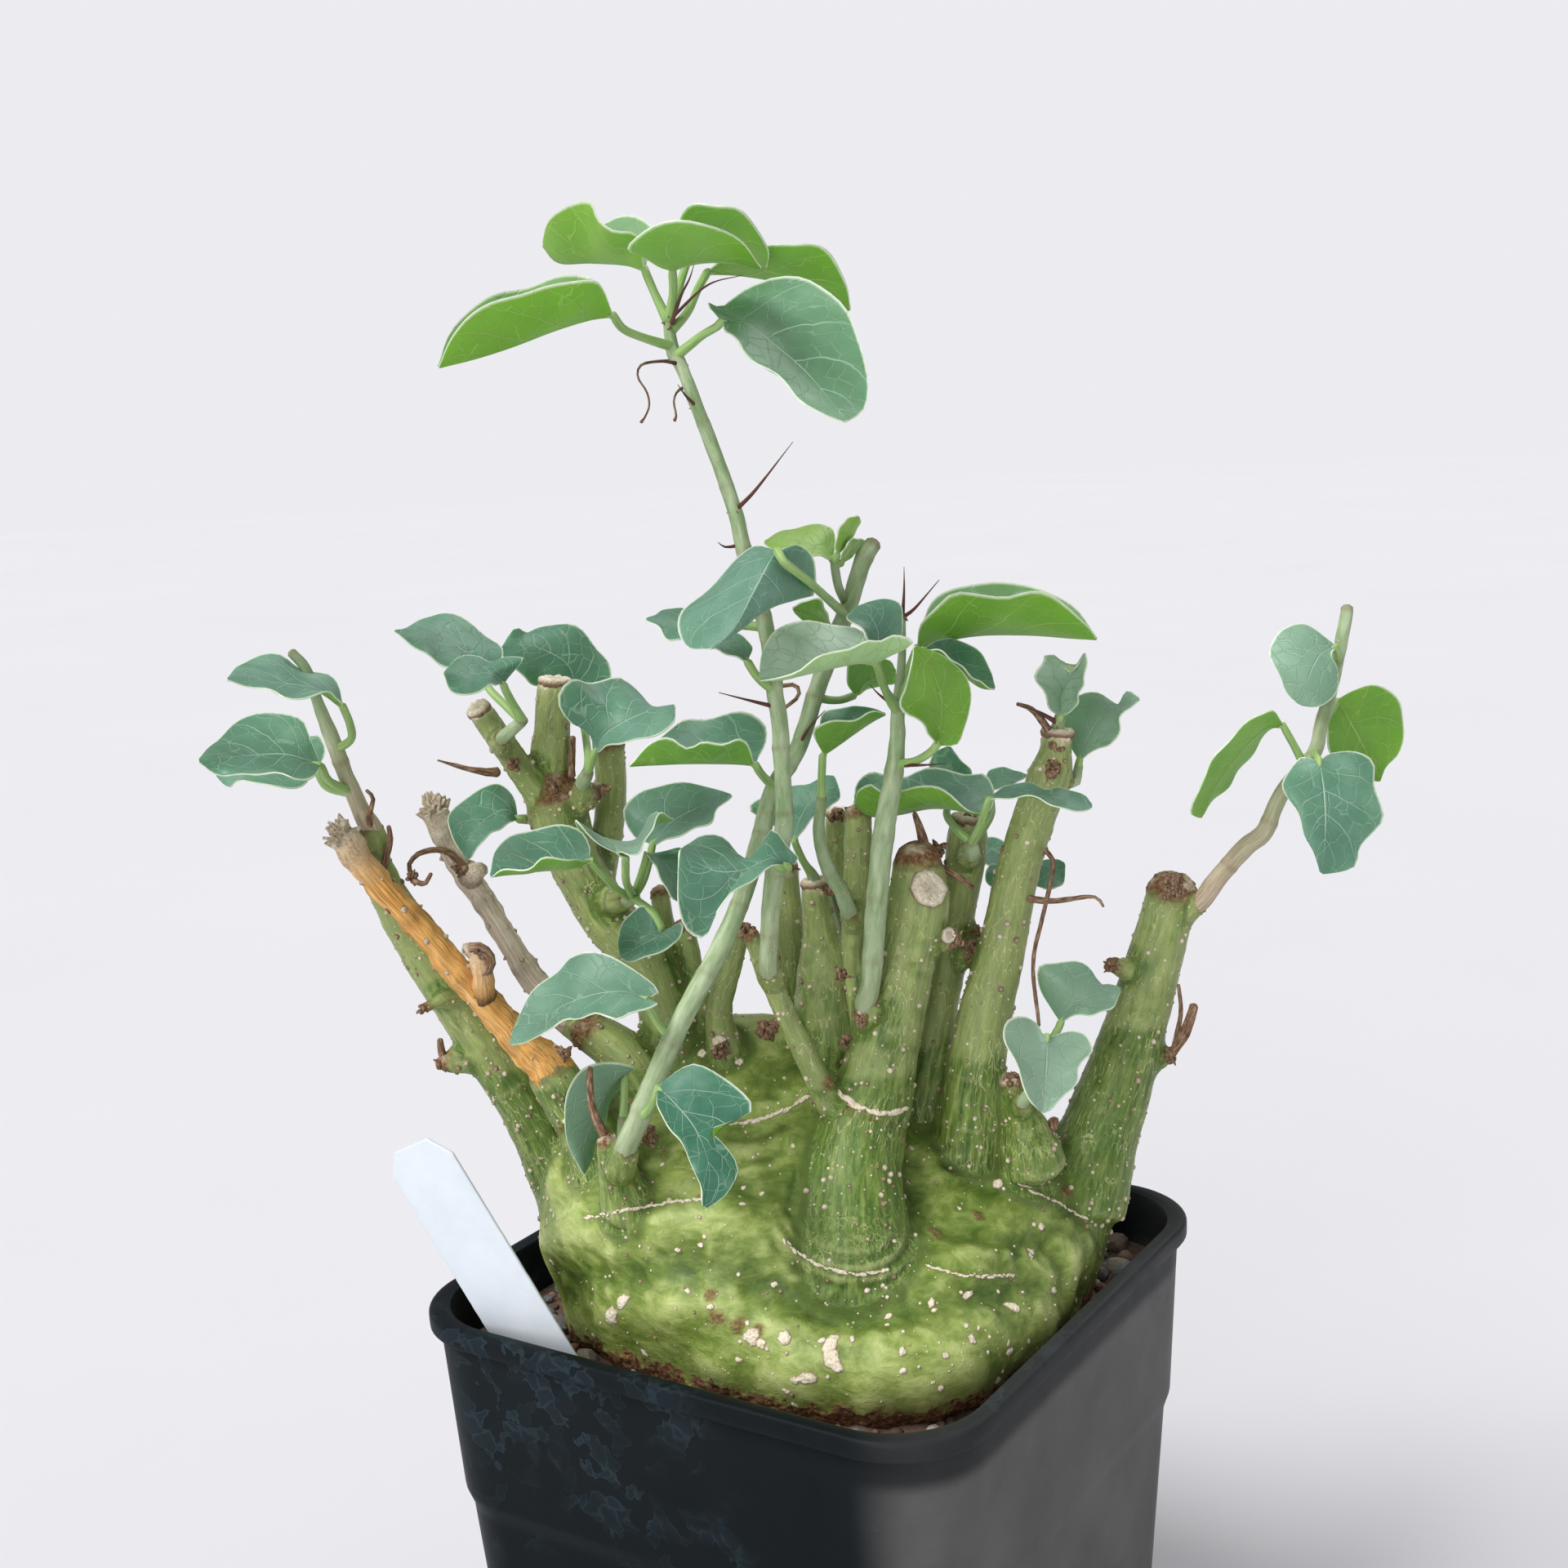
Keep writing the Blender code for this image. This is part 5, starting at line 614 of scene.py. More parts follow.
                    [(1060, 776, -30), (1048, 764, -30), (1036, 757, -28)],
                    [(1074, 775, -27), (1063, 752, -26)],
                    [(1101, 790, -23), (1104, 745, -22), (1086, 733, -22), (1066, 737, -23)]),
            "M6": ([(1104, 937, -22), (1118, 933, -24), (1138, 922, -25)],
                   (1147, 912, -26), (1120, 792, -34),
                   [(1138, 899, -32), (1124, 882, -36), (1107, 871, -37), (1101, 859, -37), (1107, 843, -37),
                    (1115, 822, -37)],
                   [(1150, 880, -27), (1150, 850, -29), (1138, 818, -32)],
                   [(1172, 912, -26), (1180, 893, -25), (1190, 858, -24), (1184, 833, -25), (1169, 813, -27),
                    (1145, 798, -31)]),
            "M7": ([(1100, 860, -21), (1112, 836, -22), (1124, 808, -21)],
                   (1130, 796, -20), (1218, 843, -16),
                   [(1152, 797, -22), (1169, 810, -23), (1188, 826, -22), (1207, 840, -19)],
                   [(1150, 806, -16), (1178, 824, -14), (1200, 840, -15)],
                   [(1149, 784, -13), (1169, 782, -8), (1188, 791, -6), (1204, 804, -7), (1214, 824, -11)]),
        },
    },
    "spray_right_middle": {
        "root": (1183, 1050, 3),
        "stems": [[(1190, 1046, -3, 1.7), (1190, 1038, -5, 1.6), (1189, 1030, -6.5, 1.3)]],
        "leaves": {
            "M14": ([(1190, 1034, -5.5), (1196, 1018, -8), (1203, 1004, -9)],
                    (1203, 998, -10), (1046, 984, -8),
                    [(1190, 993, -15), (1175, 984, -17), (1148, 964, -16), (1125, 961, -15), (1100, 970, -15),
                     (1081, 971, -15),
                     (1067, 959, -14), (1051, 968, -12)],
                    [(1180, 991, -9), (1140, 988, -7), (1100, 996, -7), (1066, 998, -7)],
                    [(1214, 990, -6), (1217, 970, 0), (1206, 947, 4), (1180, 948, 6), (1137, 941, 6),
                     (1100, 952, 5),
                     (1067, 946, 2), (1050, 958, -3)]),
            "M16": ([(1189, 1031, -6), (1172, 1016, -4), (1160, 1000, 5), (1160, 988, 12)],
                    (1162, 980, 14), (1162, 914, 12),
                    [(1146, 965, 15), (1138, 940, 15), (1144, 922, 14)],
                    [(1165, 960, 13), (1165, 935, 12)],
                    [(1184, 965, 12), (1190, 945, 11), (1174, 928, 11)]),
            "M17": ([(1190, 1031, -6), (1206, 1012, -2), (1214, 995, 5), (1213, 978, 12)],
                    (1211, 968, 14), (1257, 950, 14),
                    [(1208, 955, 17), (1212, 943, 19), (1228, 940, 19), (1244, 944, 17)],
                    [(1225, 956, 14), (1243, 953, 14)],
                    [(1220, 966, 11), (1241, 960, 11)]),
            "M18": ([(1190, 1032, -6), (1200, 1012, -12), (1207, 990, -16)],
                    (1211, 978, -17), (1337, 987, -20),
                    [(1228, 966, -14), (1256, 957, -12), (1278, 968, -13), (1296, 963, -14), (1313, 970, -15),
                     (1329, 974, -18)],
                    [(1240, 971, -17), (1275, 976, -18), (1305, 980, -19)],
                    [(1241, 977, -20), (1272, 976, -21), (1290, 988, -22), (1310, 992, -23),
                     (1330, 993, -22)]),
        },
    },
    "spray_right_top": {
        "root": (1294, 908, 0),
        "stems": [[(1295, 893, -0.5, 1.5), (1296, 885, -1.2, 1.3), (1298, 878, -2.4, 1.2)]],
        "thorns": [[(1296, 886, -1.2, 1.0), (1272, 872, -6, 0.9), (1245, 862, -10, 0.35)]],
        "leaves": {
            "M19": ([(1297, 881, -2), (1298, 879, -3)],
                    (1299, 877, -3), (1328, 800, -14),
                    [(1286, 868, -7), (1279, 850, -10), (1267, 830, -12), (1279, 811, -12), (1277, 804, -11),
                     (1289, 803, -9),
                     (1300, 813, -8), (1312, 823, -9)],
                    [(1298, 855, -2), (1305, 838, -4), (1318, 820, -9)],
                    [(1316, 867, -7), (1326, 836, -14), (1331, 817, -16)]),
        },
    },
    "leaf_right_top": {
        "root": (1298, 958, 1),
        "stems": [[(1316, 957, 1, 1.2), (1319, 948, 2, 1.1), (1321, 938, 3, 1.0)]],
        "leaves": {
            "M20": ([(1321, 940, 3), (1321, 934, 3)],
                    (1322, 930, 3), (1395, 856, -2),
                    [(1306, 905, 8), (1303, 875, 10), (1318, 853, 11), (1342, 849, 10), (1362, 858, 7),
                     (1370, 862, 4),
                     (1381, 846, 2)],
                    [(1332, 905, 4), (1348, 880, 4), (1366, 869, 2), (1383, 860, 0)],
                    [(1345, 916, 0), (1361, 912, -3), (1370, 896, -4), (1372, 879, -4), (1382, 868, -5)]),
        },
    },
    "spray_right_rear": {
        "root": (1246, 1086, -2),
        "stems": [[(1246, 1078, 4, 1.5), (1246, 1072, 8, 1.3), (1246, 1066, 11, 1.1)]],
        "leaves": {
            "E4a": ([(1246, 1069, 10), (1240, 1062, 13), (1234, 1058, 15)],
                    (1232, 1057, 16), (1198, 1050, 24),
                    [(1232, 1036, 24), (1222, 1026, 27), (1208, 1028, 28)],
                    [(1224, 1050, 18), (1210, 1050, 20)],
                    [(1222, 1060, 12), (1206, 1058, 16)]),
            "E4b": ([(1246, 1070, 10), (1238, 1068, 12), (1231, 1062, 14)],
                    (1229, 1060, 14), (1218, 1088, 8),
                    [(1214, 1058, 12), (1207, 1068, 9), (1208, 1080, 8)],
                    [(1222, 1070, 11), (1218, 1080, 9)],
                    [(1232, 1070, 14), (1230, 1082, 12)]),
            "E4c": ([(1247, 1069, 11), (1256, 1078, 14), (1264, 1082, 16)],
                    (1267, 1083, 16), (1304, 1058, 20),
                    [(1268, 1066, 20), (1276, 1055, 23), (1292, 1052, 23)],
                    [(1280, 1074, 17), (1292, 1066, 19)],
                    [(1284, 1089, 13), (1302, 1082, 15)]),
        },
    },
    "leaf_right_low_rear": {
        "root": (1199, 1292, -6),
        "stems": [[(1198, 1290, 1, 1.5), (1197, 1284, 5, 1.3), (1195, 1276, 8, 1.1)]],
        "leaves": {
            "E3": ([(1196, 1280, 7), (1192, 1272, 11), (1188, 1266, 13)],
                   (1186, 1263, 14), (1148, 1250, 22),
                   [(1182, 1244, 18), (1174, 1237, 21), (1158, 1240, 23)],
                   [(1176, 1257, 16), (1162, 1254, 19)],
                   [(1176, 1268, 12), (1160, 1266, 16)]),
        },
    },
    "spray_right_low": {
        "root": (1251, 1364, -14),
        "stems": [[(1253, 1349, -19.6, 1.4), (1262, 1335, -20, 1.2), (1275, 1305, -19, 1.1),
                   (1286, 1280, -17, 1.0)]],
        "leaves": {
            "E1": ([(1284, 1284, -17), (1291, 1268, -15), (1298, 1256, -14)],
                   (1299, 1251, -14), (1372, 1212, -12),
                   [(1290, 1238, -10), (1274, 1213, -8), (1272, 1184, -8), (1292, 1179, -8), (1318, 1177, -8),
                    (1334, 1186, -9),
                    (1345, 1204, -10), (1360, 1205, -11)],
                   [(1314, 1230, -13), (1340, 1218, -13)],
                   [(1314, 1244, -16), (1341, 1242, -18), (1363, 1233, -17)]),
            "E2": ([(1282, 1288, -18), (1284, 1280, -21), (1283, 1273, -23)],
                   (1282, 1269, -24), (1276, 1362, -34),
                   [(1266, 1250, -21), (1249, 1244, -22), (1232, 1251, -24), (1229, 1268, -26),
                    (1239, 1292, -29), (1247, 1311, -31),
                    (1260, 1346, -34)],
                   [(1281, 1300, -26), (1279, 1332, -30)],
                   [(1296, 1266, -22), (1315, 1263, -22), (1331, 1268, -23), (1338, 1287, -26),
                    (1322, 1305, -28), (1319, 1326, -30),
                    (1303, 1342, -32), (1288, 1357, -34)]),
        },
    },
    "shoot_far_right": {
        "root": (1452, 1114, 8),
        "stems": [[(1470, 1104, 6.6, 2.2), (1494, 1072, 6, 2.1), (1525, 1038, 5, 2.0), (1548, 1018, 4, 2.0),
                   (1563, 984, 4, 1.7), (1579, 957, 4, 1.6), (1609, 923, 5, 1.6), (1617, 892, 6, 1.5),
                   (1625, 862, 7, 1.5), (1636, 816, 8, 1.4), (1648, 758, 9, 1.4), (1649, 744, 9, 1.3)]],
        "leaves": {
            "R1a": ([(1639, 806, 7.5), (1637, 799, 5), (1636, 795, 3)],
                    (1635, 792, 2), (1592, 863, -4),
                    [(1622, 781, 3), (1596, 763, 4), (1567, 774, 4), (1554, 799, 2), (1566, 825, -1),
                     (1575, 848, -3)],
                    [(1616, 802, -1), (1602, 830, -4)],
                    [(1630, 800, -1), (1639, 827, -2), (1632, 854, -4), (1612, 866, -5)]),
            "R1b": ([(1622, 880, 6), (1630, 870, 10), (1635, 861, 12)],
                    (1636, 858, 13), (1688, 957, 16),
                    [(1628, 875, 11), (1624, 896, 9), (1630, 922, 9), (1652, 945, 12)],
                    [(1652, 885, 14), (1670, 918, 16)],
                    [(1655, 846, 16), (1682, 838, 19), (1701, 846, 21), (1716, 864, 22), (1719, 896, 22),
                     (1712, 923, 20),
                     (1697, 940, 18)]),
            "R1c": ([(1609, 920, 5), (1612, 926, 1), (1614, 930, -3)],
                    (1615, 931, -4), (1618, 1069, -14),
                    [(1592, 928, -2), (1574, 950, -4), (1571, 968, -6), (1590, 996, -10), (1597, 1023, -13),
                     (1610, 1047, -14)],
                    [(1620, 965, -7), (1622, 1000, -11), (1621, 1035, -14)],
                    [(1630, 922, -2), (1659, 921, -1), (1682, 934, -1), (1684, 964, -3), (1693, 1000, -5),
                     (1684, 1017, -7),
                     (1665, 1038, -10), (1659, 1060, -12), (1640, 1068, -13)]),
            "R1d": ([(1594, 933, 4), (1584, 912, 5), (1574, 894, 5)],
                    (1571, 888, 5), (1470, 1001, -2),
                    [(1559, 869, -1), (1546, 874, -4), (1518, 892, -6), (1489, 923, -7), (1477, 950, -7),
                     (1460, 980, -7),
                     (1459, 997, -5)],
                    [(1545, 893, 3), (1510, 930, 1), (1484, 968, -1)],
                    [(1557, 892, 9), (1535, 919, 9), (1508, 957, 6), (1479, 988, 1)]),
        },
    },
}

# The dead branches' material slots and colours: low, middle and high tones, and the colour of the cracks.
DEAD_TONES = {
    "branch_tan": ("tan_wood", (182, 122, 56), (228, 170, 94), (246, 212, 152), (120, 72, 36)),
    "branch_grey": ("grey_wood", (176, 158, 136), (220, 206, 186), (244, 236, 222), (118, 90, 70)),
}

# The label on the picture: the middle of its top, a place further down its middle line at the rim, and a
# place across from its top that gives its slant.
LABEL_TOP = (503, 1402, -27)
LABEL_FOOT = (655, 1650, -30)
LABEL_SIDE = (576, 1425, -32)

# Which blades show their underside to the picture, and how young (bright) and how pale some of them are,
# from 0 to 1.
UNDERSIDES = {"T4", "T5", "T6", "M5", "M6", "M8", "R1b", "R1d"}
YOUNG = {"M2a": 1.0, "M2b": 1.0, "M2c": 1.0, "M6": 0.3, "T2": 0.3, "T4": 0.45, "T5": 0.45, "T1": 0.4,
         "T6": 0.35, "M5": 0.35, "M3": 0.3, "R1b": 0.2, "R1d": 0.1, "T7": 0.12}
PALE = {"M19": 0.85, "M4": 0.95, "C7": 0.5, "D1": 0.2, "D3": 0.5, "D4": 0.0, "E1": 0.45, "E2": 0.6,
        "R1a": 0.4, "M20": 0.5, "C8": 0.2}

# How a stem of the caudex ends, unless it is "dry", a brown dried end: "cut" is a pale crumbly cut, "brown" a
# smoother brown end, and "collar" a plain end, such as the seat of a branch or shoot.
TOPS = {"collar": "collar", "middle_foot": "collar", "right_middle_nodule": "collar", "middle_stem": "brown"}
TOPS.update({name: "cut" for name in ("left_tree_outer", "left_tree_middle", "ringed_stem", "pale_stem",
                                      "scarred_stem", "right_middle_stem", "right_stem")})

# Stems whose top is broader here than their last place in the table says.
TOP_RADII = {"left_tree_middle": 3.7, "right_middle_stem": 4.0, "right_stem": 3.6, "far_right_stem": 5.2,
             "middle_stem": 4.4, "ringed_stem": 3.2, "pale_stem": 2.4, "scarred_stem": 2.9}

# Marks on the caudex that were read off the picture. A fold has its route of (across, down), half-width,
# depth and painted shade in its groove, and a pale line its route and size.
FOLDS = [
    ([(690, 1572), (760, 1560), (850, 1550), (930, 1568), (1000, 1602), (1080, 1610), (1180, 1594),
      (1290, 1562)],
     4.2, 1.5, 0.35),
    ([(1112, 1440), (1128, 1480), (1165, 1512), (1245, 1522), (1310, 1500)], 3.2, 1.1, 0.35),
    ([(860, 1415), (900, 1450), (950, 1482)], 3.0, 0.9, 0.3),
    ([(700, 1500), (740, 1487), (800, 1478), (859, 1469)], 1.6, 0.4, 0.2),
    ([(975, 1440), (965, 1478), (974, 1508), (1000, 1533), (1045, 1545), (1086, 1532),
      (1100, 1500)], 0.9, 0.45, 0.3),
    ([(952, 1470), (958, 1505), (985, 1537), (1020, 1556), (1062, 1560), (1096, 1544),
      (1114, 1510)], 0.9, 0.5, 0.35),
    ([(938, 1490), (948, 1524), (980, 1556), (1030, 1574), (1085, 1570), (1120, 1545)], 1.0, 0.4, 0.25),
    ([(870, 1400), (930, 1392), (985, 1368)], 1.0, 0.35, 0.25),
    ([(890, 1425), (940, 1420), (975, 1405)], 1.0, 0.35, 0.25),
    ([(905, 1350), (950, 1345), (990, 1325)], 1.0, 0.35, 0.25),
    ([(1130, 1420), (1165, 1432), (1200, 1430)], 1.4, 0.5, 0.35),
    ([(1130, 1400), (1160, 1408), (1192, 1404)], 1.0, 0.35, 0.3),
]
PALE_LINES = [
    ([(872, 1379), (925, 1372), (960, 1360), (987, 1344)], 0.6),
    ([(1029, 1338), (1040, 1349), (1062, 1359), (1085, 1363), (1108, 1358)], 0.9),
    ([(716, 1491), (760, 1482), (795, 1477), (859, 1469)], 0.45),
    ([(962, 1520), (985, 1540), (1024, 1555), (1050, 1560), (1085, 1556)], 0.5),
    ([(1135, 1550), (1180, 1562), (1240, 1562)], 0.4),
    ([(1250, 1450), (1290, 1470), (1330, 1492)], 0.4),
]

# Cut faces on the front of a stem, as (across, down, radius).
CUT_FACES = [(1137, 1088, 3.9), (1160, 1145, 1.7)]

# Flaky scars, as (across, down, size, how many times longer one way, turn), and brown spots, as
# (across, down, size).
SCARS = [
    (1017, 1645, 2.4, 1.5, 1.3), (1019, 1664, 2.8, 1.4, 1.7), (1026, 1674, 1.8, 1.0, 0),
    (920, 1637, 2.4, 1.3, 0.3),
    (932, 1645, 1.8, 1.0, 0), (749, 1612, 2.4, 1.9, 1.1), (762, 1594, 1.8, 2.2, 0.8),
    (987, 1688, 2.0, 1.8, 0.2),
    (973, 1690, 1.4, 1.0, 0), (960, 1638, 2.1, 1.2, 2.4), (1088, 1612, 1.0, 1.3, 0.5),
    (1140, 1596, 1.1, 1.5, 1.2),
    (1190, 1640, 1.4, 1.2, 1.5), (1240, 1600, 1.7, 1.8, 2.2), (905, 1665, 0.9, 1.5, 0),
    (1062, 1580, 0.9, 1.2, 0.6),
    (1105, 1655, 1.2, 1.3, 1.8), (1222, 1450, 1.6, 1.3, 0.4), (1275, 1502, 1.3, 1.1, 0),
    (1152, 1700, 1.0, 1.2, 0.9),
    (870, 1600, 1.0, 1.4, 0.3), (1158, 1660, 1.0, 1.1, 0), (830, 1530, 0.9, 1.2, 0),
    (1095, 1520, 0.8, 1.0, 0),
    (1044, 1640, 0.8, 1.5, 1.5), (1290, 1580, 1.2, 1.4, 2.6), (1236, 1655, 1.3, 1.2, 0.2),
    (1222, 1690, 1.2, 1.6, 2.4),
    (880, 1275, 2.2, 1.3, 0.5), (860, 1290, 1.6, 1.2, 0), (905, 1300, 1.4, 1.1, 0),
    (1185, 1586, 1.1, 2.4, 0.1),
]
BROWN_SPOTS = [(880, 1612, 2.4), (905, 1622, 2.0), (930, 1628, 1.6), (870, 1585, 1.4), (1145, 1505, 1.5),
               (1197, 1488, 1.6), (1305, 1460, 1.6), (1015, 1325, 2.2), (1150, 1510, 1.2)]

# The same on the back of the body, which the photo doesn't show. A place there is (turn from the photo's
# right to its left by way of the back, in degrees, and height over the pot's rim, in millimetres).
BACK_FOLDS = [
    ([(35, 8), (55, 3), (78, 5), (100, 0), (125, 3), (150, -2)], 3.8, 1.3, 0.35),
    ([(60, 24), (80, 19), (100, 21), (118, 17)], 2.6, 0.9, 0.3),
    ([(105, 14), (128, 11), (150, 15), (172, 11)], 2.2, 0.8, 0.3),
    ([(22, 18), (40, 22), (58, 17)], 1.8, 0.7, 0.3),
    ([(150, 26), (168, 22), (185, 25)], 1.6, 0.6, 0.3),
]
BACK_LINES = [
    ([(70, 12), (84, 10), (100, 11)], 0.5),
    ([(118, 22), (132, 19), (146, 20)], 0.6),
    ([(40, 14), (52, 12), (60, 13)], 0.45),
]
BACK_SCARS = [
    (62, -4, 2.2, 1.5, 0.4), (66, -6, 1.5, 1.1, 0.9), (88, 2, 1.2, 1.4, 0.2), (96, -5, 2.4, 1.7, 1.3),
    (101, -3, 1.6, 1.0, 0), (120, 6, 1.1, 1.3, 0.5), (131, -4, 1.8, 1.8, 0.2), (137, -6, 1.3, 1.2, 2.4),
    (149, 8, 1.2, 1.5, 1.5), (160, -3, 2.0, 1.4, 0.8), (108, 15, 0.9, 1.2, 0.6), (82, 18, 1.0, 1.4, 0.3),
    (50, 2, 1.4, 1.2, 1.8), (38, -5, 1.6, 1.6, 2.2), (172, 6, 1.3, 1.3, 0.4), (73, 8, 0.9, 1.1, 0),
]
BACK_SPOTS = [(64, -3, 2.6), (98, -3, 2.8), (134, -3, 2.4), (158, 2, 1.6), (110, 8, 1.5), (80, 14, 1.4)]

# Dry bits on the caudex, as (across, down, back, reach, how many), and twigs as routes with radii.
DRY_BITS = [
    (545, 1303, -3, 2.4, 16), (516, 1235, -11, 1.8, 8), (457, 1022, -6, 3.0, 12), (722, 975, 3, 2.6, 14),
    (738, 965, 3, 2.2, 10), (764, 1101, -2, 2.2, 12), (742, 1396, -34, 2.2, 8), (790, 1390, -27, 3.4, 18),
    (846, 1128, 8, 2.0, 8), (914, 1136, -22, 2.6, 12), (1056, 1240, -17, 2.8, 14), (1030, 1195, -16, 3.2, 6),
    (1168, 1152, -12, 2.6, 14), (1195, 1166, -3, 2.8, 14), (1197, 1140, 1, 2.0, 8), (1186, 1010, 2, 3.2, 18),
    (1150, 1040, -6, 2.6, 10), (1294, 912, -1, 3.2, 20), (1290, 942, -4, 3.2, 14), (1240, 1322, -14, 2.6, 12),
    (1437, 1085, 6, 4.0, 26), (1466, 1106, 6, 2.6, 8), (1360, 1182, 4, 2.4, 12), (1433, 1292, 3, 2.8, 16),
    (1284, 1380, -14, 3.0, 12), (690, 1290, -15, 2.6, 10), (712, 1262, -2, 2.6, 10), (676, 965, 5, 2.6, 12),
    (1000, 1330, -19, 2.8, 12), (1013, 1090, 4, 2.4, 10), (966, 1060, 12, 2.6, 10), (1026, 998, 9, 3.0, 12),
    (1052, 992, 0, 2.0, 6), (628, 938, -2, 2.4, 10), (570, 1065, 4, 3.4, 16), (583, 1168, -18, 2.4, 8),
    (505, 1075, -13, 2.4, 8), (940, 1260, -12, 4.0, 14), (880, 1285, -10, 3.2, 12), (1035, 1275, -14, 2.4, 8),
]
TWIGS = [
    [(545, 1300, -3, 1.3), (540, 1285, -4, 1.0), (539, 1273, -4, 0.8)],
    [(742, 1394, -34, 1.5), (734, 1378, -34.5, 1.2), (724, 1350, -35, 1.0), (722, 1308, -35, 0.8)],
    [(700, 950, 8, 1.2), (700, 935, 8, 1.0), (701, 903, 8, 0.9)],
    [(1135, 1052, -8, 1.8), (1128, 1020, -9, 1.3), (1120, 996, -9, 0.7)],
    [(1150, 1060, -8, 1.0), (1175, 1075, -8, 0.9), (1191, 1087, -8, 0.8)],
    [(1280, 1041, -6, 0.7), (1290, 1060, -8, 0.6), (1276, 1126, -9, 0.6), (1265, 1179, -10, 0.55),
     (1272, 1256, -11, 0.5)],
    [(1434, 1292, 3, 1.2), (1452, 1262, 1, 1.6), (1462, 1232, 0, 1.3)],
    [(1438, 1280, 3, 0.8), (1446, 1240, 3, 0.7), (1443, 1206, 3, 0.5)],
    [(574, 1066, 4, 1.1), (545, 1042, 2, 0.9), (515, 1044, 0, 0.8), (500, 1060, -1, 0.7),
     (506, 1072, -2, 0.6)],
    [(570, 1165, -18, 1.2), (583, 1160, -18, 1.6), (597, 1168, -18, 1.7), (600, 1185, -18, 1.4),
     (590, 1192, -18, 1.0)],
    [(955, 840, -14, 0.6), (974, 839, -15, 0.6), (978, 852, -16, 0.5), (962, 866, -16, 0.5)],
    [(1290, 905, 0, 1.2), (1278, 885, -3, 1.0), (1262, 868, -6, 0.8), (1246, 862, -8, 0.5)],
    [(505, 1078, -13, 0.9), (520, 1082, -15, 0.7), (528, 1070, -16, 0.5)],
    [(455, 1025, -7, 1.2), (452, 1000, -9, 0.9), (457, 978, -10, 0.6), (449, 968, -11, 0.5)],
    [(470, 1062, -8, 1.0), (478, 1030, -9, 0.8), (476, 1012, -10, 0.6)],
    [(1252, 1100, -7, 1.1), (1290, 1103, -9, 0.8), (1330, 1098, -11, 0.6), (1344, 1100, -12, 0.5),
     (1351, 1110, -12, 0.35)],
    [(609, 946, 0, 1.4), (585, 944, -3, 0.9), (560, 938, -5, 0.6), (536, 931, -7, 0.25)],
]

# Curled dry tendrils, each a route of places on the tall shoot.
TENDRILS = [
    [(822, 442, -20, 0.5), (800, 443, -22, 0.4), (784, 448, -24, 0.35), (781, 462, -24, 0.3),
     (792, 480, -24, 0.3),
     (795, 497, -24, 0.3), (789, 512, -24, 0.3), (785, 517, -24, 0.5)],
    [(838, 474, -20, 0.5), (829, 480, -22, 0.35), (825, 492, -23, 0.3), (828, 508, -23, 0.3),
     (826, 515, -23, 0.5)],
]


# Meshes.

def new_mesh(name, points, faces):
    """A mesh in metres from points in millimetres."""
    mesh = bpy.data.meshes.new(name)
    mesh.from_pydata([(x * MM, y * MM, z * MM) for x, y, z in points], [], faces)
    return mesh


def linked(name, data):
    """A new object in the scene."""
    made = bpy.data.objects.new(name, data)
    bpy.context.scene.collection.objects.link(made)
    return made


def applied(thing):
    """A new mesh: an object's own with its modifiers applied."""
    bpy.context.view_layer.update()
    return bpy.data.meshes.new_from_object(thing.evaluated_get(bpy.context.evaluated_depsgraph_get()))


def read_vectors(items, key):
    """One vector of each point of a mesh, as rows of numbers."""
    values = np.empty(len(items) * 3, np.float32)
    items.foreach_get(key, values)
    return values.reshape(-1, 3).astype(float)


def loft_faces(rings, around, closed=True):
    """Faces between rings of points that follow each other, with both ends closed."""
    faces = []
    for k in range(rings - 1):
        for i in range(around):
            a, b = k * around + i, k * around + (i + 1) % around
            faces.append((a, b, b + around, a + around))
    if closed:
        faces.append(tuple(reversed(range(around))))
        faces.append(tuple(range((rings - 1) * around, rings * around)))
    return faces


def dome_faces(rings, around):
    """Faces of a low dome: between its rings, from the last one to a middle point, and its underside."""
    top = (rings - 1) * around
    faces = loft_faces(rings, around, False)
    faces += [(top + k, top + (k + 1) % around, top + around) for k in range(around)]
    faces.append(tuple(reversed(range(around))))
    return faces


def round_ball(subdivisions):
    """The points and faces of a ball of radius 1."""
    maker = bmesh.new()
    bmesh.ops.create_icosphere(maker, subdivisions=subdivisions, radius=1.0)
    points = [vert.co.copy() for vert in maker.verts]
    faces = [tuple(vert.index for vert in face.verts) for face in maker.faces]
    maker.free()
    return points, faces


def mark(mesh, name, values):
    """Keeps three numbers for each point of a mesh under a name that materials can read."""
    values = np.asarray(values, np.float32)
    mesh.attributes.new(name, "FLOAT_VECTOR", "POINT").data.foreach_set("vector", values.ravel())


def place_piece(made, nodes=(), angle=60):
    """Smooths a piece up to an angle between its faces and ties it to the frame."""
    made.data.shade_smooth()
    made.data.set_sharp_from_angle(angle=math.radians(angle))
    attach(made, "root")
    if nodes:
        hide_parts(*nodes)
    return made


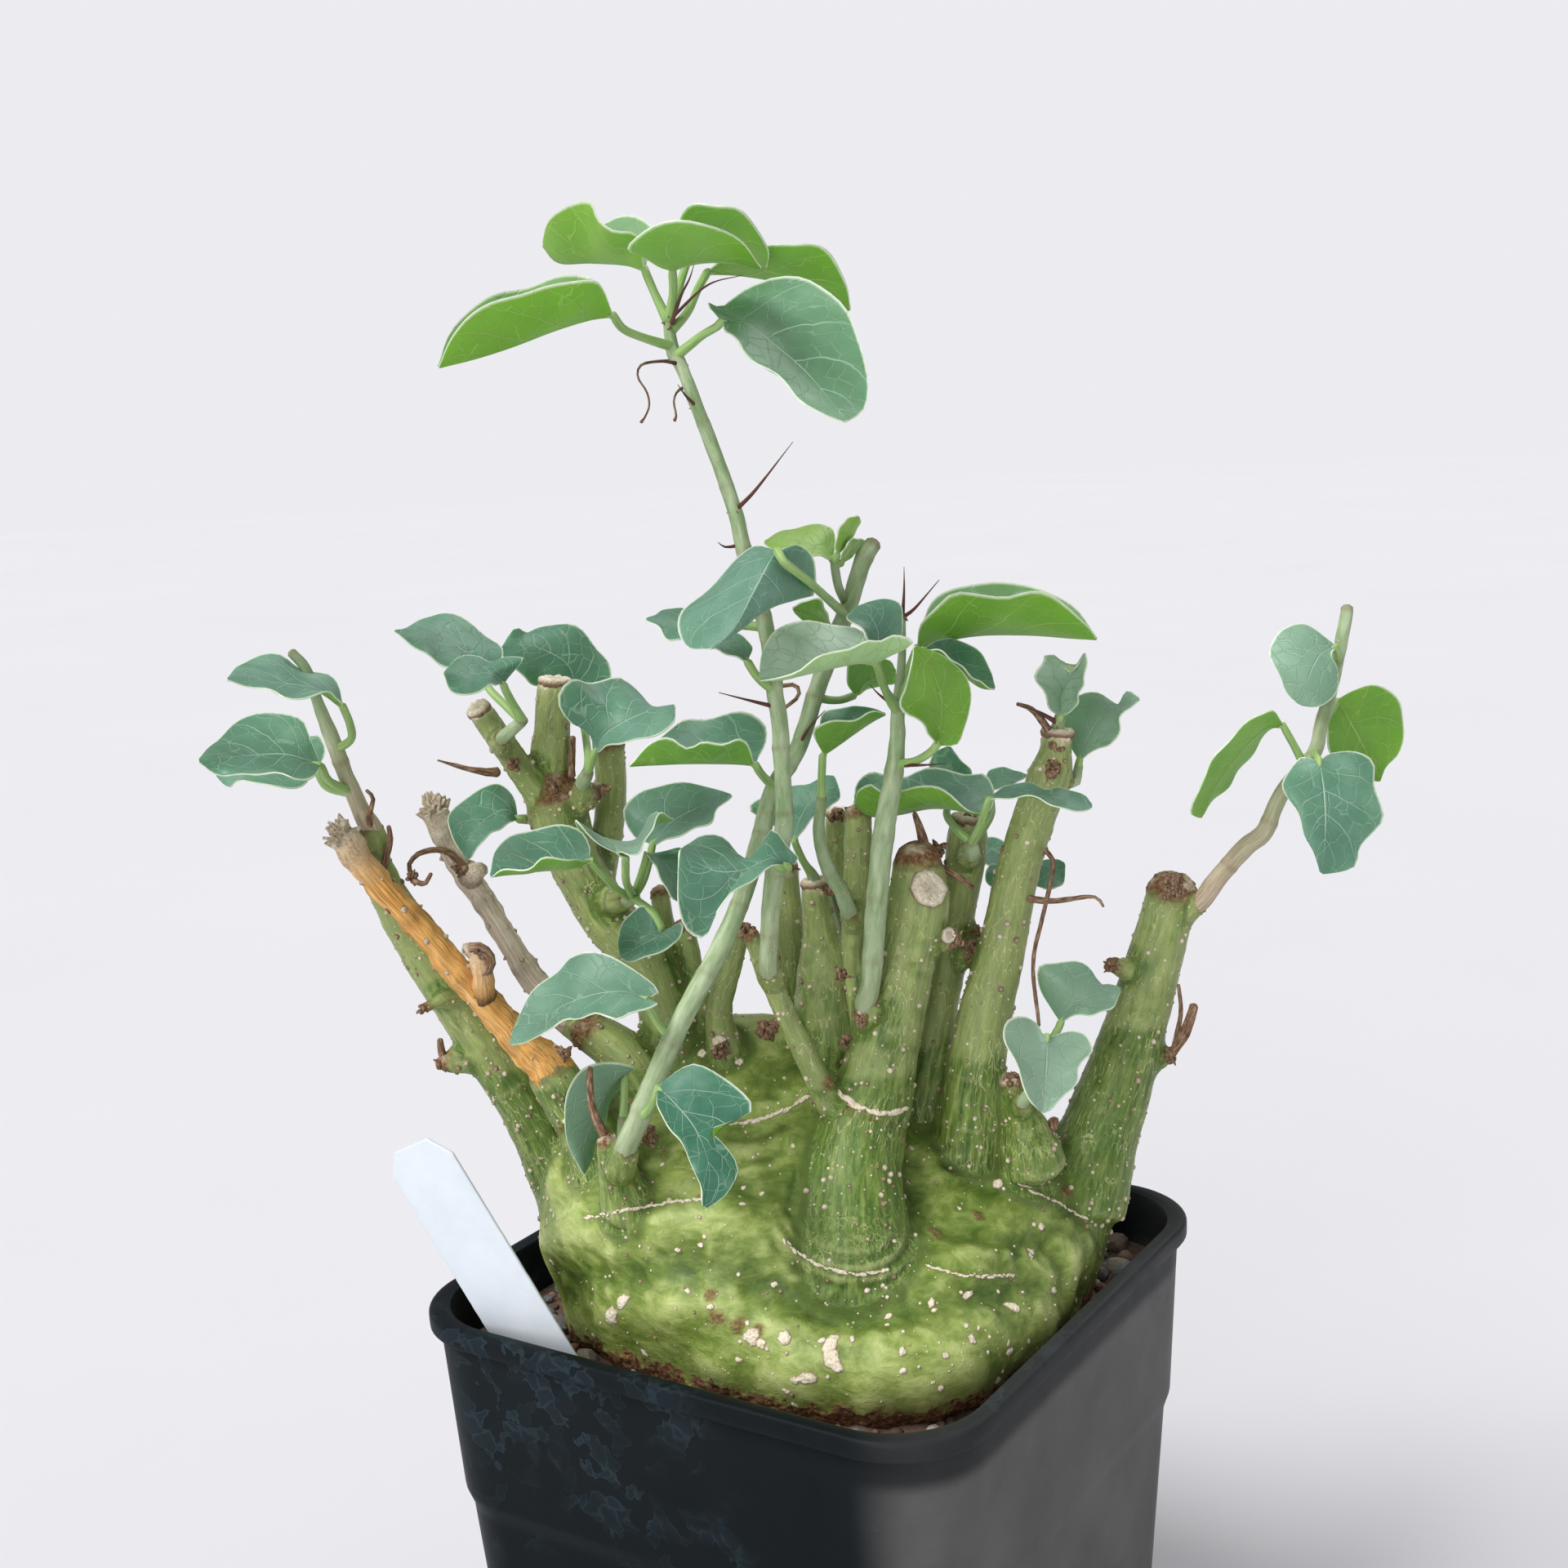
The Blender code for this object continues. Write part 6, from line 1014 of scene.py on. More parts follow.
class Draft:
    """Points, faces and their marks, gathered in millimetres before they become one object.

    Grain is each point's place in its piece's own straightened frame, and tint three numbers for its look.
    """

    def __init__(self):
        self.points = []
        self.faces = []
        self.slots = []
        self.corners = []
        self.grain = []
        self.tint = []

    def add(self, points, faces, slots=0, uvs=None, grain=None, tint=PLAIN):
        """Adds points and faces. Slots, and tint, are one for all of them or a list with one for each."""
        start = len(self.points)
        self.points.extend(tuple(point) for point in points)
        self.grain.extend(tuple(place) for place in (points if grain is None else grain))
        self.tint.extend([tint] * len(points) if isinstance(tint, tuple) else tint)
        for k, face in enumerate(faces):
            self.faces.append([start + i for i in face])
            self.slots.append(slots if isinstance(slots, int) else slots[k])
            self.corners.extend((uvs[i] if uvs is not None else (0.0, 0.0)) for i in face)

    def tube(self, points, radii, sides=12, slot=0, tints=PLAIN, rough=0.0, cap=0.45, seed=0.0):
        """A round tapered tube with domed ends. Rough is how far its surface wanders, as a share of it."""
        frames = route_frames(points)
        end_share, tip_share = 0.55, 0.12
        reach = 0.0
        rings = []
        grain = []
        tint = []
        points = list(points)
        ends = [(0, points[0] - frames[0][0] * radii[0] * cap, end_share)]
        ends += [(k, point, 1.0) for k, point in enumerate(points)]
        ends += [(len(points) - 1, points[-1] + frames[-1][0] * radii[-1] * cap, end_share)]
        before = ends[0][1]
        for k, point, share in ends:
            reach += (point - before).length
            before = point
            _, side, other = frames[k]
            radius = radii[k] * share
            for i in range(sides):
                turn = 2 * math.pi * i / sides
                across = side * math.cos(turn) + other * math.sin(turn)
                place = Vector((math.cos(turn) * radii[k], math.sin(turn) * radii[k], reach))
                wander = 1.0
                if rough:
                    read_at = Vector((place.x * 0.9, place.y * 0.9, place.z * 0.35 + seed))
                    wander += rough * noise.noise(read_at)
                rings.append(point + across * radius * wander)
                grain.append((place.x, place.y, place.z + seed))
                tint.append(tints[k] if isinstance(tints, list) else tints)
        rings += [ends[0][1] - frames[0][0] * radii[0] * tip_share,
                  ends[-1][1] + frames[-1][0] * radii[-1] * tip_share]
        grain += [(0.0, 0.0, seed), (0.0, 0.0, reach + seed)]
        tint += [tint[0], tint[-1]]
        faces = loft_faces(len(ends), sides, False)
        low, high = len(rings) - 2, len(rings) - 1
        top = (len(ends) - 1) * sides
        for i in range(sides):
            faces.append((low, (i + 1) % sides, i))
            faces.append((high, top + i, top + (i + 1) % sides))
        self.add(rings, faces, slot, None, grain, tint)

    def build(self, name, looks, nodes=(), angle=60):
        """Makes the object, rides it on the root and hides the solids that it dresses."""
        mesh = new_mesh(name, self.points, self.faces)
        layer = mesh.uv_layers.new(name="UVMap")
        layer.data.foreach_set("uv", np.array(self.corners, np.float32).ravel())
        mark(mesh, "grain", self.grain)
        mark(mesh, "tint", self.tint)
        for look in looks:
            mesh.materials.append(look)
        mesh.polygons.foreach_set("material_index", self.slots)
        return place_piece(linked(name, mesh), nodes, angle)


def route_frames(points):
    """For each point of a route: the direction along it and two across it, which turn as little as may be."""
    frames = []
    side = None
    for k in range(len(points)):
        along = (points[min(k + 1, len(points) - 1)] - points[max(k - 1, 0)]).normalized()
        side = along.orthogonal() if side is None else side - along * side.dot(along)
        side.normalize()
        frames.append((along, side.copy(), along.cross(side)))
    return frames


def fine(points, radii, step):
    """A route and its radii at even steps of about this length."""
    if len(points) == 2:
        points = [points[0], points[0].lerp(points[1], 0.5), points[1]]
        radii = [radii[0], (radii[0] + radii[1]) / 2, radii[1]]
    reach = [0.0]
    for a, b in zip(points, points[1:]):
        reach.append(reach[-1] + (b - a).length)
    count = max(3, round(reach[-1] / step))
    evenly = np.linspace(0, reach[-1], count + 1)
    return smooth_route(points, count), list(np.interp(evenly, reach, radii))


def fine_route(route, step, thin=1.0):
    """The same for a route of the tables, with its radii made thinner by a share."""
    return fine([spot(place) for place in route], [place[3] * thin for place in route], step)


def bumpy(vector, scale, seed=0.0):
    """A smooth random number from about -1 to 1 at a place in millimetres."""
    return noise.noise(Vector(vector) * scale + Vector((seed, seed * 1.7, seed * 0.3)))


def random_way():
    """A vector that points any way."""
    return Vector((chance.gauss(0, 1), chance.gauss(0, 1), chance.gauss(0, 1)))


# Materials.

def rgb(red, green, blue):
    """A colour named by its screen values, 0 to 255, as the shader wants it."""
    made = []
    for value in (red, green, blue):
        value /= 255.0
        made.append(value / 12.92 if value <= 0.04045 else ((value + 0.055) / 1.055) ** 2.4)
    return (*made, 1.0)


class Look:
    """A procedural material and short ways to add nodes to it."""

    def __init__(self, name, roughness=0.5, **sockets):
        self.material = bpy.data.materials.new(name)
        self.material.use_nodes = True
        self.tree = self.material.node_tree
        self.shader = self.tree.nodes["Principled BSDF"]
        self.shader.inputs["Roughness"].default_value = roughness
        for key, value in sockets.items():
            self.shader.inputs[key.replace("_", " ")].default_value = value

    def node(self, kind, inputs=(), **settings):
        """A node with its settings, and values or links for its inputs as (key, value) pairs."""
        made = self.tree.nodes.new(kind)
        for key, value in settings.items():
            setattr(made, key, value)
        for key, value in inputs:
            self.put(made.inputs[key], value)
        return made

    def put(self, socket, value):
        """Links a socket to another one, or sets its own value."""
        if isinstance(value, bpy.types.NodeSocket):
            self.tree.links.new(value, socket)
        else:
            socket.default_value = value

    def places(self):
        """Object coordinates in metres."""
        return self.node("ShaderNodeTexCoord").outputs["Object"]

    def marks(self, name):
        """Three numbers kept on the mesh, as a vector."""
        return self.node("ShaderNodeAttribute", attribute_name=name).outputs["Vector"]

    def parts(self, vector):
        """The three numbers of a vector."""
        return self.node("ShaderNodeSeparateXYZ", [(0, vector)]).outputs

    def vector(self, operation, first, second):
        """A vector worked out from two others."""
        return self.node("ShaderNodeVectorMath", [(0, first), (1, second)], operation=operation).outputs[0]

    def stretch(self, vector, x, y, z):
        """A vector with its three numbers scaled."""
        return self.vector("MULTIPLY", vector, (x, y, z))

    def warp(self, vector, reach, scale, detail=2.0, read_at=None):
        """A vector moved by up to a reach, by noise that is read at the vector itself or at another one."""
        moves = self.node("ShaderNodeTexNoise", [("Vector", vector if read_at is None else read_at),
                                                 ("Scale", scale), ("Detail", detail)])
        return self.vector("ADD", vector, self.stretch(moves.outputs["Color"], reach, reach, reach))

    def cloud(self, vector, scale, detail=4.0, rough=0.6, bend=0.0):
        """Noise from 0 to 1."""
        return self.node("ShaderNodeTexNoise", [("Vector", vector), ("Scale", scale), ("Detail", detail),
                                                ("Roughness", rough), ("Distortion", bend)]).outputs[0]

    def cells(self, vector, scale, feature="F1", output="Distance"):
        """A cell pattern: the distance to the nearest seed or edge, or the cell's own colour."""
        return self.node("ShaderNodeTexVoronoi", [("Vector", vector), ("Scale", scale)],
                         feature=feature).outputs[output]

    def ramp(self, factor, *stops):
        """A colour ramp of (position, colour) stops."""
        made = self.node("ShaderNodeValToRGB", [(0, factor)])
        line = made.color_ramp.elements
        while len(line) < len(stops):
            line.new(0.5)
        for element, (position, colour) in zip(line, stops):
            element.position = position
            element.color = colour
        return made.outputs[0]

    def fade(self, value, low, high, start=0.0, end=1.0):
        """Goes smoothly from start to end as a value goes from low to high."""
        return self.node("ShaderNodeMapRange", [(0, value), (1, low), (2, high), (3, start), (4, end)],
                         interpolation_type="SMOOTHSTEP").outputs[0]

    def mix(self, factor, first, second):
        """Two colours mixed."""
        return self.node("ShaderNodeMix", [(0, factor), (6, first), (7, second)], data_type="RGBA").outputs[2]

    def number(self, operation, first, second=0.0):
        """A number worked out from one or two others."""
        return self.node("ShaderNodeMath", [(0, first), (1, second)], operation=operation).outputs[0]

    def plus(self, first, second):
        """The sum of two numbers."""
        return self.number("ADD", first, second)

    def times(self, first, second):
        """The product of two numbers."""
        return self.number("MULTIPLY", first, second)

    def off(self, first, second):
        """How far two numbers are apart."""
        return self.number("ABSOLUTE", self.number("SUBTRACT", first, second))

    def bump(self, height, strength, distance):
        """A bumped normal from a height, with the distance in metres."""
        return self.node("ShaderNodeBump", [("Height", height), ("Strength", strength),
                                            ("Distance", distance)]).outputs[0]

    def done(self, colour, normal=None, roughness=None):
        """Links the last colour, normal and roughness, and gives the material."""
        self.put(self.shader.inputs["Base Color"], colour)
        if normal is not None:
            self.put(self.shader.inputs["Normal"], normal)
        if roughness is not None:
            self.put(self.shader.inputs["Roughness"], roughness)
        return self.material


def blade_veins(look, u, v, places):
    """A blade's midrib, side veins and fine net, from 0 to 1, and how far a place is from the midrib."""
    off = look.times(look.off(v, 0.5), 2.0)
    rib_width = look.fade(u, 0.0, 1.0, 0.045, 0.012)
    rib = look.fade(look.number("DIVIDE", off, rib_width), 0.2, 1.0, 1.0, 0.0)
    lean = look.times(look.number("POWER", off, 1.15), 0.36)
    wave = look.times(look.cloud(places, 90.0, 2.0), 0.1)
    step = look.number("FRACT", look.times(look.plus(look.number("SUBTRACT", u, lean), wave), 4.6))
    side = look.times(look.fade(look.off(step, 0.5), 0.006, 0.04, 1.0, 0.0),
                      look.fade(off, 0.4, 0.95, 1.0, 0.3))
    edges = look.cells(look.warp(places, 0.003, 160.0), 230.0, "DISTANCE_TO_EDGE")
    net = look.fade(edges, 0.006, 0.035, 1.0, 0.0)
    large = look.number("MAXIMUM", rib, look.times(side, 0.85))
    return look.number("MAXIMUM", large, look.times(net, 0.3)), off


def leaf_look(name, dark, mid, light, young, vein, sign, roughness):
    """A leaf face: mottled green with veins and a pale margin. Sign is 1 for raised veins, -1 for sunken."""
    look = Look(name, roughness, Specular_IOR_Level=0.35, Subsurface_Weight=0.3, Subsurface_Scale=1.0,
                Subsurface_Radius=(0.0012, 0.0024, 0.0006))
    u, v, _ = look.parts(look.node("ShaderNodeUVMap", uv_map="UVMap").outputs[0])
    shade, youth, pale = look.parts(look.marks("tint"))
    places = look.places()
    veins, off = blade_veins(look, u, v, places)
    mottle = look.cloud(places, 70.0, 5.0)
    body = look.ramp(mottle, (0.3, dark), (0.52, mid), (0.75, light))
    body = look.mix(look.times(look.cloud(places, 900.0, 2.0), 0.35), body, mid)
    body = look.mix(pale, body, look.mix(0.75, light, rgb(202, 218, 194)))
    body = look.mix(youth, body, young)
    body = look.mix(look.fade(shade, 0.0, 1.0, 0.0, 0.45), look.mix(0.35, body, dark),
                    look.mix(0.3, body, light))
    edge = look.number("MAXIMUM", look.fade(off, 0.955, 0.995), look.fade(u, 0.0, 0.02, 1.0, 0.0))
    colour = look.mix(look.times(veins, 0.8), body, vein)
    colour = look.mix(look.times(edge, 0.8), colour, rgb(226, 236, 214))
    height = look.plus(look.times(veins, sign), look.times(mottle, 0.8))
    rough = look.fade(veins, 0.0, 1.0, roughness, roughness + 0.15)
    return look.done(colour, look.bump(height, 0.8, 0.0005), rough)


def make_leaf_looks():
    """The top, the underside and the rim of a blade."""
    top = leaf_look("leaf_top", rgb(38, 86, 66), rgb(76, 128, 106), rgb(138, 174, 156), rgb(176, 212, 74),
                    rgb(176, 204, 182), -1.0, 0.42)
    under = leaf_look("leaf_under", rgb(70, 118, 20), rgb(106, 158, 28), rgb(146, 190, 64), rgb(144, 196, 30),
                      rgb(184, 212, 124), 1.0, 0.5)
    rim = Look("leaf_rim", 0.5, Specular_IOR_Level=0.3)
    tone = rim.cloud(rim.places(), 400.0, 3.0)
    colour = rim.ramp(tone, (0.3, rgb(186, 206, 170)), (0.7, rgb(224, 232, 208)))
    return [top, under, rim.done(colour, rim.bump(tone, 0.3, 0.0002))]


def make_shoot_skin():
    """The skin of a thin shoot: fine lengthwise lines over pale green, woody low down, with brown scars."""
    pale, green = rgb(180, 194, 158), rgb(130, 156, 108)
    look = Look("shoot_skin", 0.6, Specular_IOR_Level=0.3)
    grain = look.marks("grain")
    brown, wood, _ = look.parts(look.marks("tint"))
    lines = look.cloud(look.stretch(grain, 3.2, 3.2, 0.16), 1.0, 4.0, 0.7)
    patch = look.cloud(look.stretch(grain, 0.5, 0.5, 0.12), 1.0, 3.0)
    skin = look.ramp(patch, (0.35, green), (0.65, pale))
    bark = look.ramp(lines, (0.3, rgb(150, 126, 104)), (0.7, rgb(214, 196, 170)))
    skin = look.mix(wood, skin, bark)
    skin = look.mix(look.fade(lines, 0.45, 0.75, 0.0, 0.5), skin, look.mix(0.5, skin, pale))
    skin = look.mix(look.fade(lines, 0.2, 0.42, 0.5, 0.0), skin, look.mix(0.5, skin, green))
    dots = look.fade(look.cells(grain, 0.42), 0.11, 0.17, 1.0, 0.0)
    skin = look.mix(look.times(dots, 0.7), skin, rgb(196, 178, 140))
    crumb = look.cloud(look.places(), 2400.0, 3.0)
    skin = look.mix(brown, skin, look.ramp(crumb, (0.35, rgb(70, 46, 34)), (0.7, rgb(158, 120, 88))))
    height = look.plus(look.times(lines, 0.8), look.times(dots, 0.8))
    return look.done(skin, look.bump(height, 0.6, 0.0003))


def lined_look(name, roughness, shine, stretch, detail, bump, *stops):
    """A material with lines along the grain, which its colours follow. Bump is its strength and distance."""
    look = Look(name, roughness, Specular_IOR_Level=shine)
    lines = look.cloud(look.stretch(look.marks("grain"), *stretch), 1.0, detail)
    return look.done(look.ramp(lines, *stops), look.bump(lines, *bump))


def make_shoot_looks():
    """The shoot's skin, its thorns, its leaf stalks and its dry bits."""
    thorn = lined_look("thorn", 0.45, 0.4, (3.0, 3.0, 0.3), 3.0, (0.4, 0.0002),
                       (0.3, rgb(58, 30, 26)), (0.6, rgb(104, 58, 46)), (0.8, rgb(148, 104, 84)))
    stalk = lined_look("stalk", 0.5, 0.35, (2.4, 2.4, 0.12), 3.0, (0.4, 0.0002),
                       (0.3, rgb(122, 160, 84)), (0.7, rgb(172, 200, 132)))
    dry = lined_look("dry_bits", 0.8, 0.2, (2.2, 2.2, 0.5), 4.0, (0.8, 0.0004),
                     (0.3, rgb(66, 48, 38)), (0.5, rgb(132, 102, 80)), (0.75, rgb(196, 170, 142)))
    return [make_shoot_skin(), thorn, stalk, dry]


def bark_green(look, places, stemmy, crest, broad, streak):
    """The bark's green, streaked on stems, with painted highlights on crests and painted shade in hollows."""
    fleck = look.cloud(look.stretch(places, 1.0, 1.0, 1.7), 210.0, 6.0, 0.72, 0.5)
    # The crest adds a painted highlight on the body's bulges and painted shade in its hollows.
    tone = look.plus(look.times(broad, 0.7), look.fade(crest, 0.15, 0.85, -0.08, 0.42))
    tone = look.plus(tone, look.fade(fleck, 0.25, 0.75, -0.13, 0.13))
    body = look.ramp(tone, (0.22, rgb(52, 76, 22)), (0.36, rgb(82, 106, 38)), (0.5, rgb(120, 140, 62)),
                     (0.64, rgb(156, 172, 94)), (0.8, rgb(190, 200, 130)))
    stem = look.ramp(streak, (0.28, rgb(42, 70, 20)), (0.42, rgb(80, 108, 40)), (0.55, rgb(118, 140, 62)),
                     (0.72, rgb(162, 176, 102)))
    stem = look.mix(look.fade(broad, 0.3, 0.72, 0.55, 0.0), stem, rgb(76, 108, 38))
    return look.mix(stemmy, body, stem), look.mix(stemmy, fleck, streak)


def make_bark_look():
    """The caudex's skin, with painted light. Tint holds cork, brown and dark; zone stem, crest and ridge."""
    look = Look("caudex_skin", 0.55, Specular_IOR_Level=0.35)
    places = look.places()
    grain = look.marks("grain")
    cork, brown, dark = look.parts(look.marks("tint"))
    stemmy, crest, ridge = look.parts(look.marks("zone"))
    broad = look.cloud(look.stretch(places, 1.0, 1.0, 2.2), 28.0, 5.0, 0.6, 0.6)
    bent = look.warp(grain, 1.0, 1.0, read_at=look.stretch(grain, 0.35, 0.35, 0.2))
    streak = look.cloud(look.stretch(bent, 0.8, 0.8, 0.08), 1.0, 5.0, 0.6)
    hair = look.cells(look.stretch(bent, 1.15, 1.15, 0.2), 1.0, "DISTANCE_TO_EDGE")
    skin, texture = bark_green(look, places, stemmy, crest, broad, streak)
    veil = look.times(look.fade(hair, 0.015, 0.07, 1.0, 0.0),
                      look.fade(look.cloud(places, 110.0, 3.0), 0.4, 0.62, 0.05, 0.55))
    veil = look.times(veil, stemmy)
    skin = look.mix(veil, skin, rgb(206, 210, 150))
    # Dark is painted shade in the folds and hollows, and the darker rings of old leaf scars.
    skin = look.mix(dark, skin, rgb(54, 82, 22))
    # Painted shade in narrow creases and a painted highlight on narrow ridges.
    skin = look.mix(look.fade(ridge, 0.1, 0.46, 0.35, 0.0), skin, rgb(66, 66, 26))
    skin = look.mix(look.fade(ridge, 0.54, 0.9, 0.0, 0.3), skin, rgb(208, 214, 150))
    speck = look.times(look.fade(look.cloud(places, 520.0, 4.0, 0.7), 0.62, 0.72),
                       look.fade(broad, 0.4, 0.7, 0.5, 0.0))
    skin = look.mix(speck, skin, rgb(112, 92, 52))
    dots = look.fade(look.cells(places, 330.0), 0.07, 0.12, 1.0, 0.0)
    skin = look.mix(look.times(dots, 0.8), skin, rgb(210, 200, 156))
    crumb = look.cloud(places, 1100.0, 5.0, 0.7)
    rust = look.ramp(crumb, (0.32, rgb(62, 38, 24)), (0.5, rgb(120, 82, 54)), (0.72, rgb(178, 142, 104)))
    skin = look.mix(brown, skin, rust)
    chalk = look.ramp(crumb, (0.3, rgb(150, 118, 90)), (0.45, rgb(212, 196, 166)), (0.7, rgb(240, 232, 212)))
    skin = look.mix(cork, skin, chalk)
    crumbly = look.number("MAXIMUM", cork, brown)
    smooth_height = look.plus(look.plus(look.times(veil, 0.5), texture), look.times(dots, 0.7))
    height = look.plus(smooth_height, look.times(crumbly, look.plus(crumb, look.cells(places, 900.0))))
    return look.done(skin, look.bump(height, 0.6, 0.0006), look.fade(crumbly, 0.0, 1.0, 0.42, 0.9))


def make_cork_look():
    """Pale cork with a brown edge: the dots, scars, rings and cut ends."""
    look = Look("cork", 0.85, Specular_IOR_Level=0.25)
    places = look.places()
    brown, _, _ = look.parts(look.marks("tint"))
    tone = look.cloud(places, 1500.0, 4.0, 0.7)
    colour = look.ramp(tone, (0.28, rgb(178, 142, 100)), (0.4, rgb(230, 214, 182)),
                       (0.66, rgb(248, 242, 228)))
    colour = look.mix(look.times(brown, 0.9), colour, rgb(116, 84, 54))
    height = look.plus(tone, look.times(look.cells(places, 1300.0), 0.8))
    return look.done(colour, look.bump(height, 0.8, 0.0004))


def dead_look(name, low, mid, high, crack):
    """Dry wood: lengthwise cracks and grain over a dusty colour, dark and crumbly where brown is marked."""
    look = Look(name, 0.75, Specular_IOR_Level=0.2)
    grain = look.marks("grain")
    brown, pale, _ = look.parts(look.marks("tint"))
    lines = look.cloud(look.stretch(grain, 2.0, 2.0, 0.07), 1.0, 5.0, 0.65)
    cracks = look.cloud(look.stretch(grain, 4.0, 4.0, 0.12), 1.0, 3.0, 0.5)
    wood = look.ramp(lines, (0.3, low), (0.5, mid), (0.72, high))
    wood = look.mix(look.fade(cracks, 0.25, 0.42, 0.9, 0.0), wood, crack)
    crumb = look.cloud(look.places(), 1500.0, 4.0, 0.7)
    wood = look.mix(brown, wood, look.ramp(crumb, (0.35, rgb(48, 32, 26)), (0.7, rgb(132, 98, 76))))
    wood = look.mix(pale, wood, look.ramp(crumb, (0.3, rgb(170, 142, 112)), (0.6, rgb(232, 220, 198))))
    height = look.plus(lines, look.times(look.plus(brown, pale), crumb))
    return look.done(wood, look.bump(height, 0.9, 0.0006))


def make_pot_look():
    """Black moulded plastic with a fine grain, dry water stains, dust and a painted sheen on its right side.
    """
    look = Look("pot_plastic", 0.45, Specular_IOR_Level=0.06)
    places = look.places()
    x, _, z = look.parts(places)
    grain = look.cloud(places, 1800.0, 2.0)
    drift = look.cloud(places, 16.0, 5.0, 0.65, 0.4)
    shifted = look.warp(places, 0.011, 130.0, 4.0)
    spots, _, _ = look.parts(look.cells(shifted, 230.0, "F1", "Color"))
    rim = look.fade(look.cells(shifted, 230.0, "DISTANCE_TO_EDGE"), 0.0, 0.14, 1.0, 0.35)
    stain = look.times(look.times(look.fade(drift, 0.47, 0.6), look.fade(spots, 0.4, 0.7)), rim)
    colour = look.ramp(drift, (0.3, rgb(8, 14, 17)), (0.7, rgb(14, 22, 26)))
    colour = look.mix(look.times(stain, 0.6), colour, rgb(46, 62, 70))
    dust = look.times(look.cloud(places, 60.0, 6.0, 0.7), look.fade(z, 0.06, 0.13, 0.0, 0.06))
    colour = look.mix(dust, colour, rgb(90, 90, 92))
    # Painted sheen: paler grey on the right side, for the pale floor it reflects, fainter towards the top.
    painted_sheen = look.times(look.fade(x, 0.045, 0.06), look.fade(look.cloud(places, 30.0, 5.0), 0.3, 0.7, 0.5, 0.7))
    painted_sheen = look.times(painted_sheen, look.fade(z, 0.117, 0.121, 1.0, 0.25))
    colour = look.mix(painted_sheen, colour, rgb(116, 114, 113))
    height = look.plus(look.times(grain, 0.35), look.times(stain, 0.5))
    rough = look.plus(look.fade(drift, 0.3, 0.7, 0.38, 0.52), look.times(stain, 0.2))
    return look.done(colour, look.bump(height, 0.35, 0.0003), rough)


def make_stone_look(name, loose):
    """Gravel in brown, pink, grey and bluish tones, by a loose stone's own mark or, on the bed, by noise."""
    look = Look(name, 0.85, Specular_IOR_Level=0.25)
    places = look.places()
    pick, _, _ = look.parts(look.marks("tint"))
    source = pick if loose else look.cloud(places, 240.0, 2.0)
    colour = look.ramp(source, (0.05, rgb(92, 72, 62)), (0.3, rgb(140, 108, 94)), (0.5, rgb(166, 134, 118)),
                       (0.66, rgb(122, 118, 116)), (0.82, rgb(134, 146, 150)), (0.95, rgb(188, 176, 160)))
    speck = look.cloud(places, 1700.0, 4.0, 0.75)
    colour = look.mix(look.fade(speck, 0.3, 0.46, 0.6, 0.0), colour, rgb(66, 50, 44))
    colour = look.mix(look.fade(speck, 0.58, 0.75, 0.0, 0.45), colour, rgb(214, 200, 186))
    if not loose:
        colour = look.mix(0.55, colour, rgb(58, 46, 40))
    height = look.plus(speck, look.times(look.cells(places, 700.0), 0.7))
    return look.done(colour, look.bump(height, 0.7, 0.0005))


def make_label_look():
    """White matt plastic with faint scuffs and a little dirt low down."""
    look = Look("label_plastic", 0.42, Specular_IOR_Level=0.45)
    places = look.places()
    _, _, z = look.parts(places)
    cloud = look.cloud(places, 60.0, 4.0)
    colour = look.ramp(cloud, (0.3, rgb(206, 214, 222)), (0.7, rgb(222, 228, 234)))
    soil = look.times(look.fade(z, 0.117, 0.126, 0.6, 0.0), look.cloud(places, 500.0, 4.0))
    colour = look.mix(soil, colour, rgb(150, 128, 108))
    scuff = look.cloud(look.stretch(places, 1.0, 1.0, 0.4), 700.0, 3.0)
    return look.done(colour, look.bump(scuff, 0.15, 0.0002), look.fade(scuff, 0.3, 0.7, 0.36, 0.52))


# Leaves.

def blade_sheet(leaf):
    """A blade's middle sheet, part bowed and part folded at the midrib, as rows of points, and its length."""
    base, tip = spot(leaf[1]), spot(leaf[2])
    rows = [[spot(place) for place in row] for row in leaf[3:6]]
    base_side = (rows[2][0] - rows[0][0]).normalized()
    tip_side = (rows[2][-1] - rows[0][-1]).normalized()
    edges = []
    for side, row in zip((-1, 0, 1), rows):
        start = base + base_side * side * LEAF_END
        end = tip + tip_side * side * LEAF_END
        edges.append(np.array(smooth_route([start] + row + [end], LEAF_ALONG)))
    near, middle, far = (edge[:, None, :] for edge in edges)
    v = np.linspace(-1, 1, LEAF_ACROSS + 1)[None, :, None]
    curved = near * (v * v - v) / 2 + middle * (1 - v * v) + far * (v * v + v) / 2
    fold = np.abs(v) ** 1.25
    folded = np.where(v < 0, near, far) * fold + middle * (1 - fold)
    length = np.linalg.norm(np.diff(middle[:, 0, :], axis=0), axis=1).sum()
    return curved * 0.6 + folded * 0.4, length


def blade_faces(flipped):
    """The faces of a blade's top, underside and rim, with a material slot for each."""
    across = LEAF_ACROSS + 1
    along = LEAF_ALONG + 1
    half = along * across
    faces = []
    slots = []
    for i in range(LEAF_ALONG):
        for j in range(LEAF_ACROSS):
            a = i * across + j
            quad = (a, a + across, a + across + 1, a + 1)
            if flipped:
                quad = quad[::-1]
            faces += [quad, tuple(half + k for k in quad[::-1])]
            slots += [0, 1]
    loop = list(range(across)) + [i * across + across - 1 for i in range(1, along)]
    loop += [half - 1 - j for j in range(1, across)] + [i * across for i in range(along - 2, 0, -1)]
    for a, b in zip(loop, loop[1:] + loop[:1]):
        quad = (a, b, b + half, a + half)
        faces.append(quad[::-1] if flipped else quad)
        slots.append(2)
    return faces, slots


